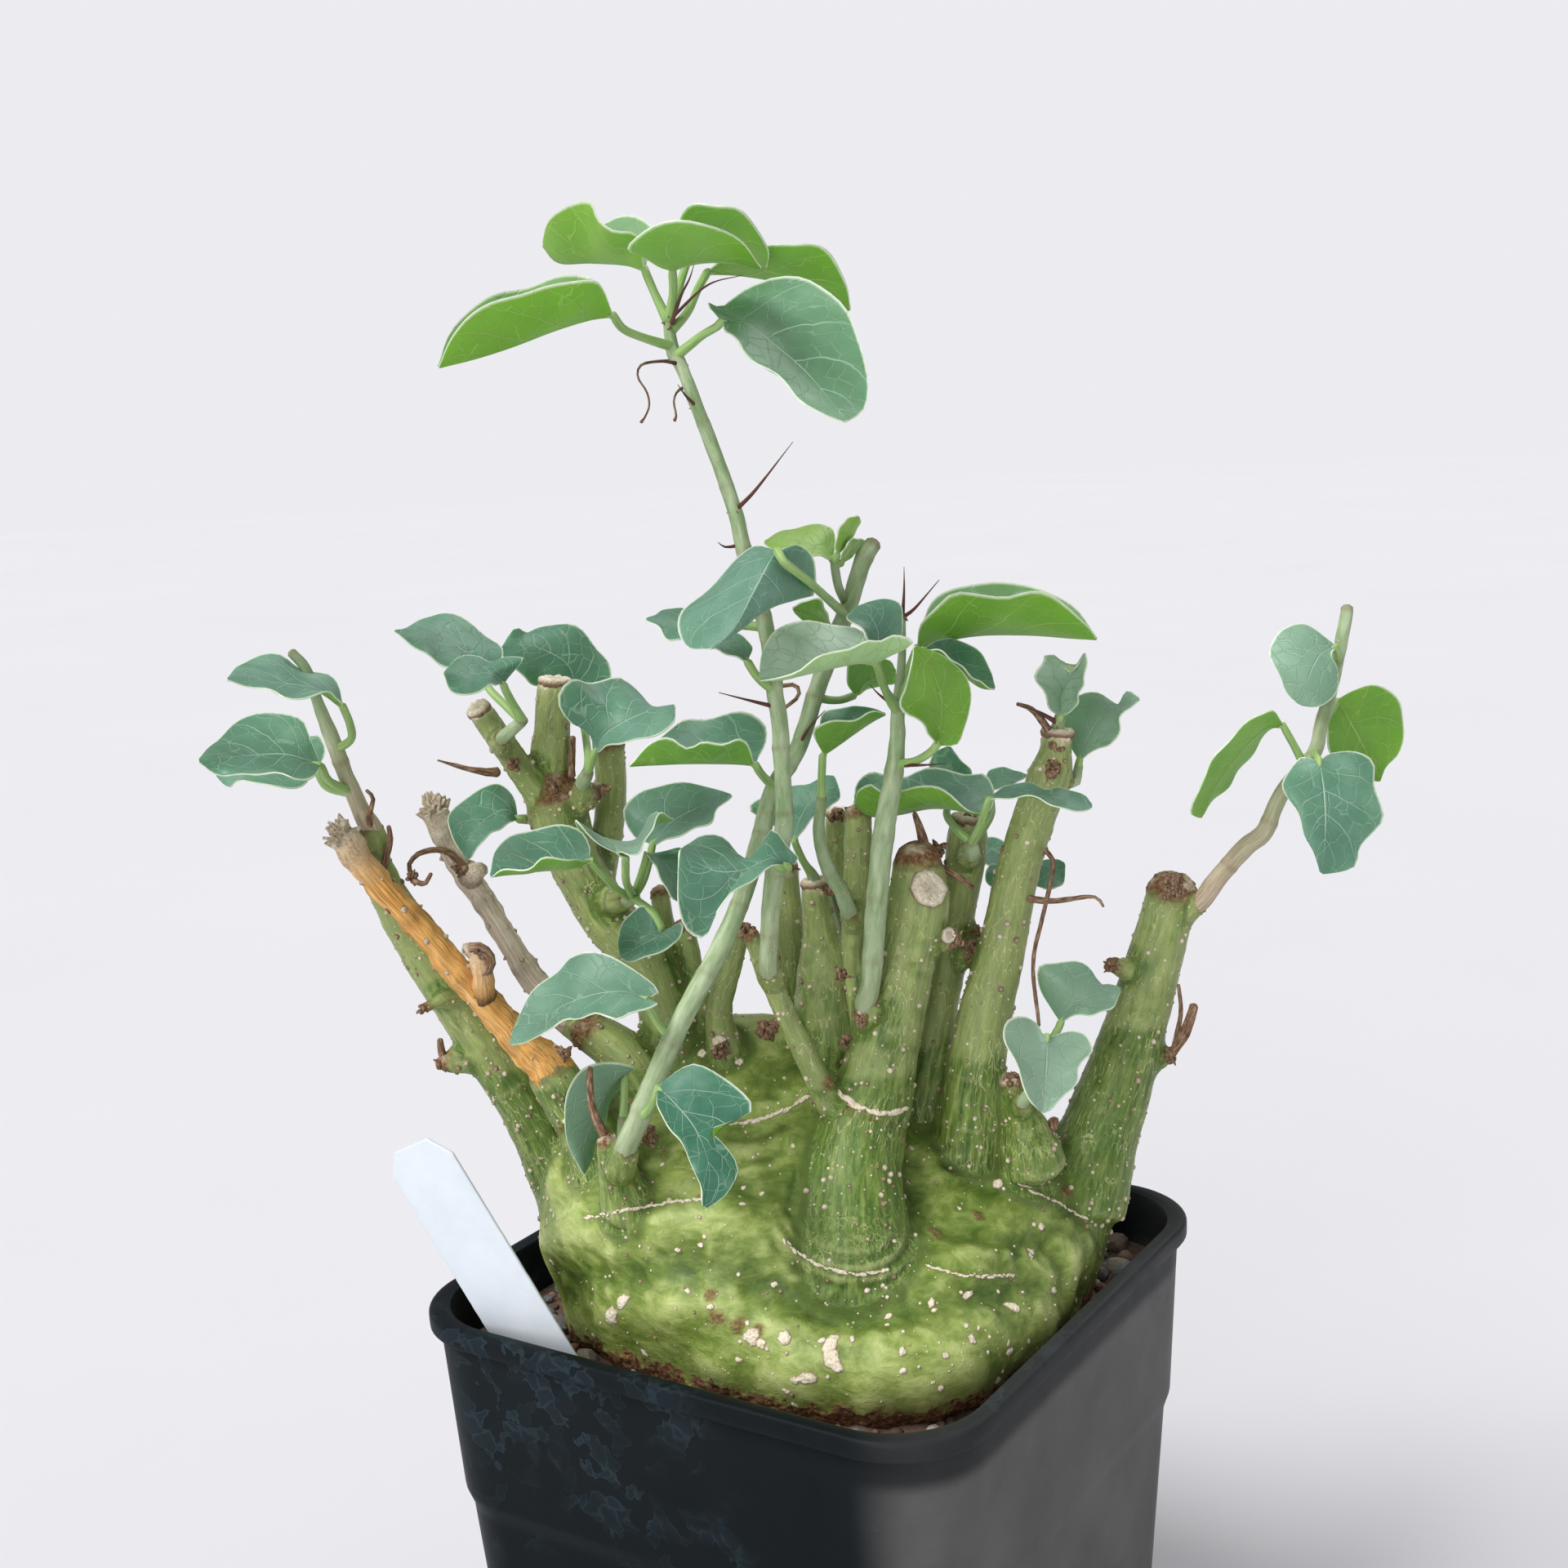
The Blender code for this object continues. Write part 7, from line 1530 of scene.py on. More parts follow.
def blade_mesh(draft, name, leaf):
    """A blade: a fine waved sheet with a ridge under its midrib, a thin rim and a top and an underside."""
    grid, length = blade_sheet(leaf)
    v = np.linspace(-1, 1, LEAF_ACROSS + 1)[None, :, None]
    u = np.linspace(0, 1, LEAF_ALONG + 1)[:, None, None]
    away = np.cross(np.gradient(grid, axis=0), np.gradient(grid, axis=1))
    normal = away / np.maximum(np.linalg.norm(away, axis=2, keepdims=True), 1e-9)
    start = chance.uniform(0, 6.28)
    ripple = np.sin(2 * math.pi * (3.2 * u) + start + v * 1.5) * np.abs(v) ** 3 * np.sin(math.pi * u) ** 0.5
    grid = grid + normal * ripple * min(0.45, length * 0.014)
    rib = np.exp(-(v / 0.09) ** 2) * (1 - 0.7 * u)
    thick = LEAF_THICKNESS * (1 - 0.45 * np.abs(v) ** 4)
    facing = (away * (np.array(CAMERA_PLACE) - grid)).sum()
    top_out = (facing > 0) != (name in UNDERSIDES)
    lift = 1.0 if top_out else -1.0
    top = grid + normal * lift * thick / 2
    under = grid - normal * lift * (thick / 2 + rib * 0.35)
    points = np.concatenate([top.reshape(-1, 3), under.reshape(-1, 3)])
    places = [(i / LEAF_ALONG, j / LEAF_ACROSS)
              for i in range(LEAF_ALONG + 1) for j in range(LEAF_ACROSS + 1)]
    faces, slots = blade_faces(not top_out)
    tint = (chance.uniform(0.1, 0.9), YOUNG.get(name, 0.0), PALE.get(name, 0.12))
    draft.add(points, faces, slots, places + places, None, tint)


# Stems, thorns and dry bits.

def flakes(draft, centre, reach, count, slot, tint=PLAIN, out=None):
    """A cluster of small dry scales round a place, which point any way or mostly outward."""
    faces = [(0, 1, 2, 3), (3, 2, 4), (8, 7, 6, 5), (9, 7, 8), (0, 5, 6, 1), (1, 6, 7, 2), (2, 7, 9, 4),
             (4, 9, 8, 3), (3, 8, 5, 0)]
    for _ in range(count):
        way = random_way()
        if out is not None:
            way = way * 0.55 + out * 1.1
        way.normalize()
        side = way.orthogonal().normalized()
        side.rotate(Matrix.Rotation(chance.uniform(0, 6.28), 3, way))
        length = reach * chance.uniform(0.5, 1.1)
        wide = reach * chance.uniform(0.16, 0.34)
        foot = centre + way * reach * chance.uniform(0.0, 0.35)
        bend = side * length * chance.uniform(-0.25, 0.25)
        points = [foot - side * wide * 0.7, foot + side * wide * 0.7,
                  foot + way * length * 0.55 + side * wide + bend * 0.5,
                  foot + way * length * 0.55 - side * wide + bend * 0.5,
                  foot + way * length + bend]
        thick = way.cross(side) * reach * 0.07
        cloud = [point + thick for point in points] + [point - thick for point in points]
        draft.add(cloud, faces, slot, None, None, tint)


def crumbs(draft, centre, reach, count, slot):
    """A knobbly cluster of dry crumbs round a place."""
    ball, faces = round_ball(1)
    for _ in range(count):
        middle = centre + random_way().normalized() * reach * chance.uniform(0.1, 0.62)
        size = reach * chance.uniform(0.2, 0.46)
        shift = chance.uniform(0, 90)
        shape = Vector([chance.uniform(0.6, 1.2) for _ in range(3)])
        points = [middle + place * shape * size * (1 + 0.4 * bumpy(place, 1.7, shift)) for place in ball]
        draft.add(points, faces, slot)


def add_stem(stems, name, k, points, radii):
    """One stem of a shoot, with slightly raised brown rings where its leaves once stood."""
    woody = name in ("shoot_far_left", "shoot_far_right")
    points, radii = fine(points, radii, STEM_STEP)
    spacing = chance.uniform(13, 19)
    count = len(points)
    tints = []
    for i in range(count):
        near = abs((i * STEM_STEP + spacing * 0.4) % spacing - spacing / 2)
        ring = max(0.0, 1.0 - near)
        radii[i] *= 1.0 + 0.07 * ring
        share = i / count
        wood = max(0.0, min(1.0, 1.15 - share * 1.6)) if woody else max(0.0, 0.18 - share)
        brown = 0.3 * ring + (0.7 if i < 2 else 0.0) + (0.5 if i > count - 2 else 0.0)
        tints.append((min(brown, 1.0), wood, 0.0))
    stems.tube(points, radii, 14, 0, tints, 0.1, seed=k * 31.0 + len(name))


def add_thorn(stems, routes, places):
    """A pointed thorn that stands on the nearest stem, with dry scales round its foot."""
    points = [spot(place) for place in places]
    points[0] = nearest_on(routes, points[0])
    points, radii = fine(points, [place[3] * 0.66 for place in places], 1.2)
    radii = [radius * (1.0 - 0.72 * i / (len(radii) - 1)) for i, radius in enumerate(radii)]
    stems.tube(points, radii, 8, 1, rough=0.1, seed=points[0].x)
    flakes(stems, points[0], 1.5, 5, 3)


def add_stalk(stems, routes, leaf):
    """A leaf's stalk, from the nearest stem to a little way along the blade's midrib."""
    stalk = [spot(place) for place in leaf[0]] + [spot(leaf[1])]
    stalk[0] = nearest_on(routes, stalk[0])
    stalk.append(stalk[-1].lerp(spot(leaf[4][0]), 0.22))
    radii = [STALK_RADIUS * 1.25] + [STALK_RADIUS] * (len(stalk) - 2) + [STALK_RADIUS * 0.5]
    points, radii = fine(stalk, radii, 1.3)
    stems.tube(points, radii, 10, 2, rough=0.06, seed=points[0].y)


def dress_shoot(name, parts, looks, leaf_looks):
    """A shoot's own pieces: its woody stems with thorns and stalks, and its blades."""
    stems = Draft()
    blades = Draft()
    routes = [[spot(place) for place in route] for route in parts["stems"]]
    for k, (points, route) in enumerate(zip(routes, parts["stems"])):
        radii = [place[3] for place in route]
        if k == 0:
            points, radii = [spot(parts["root"])] + points, radii[:1] + radii
        add_stem(stems, name, k, points, radii)
    for places in parts.get("thorns", []):
        add_thorn(stems, routes, places)
    for leaf_name, leaf in parts.get("leaves", {}).items():
        add_stalk(stems, routes, leaf)
        blade_mesh(blades, leaf_name, leaf)
    stems.build(name + "_stems", looks, [name])
    if blades.points:
        blades.build(name + "_blades", leaf_looks, [name])


def make_tendrils(looks):
    """The curled dry tendrils of the tall shoot."""
    draft = Draft()
    for k, route in enumerate(TENDRILS):
        draft.tube(*fine_route(route, 1.0, 0.75), 6, 3, seed=k * 5.0)
    draft.build("tendrils", looks)


def make_dry_bits(looks):
    """Dried scales and dead twigs on the knobs and tops of the caudex."""
    draft = Draft()
    for across, down, back, reach, count in DRY_BITS:
        centre = spot((across, down, back))
        crumbs(draft, centre, reach, count, 3)
        flakes(draft, centre, reach * 0.85, count // 2, 3)
    for k, route in enumerate(TWIGS):
        draft.tube(*fine_route(route, 1.4, 0.8), 8, 3, rough=0.25, seed=k * 13.0)
    draft.build("caudex_dry_bits", looks)


def make_warts(draft, points, radii):
    """Small pale warts that wind up a dead branch."""
    for i in range(5, len(points) - 5, 2):
        turn = i * 2.4
        size = 0.45 + 0.1 * (i * 7 % 5)
        _, side, other = route_frames(points[i - 1:i + 2])[1]
        off = side * math.cos(turn) + other * math.sin(turn)
        foot = points[i] + off * radii[i] * 0.85
        draft.tube([foot, foot + off * 0.4, foot + off * 0.8], [size * 1.15, size, size * 0.5], 8, 0,
                   [(1.0, 0.0, 0.0), (0.6, 0.3, 0.0), PALE_END])


def make_dead(name, parts):
    """A dead branch with its frayed end."""
    slot, *tones = DEAD_TONES[name]
    draft = Draft()
    for k, route in enumerate(parts["stems"]):
        points = [spot(place) for place in route]
        radii = [place[3] for place in route]
        if k == 0:
            points, radii = [spot(parts["root"])] + points, radii[:1] + radii
        points, radii = fine(points, radii, 1.0)
        tints = []
        for i in range(len(points)):
            band = max(0.0, math.sin(i * 0.37 + k) - 0.82) * 3.0
            radii[i] *= 1.0 + 0.12 * band
            left = len(points) - 1 - i
            end = max(0.0, 1.0 - left / 4.0, 0.8 - left / 16.0)
            start = max(0.0, 1.0 - i / 5.0)
            tints.append((min(1.0, band * 0.5 + start * 0.8), end, 0.0))
        draft.tube(points, radii, 16, 0, tints, 0.28, cap=0.2, seed=k * 11.0)
        if k == 0:
            out = (points[-1] - points[-3]).normalized()
            flakes(draft, points[-1] - out, 4.4, 34, 0, PALE_END, out)
            make_warts(draft, points, radii)
    draft.build(name + "_wood", [dead_look(slot, *(rgb(*tone) for tone in tones))], [name])


# The caudex.

def body_points():
    """The body's rings, rounded between their places and between their levels."""
    around = []
    for level, places in BODY:
        ring = []
        count = len(places)
        for k in range(count):
            four = [np.array(places[(k + step) % count], float) for step in (-1, 0, 1, 2)]
            for part in range(4):
                ring.append(catmull(four, part / 4))
        around.append(np.column_stack([np.array(ring), np.full(len(ring), float(level))]))
    rings = [around[0]]
    for k in range(len(around) - 1):
        four = [around[max(0, min(len(around) - 1, k + step))] for step in (-1, 0, 1, 2)]
        rings += [catmull(four, part / 4) for part in (1, 2, 3)] + [around[k + 1]]
    return [[TURN @ Vector(place) + RIM for place in ring] for ring in rings]


def grow_stems(draft):
    """Adds the stems, and a collar under each branch and shoot. Gives a (name, route, radii) for each."""
    stems = []
    for name, route in WOOD.items():
        widths = [place[3] for place in route]
        widths[-1] = TOP_RADII.get(name, widths[-1])
        points, radii = fine([spot(place) for place in route], widths, 2.0)
        stems.append((name, points, radii))
        draft.tube(points, [radius + 0.12 for radius in radii], 20, cap=0.3)
    for parts in [*DEAD.values(), *SHOOTS.values()]:
        first = parts["stems"][0][0]
        radius = first[3] + 0.45
        points, radii = fine([spot(parts["root"]), spot(first)], [radius + 0.5, radius], 2.0)
        stems.append(("collar", points, radii))
        draft.tube(points, radii, 14, cap=0.2)
    return stems


def melted(draft):
    """One skin over all that a draft holds, with its steps eased."""
    rough = linked("caudex_rough", new_mesh("caudex_rough", draft.points, draft.faces))
    melt = rough.modifiers.new("melt", "REMESH")
    melt.mode = "VOXEL"
    melt.voxel_size = SKIN_VOXEL * MM
    ease = rough.modifiers.new("ease", "SMOOTH")
    ease.factor = 0.5
    ease.iterations = 5
    skin = applied(rough)
    bpy.data.objects.remove(rough)
    return skin


def refine_front(mesh):
    """Splits the faces on the front of the body once, where the finest folds are."""
    eye = CAMERA_PLACE * MM
    low, high = 0.119, 0.178
    builder = bmesh.new()
    builder.from_mesh(mesh)
    chosen = set()
    for face in builder.faces:
        middle = face.calc_center_median()
        if low < middle.z < high and face.normal.dot((eye - middle).normalized()) > 0.2:
            chosen.update(face.edges)
    bmesh.ops.subdivide_edges(builder, edges=list(chosen), cuts=1, use_grid_fill=True)
    builder.to_mesh(mesh)
    builder.free()


def nearest_stems(points, stems):
    """For each point: its stem, how far along that it lies, and its place in that stem's own frame."""
    pieces = []
    for index, (_, route, widths) in enumerate(stems):
        frames = route_frames(route)
        reach = 0.0
        for k in range(len(route) - 1):
            step = route[k + 1] - route[k]
            pieces.append((route[k], step, frames[k][1], frames[k][2], widths[k], widths[k + 1] - widths[k],
                           reach, index))
            reach += step.length
    starts, steps, sides, others, radii, widen, reaches, owner = (np.array(values) for values in zip(*pieces))
    lengths = (steps ** 2).sum(1)
    found = {"stem": [], "reach": [], "off": [], "x": [], "y": []}
    batch = 4000
    for low in range(0, len(points), batch):
        group = points[low:low + batch]
        offset = group[:, None, :] - starts[None]
        share = np.clip((offset * steps[None]).sum(2) / lengths[None], 0, 1)
        offset -= steps[None] * share[..., None]
        off = np.linalg.norm(offset, axis=2) - (radii[None] + widen[None] * share)
        best = off.argmin(1)
        rows = np.arange(len(group))
        near = offset[rows, best]
        found["stem"].append(owner[best])
        found["reach"].append(reaches[best] + share[rows, best] * np.sqrt(lengths[best]))
        found["off"].append(off[rows, best])
        found["x"].append((near * sides[best]).sum(1))
        found["y"].append((near * others[best]).sum(1))
    return {key: np.concatenate(values) for key, values in found.items()}


def surface_of(mesh):
    """A mesh's surface in millimetres, on which places can be found."""
    return BVHTree.FromPolygons([vert.co * METRE for vert in mesh.vertices],
                                [tuple(face.vertices) for face in mesh.polygons])


def on_front(tree, across, down):
    """The point of a surface that shows at two pixels of the picture, or None."""
    sight = (spot((across, down, 0)) - CAMERA_PLACE).normalized()
    return tree.ray_cast(CAMERA_PLACE, sight)[0]


def on_back(tree, turn, level):
    """The point of a surface at a turn from the photo's right to its left by way of the back, and a level."""
    way = TURN @ Vector((math.cos(math.radians(turn)), math.sin(math.radians(turn)), 0.0))
    outside = 200.0
    return tree.ray_cast(way * outside + Vector((0, 0, POT_HEIGHT + level)), -way)[0]


def found_on(where, tree, places):
    """The points of a surface at some places of its front or back, without the places that miss it."""
    hits = [where(tree, *place) for place in places]
    return [hit for hit in hits if hit is not None]


def line_distance(points, route):
    """How far points lie from a route of straight steps."""
    best = np.full(len(points), 1e9)
    for a, b in zip(route, route[1:]):
        a, step = np.array(a), np.array(b - a)
        share = np.clip(((points - a) @ step) / max((step ** 2).sum(), 1e-9), 0, 1)
        best = np.minimum(best, np.linalg.norm(points - a - share[:, None] * step, axis=1))
    return best


def soft_step(values, low, high):
    """Goes smoothly from 0 to 1 as values go from low to high."""
    share = np.clip((values - low) / (high - low), 0, 1)
    return share * share * (3 - 2 * share)


def at_least(marks, values, where=slice(None)):
    """Raises marks to some values where they are lower."""
    marks[where] = np.maximum(marks[where], values)


def crest_of(mesh, points, normals, rounds):
    """How far each point stands out of (or sinks into) its wider surroundings, in millimetres."""
    edges = np.empty(len(mesh.edges) * 2, np.int64)
    mesh.edges.foreach_get("vertices", edges)
    first, second = edges[0::2], edges[1::2]
    count = len(points)
    degree = np.bincount(first, minlength=count) + np.bincount(second, minlength=count)
    soft = points.copy()
    for _ in range(rounds):
        total = np.zeros_like(soft)
        for axis in range(3):
            total[:, axis] = (np.bincount(first, soft[second, axis], count)
                              + np.bincount(second, soft[first, axis], count))
        soft = soft * 0.3 + total / degree[:, None] * 0.7
    return ((points - soft) * normals).sum(1)


class Bark:
    """The caudex's skin while it is worked: how far its points are lifted, in millimetres, and its marks."""

    def __init__(self, mesh, stems):
        self.mesh = mesh
        self.stems = stems
        self.points = read_vectors(mesh.vertices, "co") * METRE
        self.normals = read_vectors(mesh.vertex_normals, "vector")
        self.tree = surface_of(mesh)
        self.near = nearest_stems(self.points, stems)
        self.on_stem = 1.0 - soft_step(self.near["off"], 0.6, 3.5)
        self.cork, self.brown, self.dark = (np.zeros(len(self.points)) for _ in range(3))
        self.fuzz = self.noise(0.9, 3.0)
        self.middle = self.noise(0.33, 11.0)
        self.broad = self.noise(0.11, 7.0)
        self.lift = ((self.broad * 1.1 + self.middle * 0.1) * (1 - self.on_stem)
                     + self.middle * 0.16 * self.on_stem + 0.12)

    def noise(self, scale, seed):
        """A smooth random number for each point."""
        return np.array([bumpy(point, scale, seed) for point in self.points])

    def ring_stem(self, index, mine):
        """Raised rings round a stem, where leaves once stood."""
        reach = self.near["reach"][mine]
        bands = np.zeros(len(reach))
        gap = 11.0 + (index * 37 % 9)
        for at in np.arange(gap * 0.7, route_length(self.stems[index][1]) - 5.0, gap):
            bands += np.exp(-((reach - at - self.middle[mine] * 1.2) / 0.9) ** 2)
        self.lift[mine] += bands * 0.14
        at_least(self.brown, np.clip(bands * 0.5 * (self.fuzz[mine] - 0.1), 0, 1), mine)
        at_least(self.dark, np.clip(bands * 0.12, 0, 0.4), mine)

    def end_stem(self, index, kind, mine):
        """A stem's end by its kind, as TOPS tells."""
        _, route, widths = self.stems[index]
        total, radius = route_length(route), widths[-1]
        reach = self.near["reach"][mine] + (self.fuzz[mine] * 0.9 + self.middle[mine] * 1.2)
        tip = soft_step(reach, total - radius * 0.35 - 0.4, total + 0.2)
        if kind == "cut":
            at_least(self.cork, tip, mine)
            self.lift[mine] += tip * self.fuzz[mine] * 0.7
        elif kind == "collar":
            at_least(self.brown, tip * 0.7, mine)
        else:
            share, rough = (0.9, 0.9) if kind == "dry" else (1.3, 0.25)
            deep = max(radius * share, 2.0)
            wide = soft_step(reach, total - deep - 0.8, total - deep * 0.3)
            at_least(self.brown, wide, mine)
            at_least(self.cork, tip * np.clip(self.middle[mine] * 2.0, 0, 0.75), mine)
            self.lift[mine] += wide * self.fuzz[mine] * rough

    def mark_stems(self):
        """The rings and the end of every stem that has points of its own."""
        for index, (name, _, _) in enumerate(self.stems):
            mine = (self.near["stem"] == index) & (self.near["off"] < 2.5)
            kind = TOPS.get(name, "dry")
            if mine.any():
                if kind != "collar":
                    self.ring_stem(index, mine)
                self.end_stem(index, kind, mine)

    def press_folds(self):
        """Grooves along the body's folds, with a raised lip and painted shade inside."""
        folds = [(found_on(on_front, self.tree, route), *sizes) for route, *sizes in FOLDS]
        folds += [(found_on(on_back, self.tree, route), *sizes) for route, *sizes in BACK_FOLDS]
        for line, size, depth, shade in folds:
            line = smooth_route(line, 24)
            away = line_distance(self.points, line) + self.middle * size * 0.25
            ends = np.minimum(*(np.linalg.norm(self.points - np.array(end), axis=1)
                                for end in (line[0], line[-1])))
            fading = soft_step(ends, 0.0, 6.0)
            groove = np.exp(-(away / size) ** 2)
            self.lift -= groove * depth * fading
            self.lift += np.exp(-((away - size * 2.2) / (size * 1.1)) ** 2) * depth * 0.4 * fading
            # Painted shade in the groove.
            at_least(self.dark, groove * shade * fading)

    def spread_spots(self):
        """Brown crumbly spots on the body."""
        for where, spots in ((on_front, BROWN_SPOTS), (on_back, BACK_SPOTS)):
            for *place, size in spots:
                for centre in found_on(where, self.tree, [place]):
                    away = np.linalg.norm(self.points - np.array(centre), axis=1) / size
                    away = away + self.fuzz * 0.35 + self.middle * 0.3
                    at_least(self.brown, (1.0 - soft_step(away, 0.4, 1.1)) * 0.8)
                    self.lift += (1.0 - soft_step(away, 0.5, 1.2)) * self.fuzz * 0.4

    def soil_foot(self):
        """Brown soil on the skin over the gravel, and painted shade, darker green, in the body's hollows."""
        height = self.points[:, 2] + self.middle * 3.0 + self.fuzz * 1.6
        low = 1.0 - soft_step(height, GRAVEL_TOP + 3.8, GRAVEL_TOP + 6.4)
        at_least(self.brown, low)
        self.lift += low * self.fuzz * 0.6
        # Painted shade where the broad noise has pushed the body in.
        hollow = soft_step(-self.broad - self.middle * 0.4, 0.1, 0.6)
        at_least(self.dark, np.clip((1 - self.on_stem) * hollow * 0.26, 0, 1))

    def finish(self):
        """Moves the skin's points and keeps their marks on it."""
        self.points += self.normals * self.lift[:, None]
        self.mesh.vertices.foreach_set("co", (self.points * MM).astype(np.float32).ravel())
        wide = crest_of(self.mesh, self.points, self.normals, 90)
        narrow = crest_of(self.mesh, self.points, self.normals, 8)
        near, stemmy = self.near, self.on_stem[:, None]
        along = np.column_stack([near["x"], near["y"], near["reach"] + near["stem"] * 50.0])
        free = self.points * np.array([0.55, 0.55, 0.28]) + self.middle[:, None] * 1.6
        mark(self.mesh, "grain", along * stemmy + free * (1 - stemmy))
        mark(self.mesh, "tint", np.clip(np.column_stack([self.cork, self.brown, self.dark]), 0, 1))
        # Crest and the narrow crest feed the bark's painted highlight on crests and painted shade in hollows.
        crest = 0.5 + wide * 0.16 * (1 - 0.7 * self.on_stem)
        mark(self.mesh, "zone", np.clip(np.column_stack([self.on_stem, crest, 0.5 + narrow * 1.6]), 0, 1))


def make_caudex():
    """The caudex: body and stems melted into one skin, with folds, rings, cork and brown ends."""
    draft = Draft()
    rings = body_points()
    draft.add([place for ring in rings for place in ring], loft_faces(len(rings), len(rings[0])))
    stems = grow_stems(draft)
    skin = melted(draft)
    refine_front(skin)
    bark = Bark(skin, stems)
    bark.mark_stems()
    bark.press_folds()
    bark.spread_spots()
    bark.soil_foot()
    bark.finish()
    made = linked("caudex_skin", skin)
    skin.materials.append(make_bark_look())
    place_piece(made, ["caudex"], 80)
    return made, bark


def plate(draft, tree, centre, out, size, stretch=1.0, turn=0.0, lift=0.25, rim=12):
    """A thin flaky patch with a ragged, darker outline that lies on a surface."""
    side = Vector((0, 0, 1)).cross(out)
    side = side.normalized() if side.length > 0.1 else out.orthogonal().normalized()
    side.rotate(Matrix.Rotation(turn, 3, out))
    other = out.cross(side)
    shift = chance.uniform(0, 90)
    points = []
    tint = []
    for share, rise, brown in ((1.12, -0.2, 1.0), (1.0, 0.35, 0.75), (0.82, 0.8, 0.1), (0.42, 1.0, 0.0)):
        for k in range(rim):
            angle = 2 * math.pi * k / rim
            x, y = math.cos(angle), math.sin(angle)
            ragged = 1.0 + 0.45 * bumpy((x, y, 0), 1.9, shift)
            x, y = x * size * share * ragged * stretch, y * size * share * ragged
            hit = tree.find_nearest(centre + side * x + other * y)
            points.append(hit[0] + hit[1] * lift * rise * chance.uniform(0.75, 1.25))
            tint.append((brown, 0.0, 0.0))
    points.append(centre + out * lift)
    tint.append((0.0, 0.0, 0.0))
    draft.add(points, dome_faces(4, rim), 0, None, None, tint)


def cut_face(draft, centre, along, radius, thick=0.7):
    """A crumbly cut end: a rough disc with torn fibres, a little wider than its stem's end."""
    side = along.orthogonal().normalized()
    other = along.cross(side)
    shift = chance.uniform(0, 90)
    rim = 28
    points = []
    tint = []
    for share, rise, brown in ((0.98, -1.2, 1.0), (1.06, -0.4, 1.0), (1.0, 0.5, 0.35), (0.8, 0.9, 0.0),
                               (0.55, 0.6, 0.15), (0.3, 0.75, 0.3)):
        for k in range(rim):
            angle = 2 * math.pi * k / rim
            x, y = math.cos(angle), math.sin(angle)
            ragged = 1.0 + 0.12 * bumpy((x * 3, y * 3, share), 1.5, shift)
            height = rise * thick * (1.0 + 0.7 * bumpy((x * 4, y * 4, share * 3), 1.4, shift))
            points.append(centre + (side * x + other * y) * radius * share * ragged + along * height)
            tint.append((brown, 0.0, 0.0))
    points.append(centre + along * thick * 0.5)
    tint.append((0.4, 0.0, 0.0))
    draft.add(points, dome_faces(6, rim), 0, None, None, tint)


def lenticel(draft, centre, out, size, aged):
    """One raised corky dot."""
    side = out.orthogonal().normalized()
    other = out.cross(side)
    rim = 7
    points = []
    tint = []
    for share, rise, brown in ((1.15, -0.2, 0.8), (0.85, 0.45, 0.3), (0.4, 0.75, 0.0)):
        for k in range(rim):
            turn = 2 * math.pi * k / rim
            wander = share * size * chance.uniform(0.85, 1.15)
            way = side * math.cos(turn) + other * math.sin(turn)
            points.append(centre + way * wander + out * rise * size)
            tint.append((min(brown + aged, 1.0), 0.0, 0.0))
    points.append(centre + out * 0.7 * size)
    tint.append((aged, 0.0, 0.0))
    draft.add(points, dome_faces(3, rim), 0, None, None, tint)


def make_lenticels(mesh, look, on_stem, covered):
    """Corky dots all over the skin, closer together on the stems, and none where it is crumbly."""
    areas = np.array([face.area for face in mesh.polygons]) * METRE ** 2
    share = 0.075 * on_stem + 0.03 * (1 - on_stem)
    share = share * (covered < 0.35)
    picks = np.random.default_rng(5).random(len(areas))
    dots = Draft()
    for index in np.nonzero(picks < areas * share)[0]:
        face = mesh.polygons[int(index)]
        centre = face.center * METRE
        if centre.z < GRAVEL_TOP + 2.0:
            continue
        size = chance.choice(LENTICEL_SIZES) * chance.uniform(0.85, 1.1)
        size *= 1.0 + 0.4 * on_stem[index]
        lenticel(dots, centre, face.normal, size, chance.choice([0.0, 0.1, 0.35, 0.7]))
    dots.build("caudex_lenticels", [look])


def add_scar(draft, tree, where, places, size, stretch, turn):
    """A flaky scar at a place of the body's front or back, unless the place misses it."""
    for centre in found_on(where, tree, [places]):
        plate(draft, tree, centre, tree.find_nearest(centre)[1], size * 0.62, stretch, turn, 0.3, 18)


def pale_line(draft, tree, line, size):
    """A thin broken line of flaky cork along a route on a surface."""
    count = round(route_length(line) / (size * 1.7))
    line = smooth_route(line, count)
    for k, centre in enumerate(line):
        jitter = Vector([chance.uniform(-0.2, 0.2) for _ in range(3)])
        hit = tree.find_nearest(centre + jitter)
        way = line[min(k + 1, count)] - line[max(k - 1, 0)]
        side = Vector((0, 0, 1)).cross(hit[1]).normalized()
        turn = math.atan2(way.dot(hit[1].cross(side)), way.dot(side)) + chance.uniform(-0.4, 0.4)
        plate(draft, tree, hit[0], hit[1], size * chance.uniform(0.35, 0.9), chance.uniform(1.6, 3.0),
              turn, 0.26, 9)


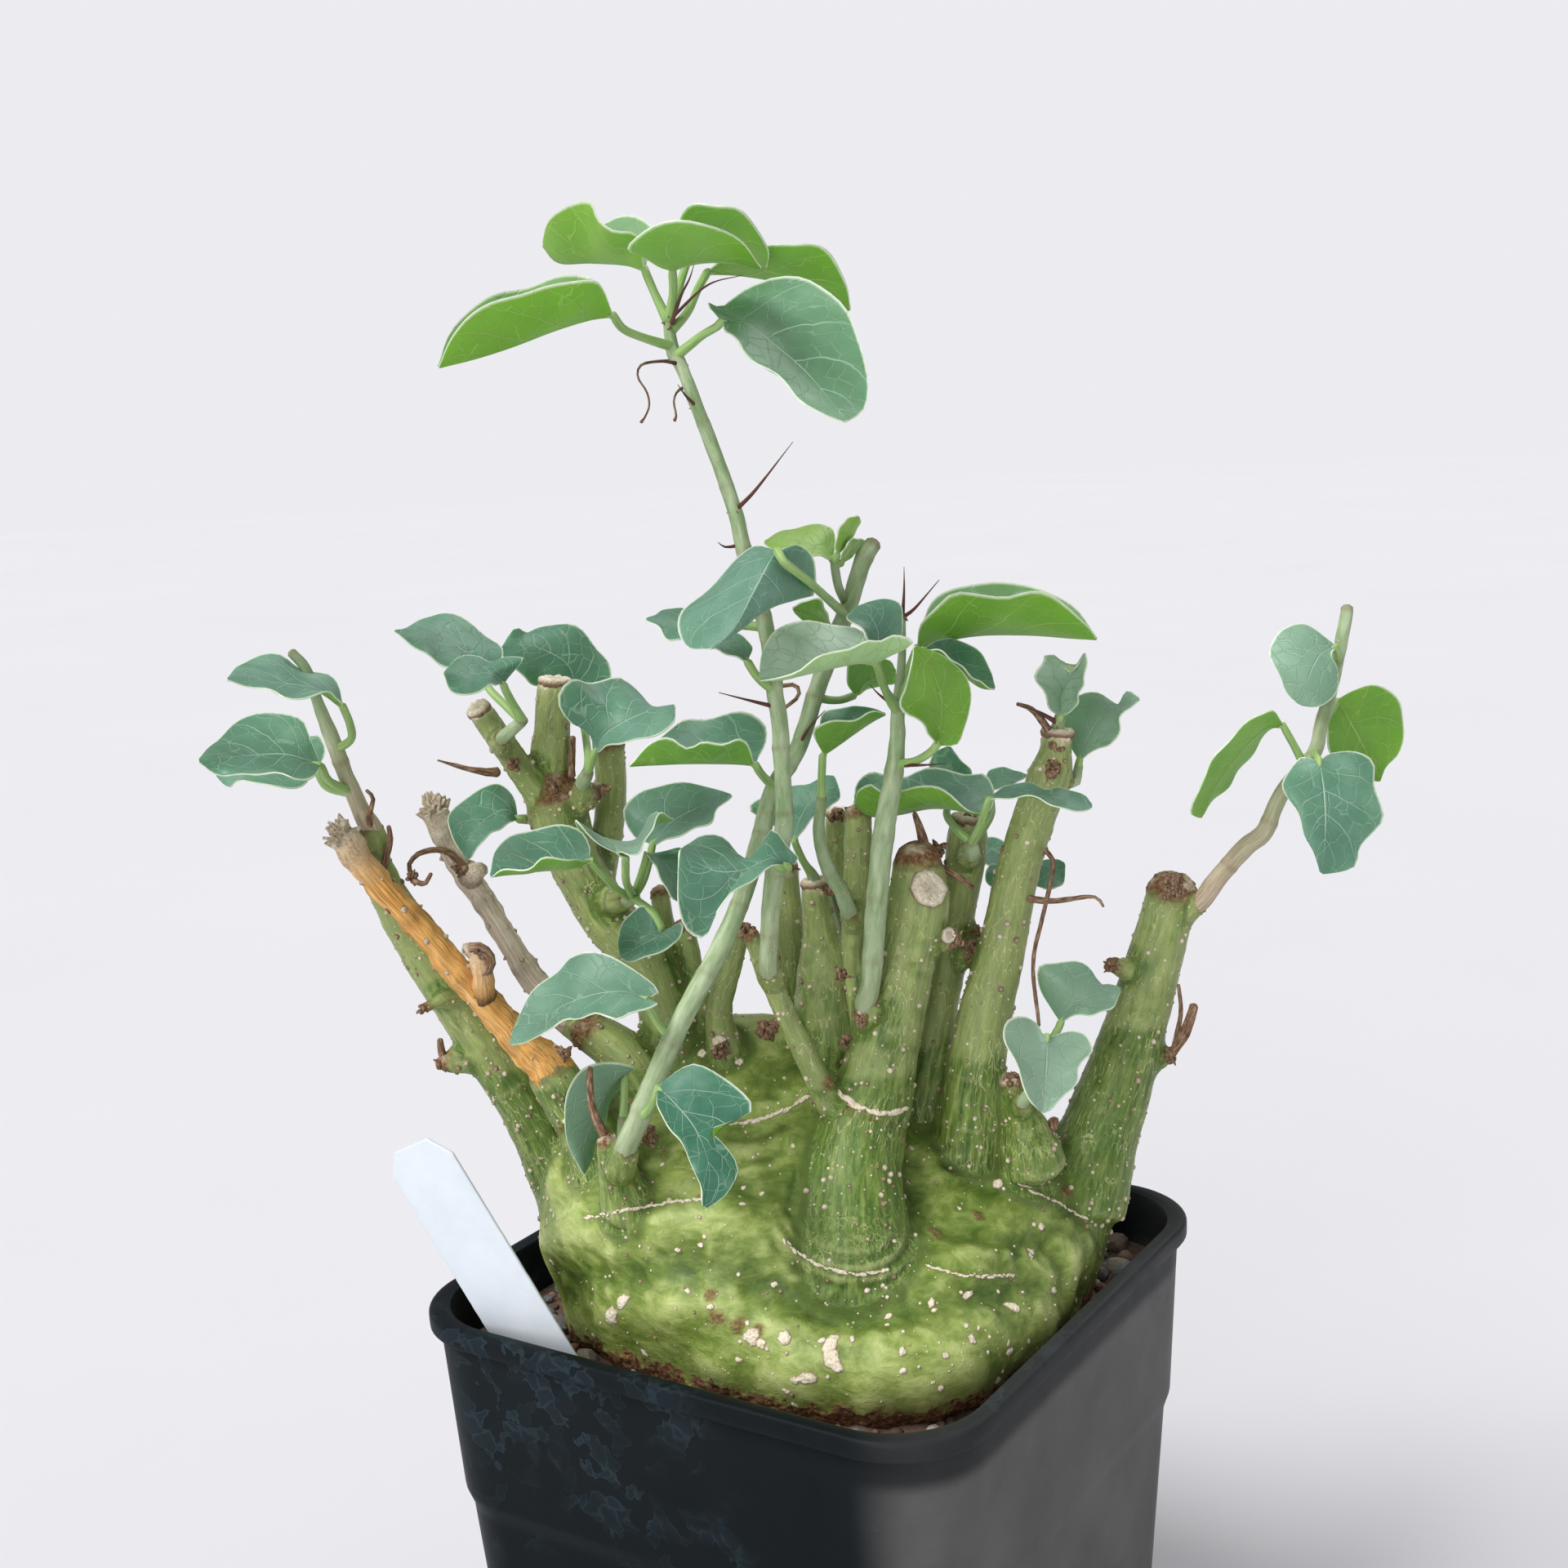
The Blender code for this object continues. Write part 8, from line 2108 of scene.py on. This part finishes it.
def make_cork(mesh, tree, look, stems, on_stem, covered):
    """The front's flaky scars and corky lines, small flakes all over the body, and the pale cut ends."""
    patches = Draft()
    for across, down, size, stretch, turn in SCARS:
        add_scar(patches, tree, on_front, (across, down), size, stretch, turn)
    for route, size in PALE_LINES:
        pale_line(patches, tree, found_on(on_front, tree, route), size)
    body = [int(k) for k in np.nonzero((on_stem < 0.2) & (covered < 0.3))[0]]
    for index in chance.sample(body, 90):
        face = mesh.polygons[index]
        if face.center.z * METRE > GRAVEL_TOP + 4.0:
            plate(patches, tree, face.center * METRE, face.normal, chance.uniform(0.25, 0.7),
                  chance.uniform(0.8, 1.8), chance.uniform(0, 3.1), 0.22, 10)
    for name, route, widths in stems:
        if TOPS.get(name) == "cut":
            along = (route[-1] - route[-3]).normalized()
            cut_face(patches, route[-1] + along * widths[-1] * 0.22, along, widths[-1] * 0.95, 0.9)
    for across, down, radius in CUT_FACES:
        centre = on_front(tree, across, down)
        out = tree.find_nearest(centre)[1]
        cut_face(patches, centre + out * 0.2, out, radius, 0.8)
    patches.build("caudex_cork", [look])


def make_back_cork(tree, look):
    """The flaky scars and corky lines on the back of the body."""
    patches = Draft()
    for turn, level, size, stretch, twist in BACK_SCARS:
        add_scar(patches, tree, on_back, (turn, level), size, stretch, twist)
    for route, size in BACK_LINES:
        pale_line(patches, tree, found_on(on_back, tree, route), size)
    patches.build("caudex_back_cork", [look])


# The pot, the gravel and the label.

def rounded_square(half, corner, level, per_corner=14):
    """A square with round corners, as a ring of points at one level."""
    ring = []
    for quarter in range(4):
        middle = math.pi / 4 + quarter * math.pi / 2
        centre = Vector((math.cos(middle), math.sin(middle), 0)) * ((half - corner) * math.sqrt(2))
        for k in range(per_corner + 1):
            angle = middle - math.pi / 4 + k / per_corner * math.pi / 2
            ring.append(centre + Vector((math.cos(angle) * corner, math.sin(angle) * corner, level)))
    return ring


def round_corner(half, at_lip=POT_CORNER):
    """The corner's radius at a half-width: smaller than at the lip, where the pot is narrower."""
    return at_lip - (LIP_HALF - half) * CORNER_SHRINK


def wall_half(down):
    """The half-width of the pot's outside, this far below the rim."""
    if down < SHOULDER_DOWN:
        return POT_TOP_HALF - POT_TAPER * down / SHOULDER_DOWN
    if down < SHOULDER_DOWN + SHOULDER_HEIGHT:
        return POT_TOP_HALF - POT_TAPER - SHOULDER_STEP * (down - SHOULDER_DOWN) / SHOULDER_HEIGHT
    foot_share = (down - SHOULDER_DOWN - SHOULDER_HEIGHT) / (POT_HEIGHT - SHOULDER_DOWN - SHOULDER_HEIGHT)
    top = POT_TOP_HALF - POT_TAPER - SHOULDER_STEP
    return top + (POT_BASE_HALF - top) * foot_share


def inner_half(down):
    """The half-width of the pot's inside, this far below the rim."""
    return wall_half(down) - POT_WALL


def pot_outside():
    """The pot's outside from its lip to its foot, as (half-width, level from the rim)."""
    outside = [(LIP_HALF - LIP_WIDTH / 2 - 0.8, 0.0)]
    for k in range(1, 7):
        angle = math.pi / 2 * (1 - k / 6)
        outside.append((LIP_HALF - LIP_ROUND + LIP_ROUND * math.cos(angle),
                        -LIP_ROUND + LIP_ROUND * math.sin(angle)))
    outside += [(LIP_HALF, -2.4), (LIP_HALF - 0.05, -LIP_HEIGHT + 0.6), (LIP_HALF - 0.35, -LIP_HEIGHT + 0.15),
                (LIP_HALF - 0.8, -LIP_HEIGHT), (wall_half(LIP_HEIGHT) + 0.3, -LIP_HEIGHT - 0.05),
                (wall_half(LIP_HEIGHT), -LIP_HEIGHT - 0.4)]
    for down in (12, 20, 28, 36, 40.5, 41.6, 42.2, 43.2, 44.4, 45.6, 46.3, 47.5, 56, 70, 85, 100, 115, 124,
                 127):
        outside.append((wall_half(down), -down))
    foot = wall_half(POT_HEIGHT)
    return outside + [(foot, -128.6), (foot - 0.35, -129.4), (foot - 1.0, -130.0), (foot - 2.2, -130.0)]


def pot_inside():
    """The pot's inside from its lip to its floor, in the same way."""
    lip = LIP_HALF - LIP_WIDTH
    return [(LIP_HALF - LIP_WIDTH / 2 - 1.0, -0.12), (lip + 0.35, -0.35), (lip + 0.05, -0.9),
            (lip, -LIP_HEIGHT), (inner_half(20), -20), (inner_half(SHOULDER_DOWN - 0.1), -SHOULDER_DOWN),
            (inner_half(SHOULDER_DOWN + SHOULDER_HEIGHT), -SHOULDER_DOWN - SHOULDER_HEIGHT),
            (inner_half(90), -90), (inner_half(POT_HEIGHT) - 1.2, -POT_HEIGHT + POT_FLOOR)]


def drain_cutter():
    """Four round bars where the drain holes are."""
    holes = Draft()
    sides = 32
    for k in range(4):
        angle = math.pi / 4 + k * math.pi / 2
        middle = Vector((math.cos(angle), math.sin(angle), 0)) * DRAIN_REACH
        bar = [middle + Vector((math.cos(turn) * DRAIN_RADIUS, math.sin(turn) * DRAIN_RADIUS, level))
               for level in (-6, 8) for turn in np.linspace(0, 2 * math.pi, sides, endpoint=False)]
        holes.add(bar, loft_faces(2, sides))
    return linked("drain_cutter", new_mesh("drain_cutter", holes.points, holes.faces))


def make_pot():
    """The pot with a rounded lip, a stepped shoulder, a rounded foot and open drain holes."""
    outside = pot_outside()
    profile = outside + pot_inside()[::-1]
    rings = [rounded_square(half, round_corner(half), POT_HEIGHT + level) for half, level in profile]
    around = len(rings[0])
    under, floor = len(outside) - 1, len(outside)
    faces = []
    for low in range(len(rings)):
        high = (low + 1) % len(rings)
        if low != under:
            for i in range(around):
                a, b = low * around + i, low * around + (i + 1) % around
                faces.append((a, a + (high - low) * around, b + (high - low) * around, b))
    faces.append(tuple(under * around + i for i in range(around))[::-1])
    faces.append(tuple(floor * around + i for i in range(around)))
    draft = Draft()
    draft.add([place for ring in rings for place in ring], faces)
    pot = draft.build("pot_shell", [make_pot_look()], ["pot"], 35)
    cutter = drain_cutter()
    hole = pot.modifiers.new("drains", "BOOLEAN")
    hole.operation = "DIFFERENCE"
    hole.object = cutter
    hole.solver = "EXACT"
    cut = applied(pot)
    pot.modifiers.clear()
    pot.data = cut
    bpy.data.objects.remove(cutter)


def make_bed(half, corner):
    """The filling, with a lumpy top between the stones."""
    rings = []
    foot = inner_half(POT_HEIGHT) - 1.6
    sides = [(foot, POT_HEIGHT - POT_FLOOR - 0.3)]
    sides += [(inner_half(down) - 0.45, down) for down in (90, SHOULDER_DOWN + 5, SHOULDER_DOWN)]
    for near, down in sides:
        rings.append(rounded_square(near, round_corner(near, POT_CORNER - POT_WALL), POT_HEIGHT - down))
    edge = rounded_square(half, corner, 0.0)
    steps = 26
    for k in range(steps):
        share = 1.0 - k / steps
        ring = []
        for place in edge:
            point = Vector((place.x * share, place.y * share, GRAVEL_TOP))
            lump = bumpy(point, 0.2) + 0.5 * bumpy(point, 0.5, 2.0)
            point.z += 1.2 * lump * min(1.0, (1 - share) * 12)
            ring.append(point)
        rings.append(ring)
    draft = Draft()
    draft.add([place for ring in rings for place in ring], loft_faces(len(rings), len(edge)))
    draft.build("gravel_bed", [make_stone_look("gravel_bed", False)], ["gravel"], 50)


def stone_fits(x, y, size, limit, corner, laid):
    """Whether a stone lies inside the pot's round corners and clear of the stones laid before it."""
    over = abs(x) - (limit - corner), abs(y) - (limit - corner)
    if over[0] > 0 and over[1] > 0 and math.hypot(*over) > corner - size * 0.6:
        return False
    if max(abs(x), abs(y)) > limit - size * 0.5:
        return False
    return all((x - a) ** 2 + (y - b) ** 2 >= (0.78 * (size + other)) ** 2 for a, b, other in laid)


def clear_of_skin(tree, centre, size):
    """Whether a stone lies clear of the caudex's skin."""
    place = centre * MM
    hit = tree.find_nearest(place)
    if hit[0] is None or (place - hit[0]).length >= 0.03:
        return True
    return (place - hit[0]).dot(hit[1]) * METRE >= size * 0.55


def stone_points(centre, size, ball):
    """A stone: a ball made partly angular, lumpy and flattened, turned any way and a little tilted."""
    shape = Vector((chance.uniform(0.8, 1.2), chance.uniform(0.75, 1.1), chance.uniform(0.6, 0.9))) * size
    turned = Matrix.Rotation(chance.uniform(0, 6.28), 3, "Z")
    spin = turned @ Matrix.Rotation(chance.uniform(-0.5, 0.5), 3, "X")
    shift = chance.uniform(0, 90)
    points = []
    for place in ball:
        flat = Vector([round(value * 2.2) / 2.2 for value in place])
        place = place.lerp(flat.normalized() if flat.length > 0.2 else place, 0.35)
        place = place * (1.0 + 0.28 * bumpy(place, 1.3, shift))
        points.append(centre + spin @ (place * shape))
    return points


def make_gravel(skin):
    """The gravel: a lumpy bed and loose stones of many sizes that lie on it."""
    half = inner_half(GRAVEL_DOWN) - GRAVEL_GAP
    corner = round_corner(half, POT_CORNER - POT_WALL)
    make_bed(half, corner)
    ball, faces = round_ball(2)
    tree = BVHTree.FromObject(skin, bpy.context.evaluated_depsgraph_get())
    limit = half - 1.2
    stones = Draft()
    laid = []
    for _ in range(STONE_TRIES):
        size = chance.choice(STONE_SIZES) * chance.uniform(0.85, 1.1)
        x, y = chance.uniform(-limit, limit), chance.uniform(-limit, limit)
        centre = Vector((x, y, GRAVEL_TOP + size * 0.25))
        if stone_fits(x, y, size, limit, corner, laid) and clear_of_skin(tree, centre, size):
            laid.append((x, y, size))
            points = stone_points(centre, size, ball)
            stones.add(points, faces, 0, None, None, (chance.random(), chance.random(), 0.0))
    stones.build("gravel_stones", [make_stone_look("gravel_stones", True)], ["gravel"], 32)


def label_outline(length):
    """The label's slightly rough outline with cut top corners, as (across, down) from the top's middle."""
    half = LABEL_WIDTH / 2
    corners = [(-half * 0.55, 0.0), (half * 0.55, 0.0), (half, LABEL_SHOULDER), (half, length),
               (-half, length), (-half, LABEL_SHOULDER)]
    outline = []
    for k, (x, y) in enumerate(corners):
        next_x, next_y = corners[(k + 1) % len(corners)]
        count = max(1, round(math.hypot(next_x - x, next_y - y) / 0.8))
        for i in range(count):
            across, down = x + (next_x - x) * (i / count), y + (next_y - y) * (i / count)
            rough = 0.10 * bumpy((across, down, 3.0 * k), 1.1)
            away = math.hypot(across, down - length / 2)
            outline.append((across * (1 + rough / away), down + 0.5 * rough))
    return outline


def make_label():
    """The bare label: a thin plate with cut top corners, soft edges and a slightly rough outline."""
    top = spot(LABEL_TOP)
    foot = spot(LABEL_FOOT)
    down = (foot - top).normalized()
    side = spot(LABEL_SIDE) - top
    across = (side - down * side.dot(down)).normalized()
    out = down.cross(across).normalized()
    length = (foot - top).length + LABEL_BURIED
    outline = label_outline(length)
    rings = []
    for inset, lift in ((0.35, 1.0), (0.12, 0.82), (0.0, 0.4), (0.0, -0.4), (0.12, -0.82), (0.35, -1.0)):
        ring = []
        for x, y in outline:
            off = y - length / 2
            x -= math.copysign(min(abs(x), inset), x)
            y -= math.copysign(min(abs(off), inset), off)
            ring.append(top + across * x + down * y + out * lift * LABEL_THICKNESS / 2)
        rings.append(ring)
    draft = Draft()
    draft.add([place for ring in rings for place in ring], loft_faces(len(rings), len(outline)))
    draft.build("label_plate", [make_label_look()], ["label"])


# The stage.

# The suns: where each shines from, as (across, back, up), its width in degrees and its strength.
LAMPS = {"key": (-0.6, -0.35, 0.95, 24.0, 2.35), "fill": (-0.5, -1.0, 0.3, 40.0, 1.1),
         "back": (0.5, 0.6, 0.7, 30.0, 0.6)}


def make_floor():
    """A wide round floor of plain pale paper."""
    reach = 6.0
    ring = [(math.cos(turn) * reach, math.sin(turn) * reach, 0.0)
            for turn in np.linspace(0, 2 * math.pi, 64, endpoint=False)]
    mesh = bpy.data.meshes.new("floor")
    mesh.from_pydata(ring, [], [tuple(range(len(ring)))])
    look = Look("floor_paper", 1.0, Specular_IOR_Level=0.0)
    tone = look.cloud(look.places(), 3.0, 5.0)
    colour = look.ramp(tone, (0.3, (0.665, 0.66, 0.685, 1)), (0.7, (0.68, 0.675, 0.70, 1)))
    mesh.materials.append(look.done(colour))
    floor = linked("floor", mesh)


def make_world():
    """Soft even light from all round, which the camera sees as a pale backdrop."""
    world = bpy.data.worlds.new("studio")
    bpy.context.scene.world = world
    world.use_nodes = True
    tree = world.node_tree
    light = tree.nodes["Background"]
    light.inputs["Color"].default_value = (0.97, 0.98, 1.0, 1)
    light.inputs["Strength"].default_value = 0.45
    shown = tree.nodes.new("ShaderNodeBackground")
    shown.inputs["Color"].default_value = (0.84, 0.84, 0.875, 1)
    shown.inputs["Strength"].default_value = 1.0
    choose = tree.nodes.new("ShaderNodeMixShader")
    tree.links.new(tree.nodes.new("ShaderNodeLightPath").outputs["Is Camera Ray"], choose.inputs[0])
    tree.links.new(light.outputs[0], choose.inputs[1])
    tree.links.new(shown.outputs[0], choose.inputs[2])
    tree.links.new(choose.outputs[0], tree.nodes["World Output"].inputs["Surface"])


def make_lamps():
    """Wide suns, for soft shadows."""
    for name, (across, back, up, wide, strength) in LAMPS.items():
        lamp = bpy.data.lights.new(name, "SUN")
        lamp.angle = math.radians(wide)
        lamp.energy = strength
        made = linked(name, lamp)
        made.rotation_mode = "QUATERNION"
        made.rotation_quaternion = (TURN @ -Vector((across, back, up))).to_track_quat("-Z", "Y")


def make_camera():
    """The camera at the picture's own viewing angle."""
    camera = bpy.data.cameras.new("camera")
    camera.lens = FOCAL / PICTURE * SENSOR
    camera.sensor_width = SENSOR
    camera.clip_start = 0.01
    ahead = Vector((0, math.cos(LOOK_DOWN), -math.sin(LOOK_DOWN)))
    up = Vector((0, math.sin(LOOK_DOWN), math.cos(LOOK_DOWN)))
    right = Vector((1, 0, 0)) * math.cos(LEAN) + up * math.sin(LEAN)
    above = -Vector((1, 0, 0)) * math.sin(LEAN) + up * math.cos(LEAN)
    place = Matrix((TURN @ right, TURN @ above, -(TURN @ ahead))).transposed().to_4x4()
    place.translation = CAMERA_PLACE * MM
    made = linked("camera", camera)
    made.matrix_world = place
    bpy.context.scene.camera = made


def make_stage():
    """A plain pale floor and backdrop, soft lights and the camera."""
    make_floor()
    bpy.context.scene.view_settings.view_transform = "Standard"
    make_world()
    make_lamps()
    make_camera()


def main():
    """Makes every piece. The order of the calls is the order of the random draws."""
    skin, bark = make_caudex()
    mesh = skin.data
    tree = surface_of(mesh)
    firsts = np.array([face.vertices[0] for face in mesh.polygons])
    on_stem = bark.on_stem[firsts]
    covered = np.maximum(bark.cork, bark.brown)[firsts]
    cork_look = make_cork_look()
    make_lenticels(mesh, cork_look, on_stem, covered)
    make_cork(mesh, tree, cork_look, bark.stems, on_stem, covered)
    shoot_looks = make_shoot_looks()
    leaf_looks = make_leaf_looks()
    make_dry_bits(shoot_looks)
    for name, parts in DEAD.items():
        make_dead(name, parts)
    for name, parts in SHOOTS.items():
        dress_shoot(name, parts, shoot_looks, leaf_looks)
    make_tendrils(shoot_looks)
    make_pot()
    make_gravel(skin)
    make_label()
    make_back_cork(tree, cork_look)
    make_stage()


main()
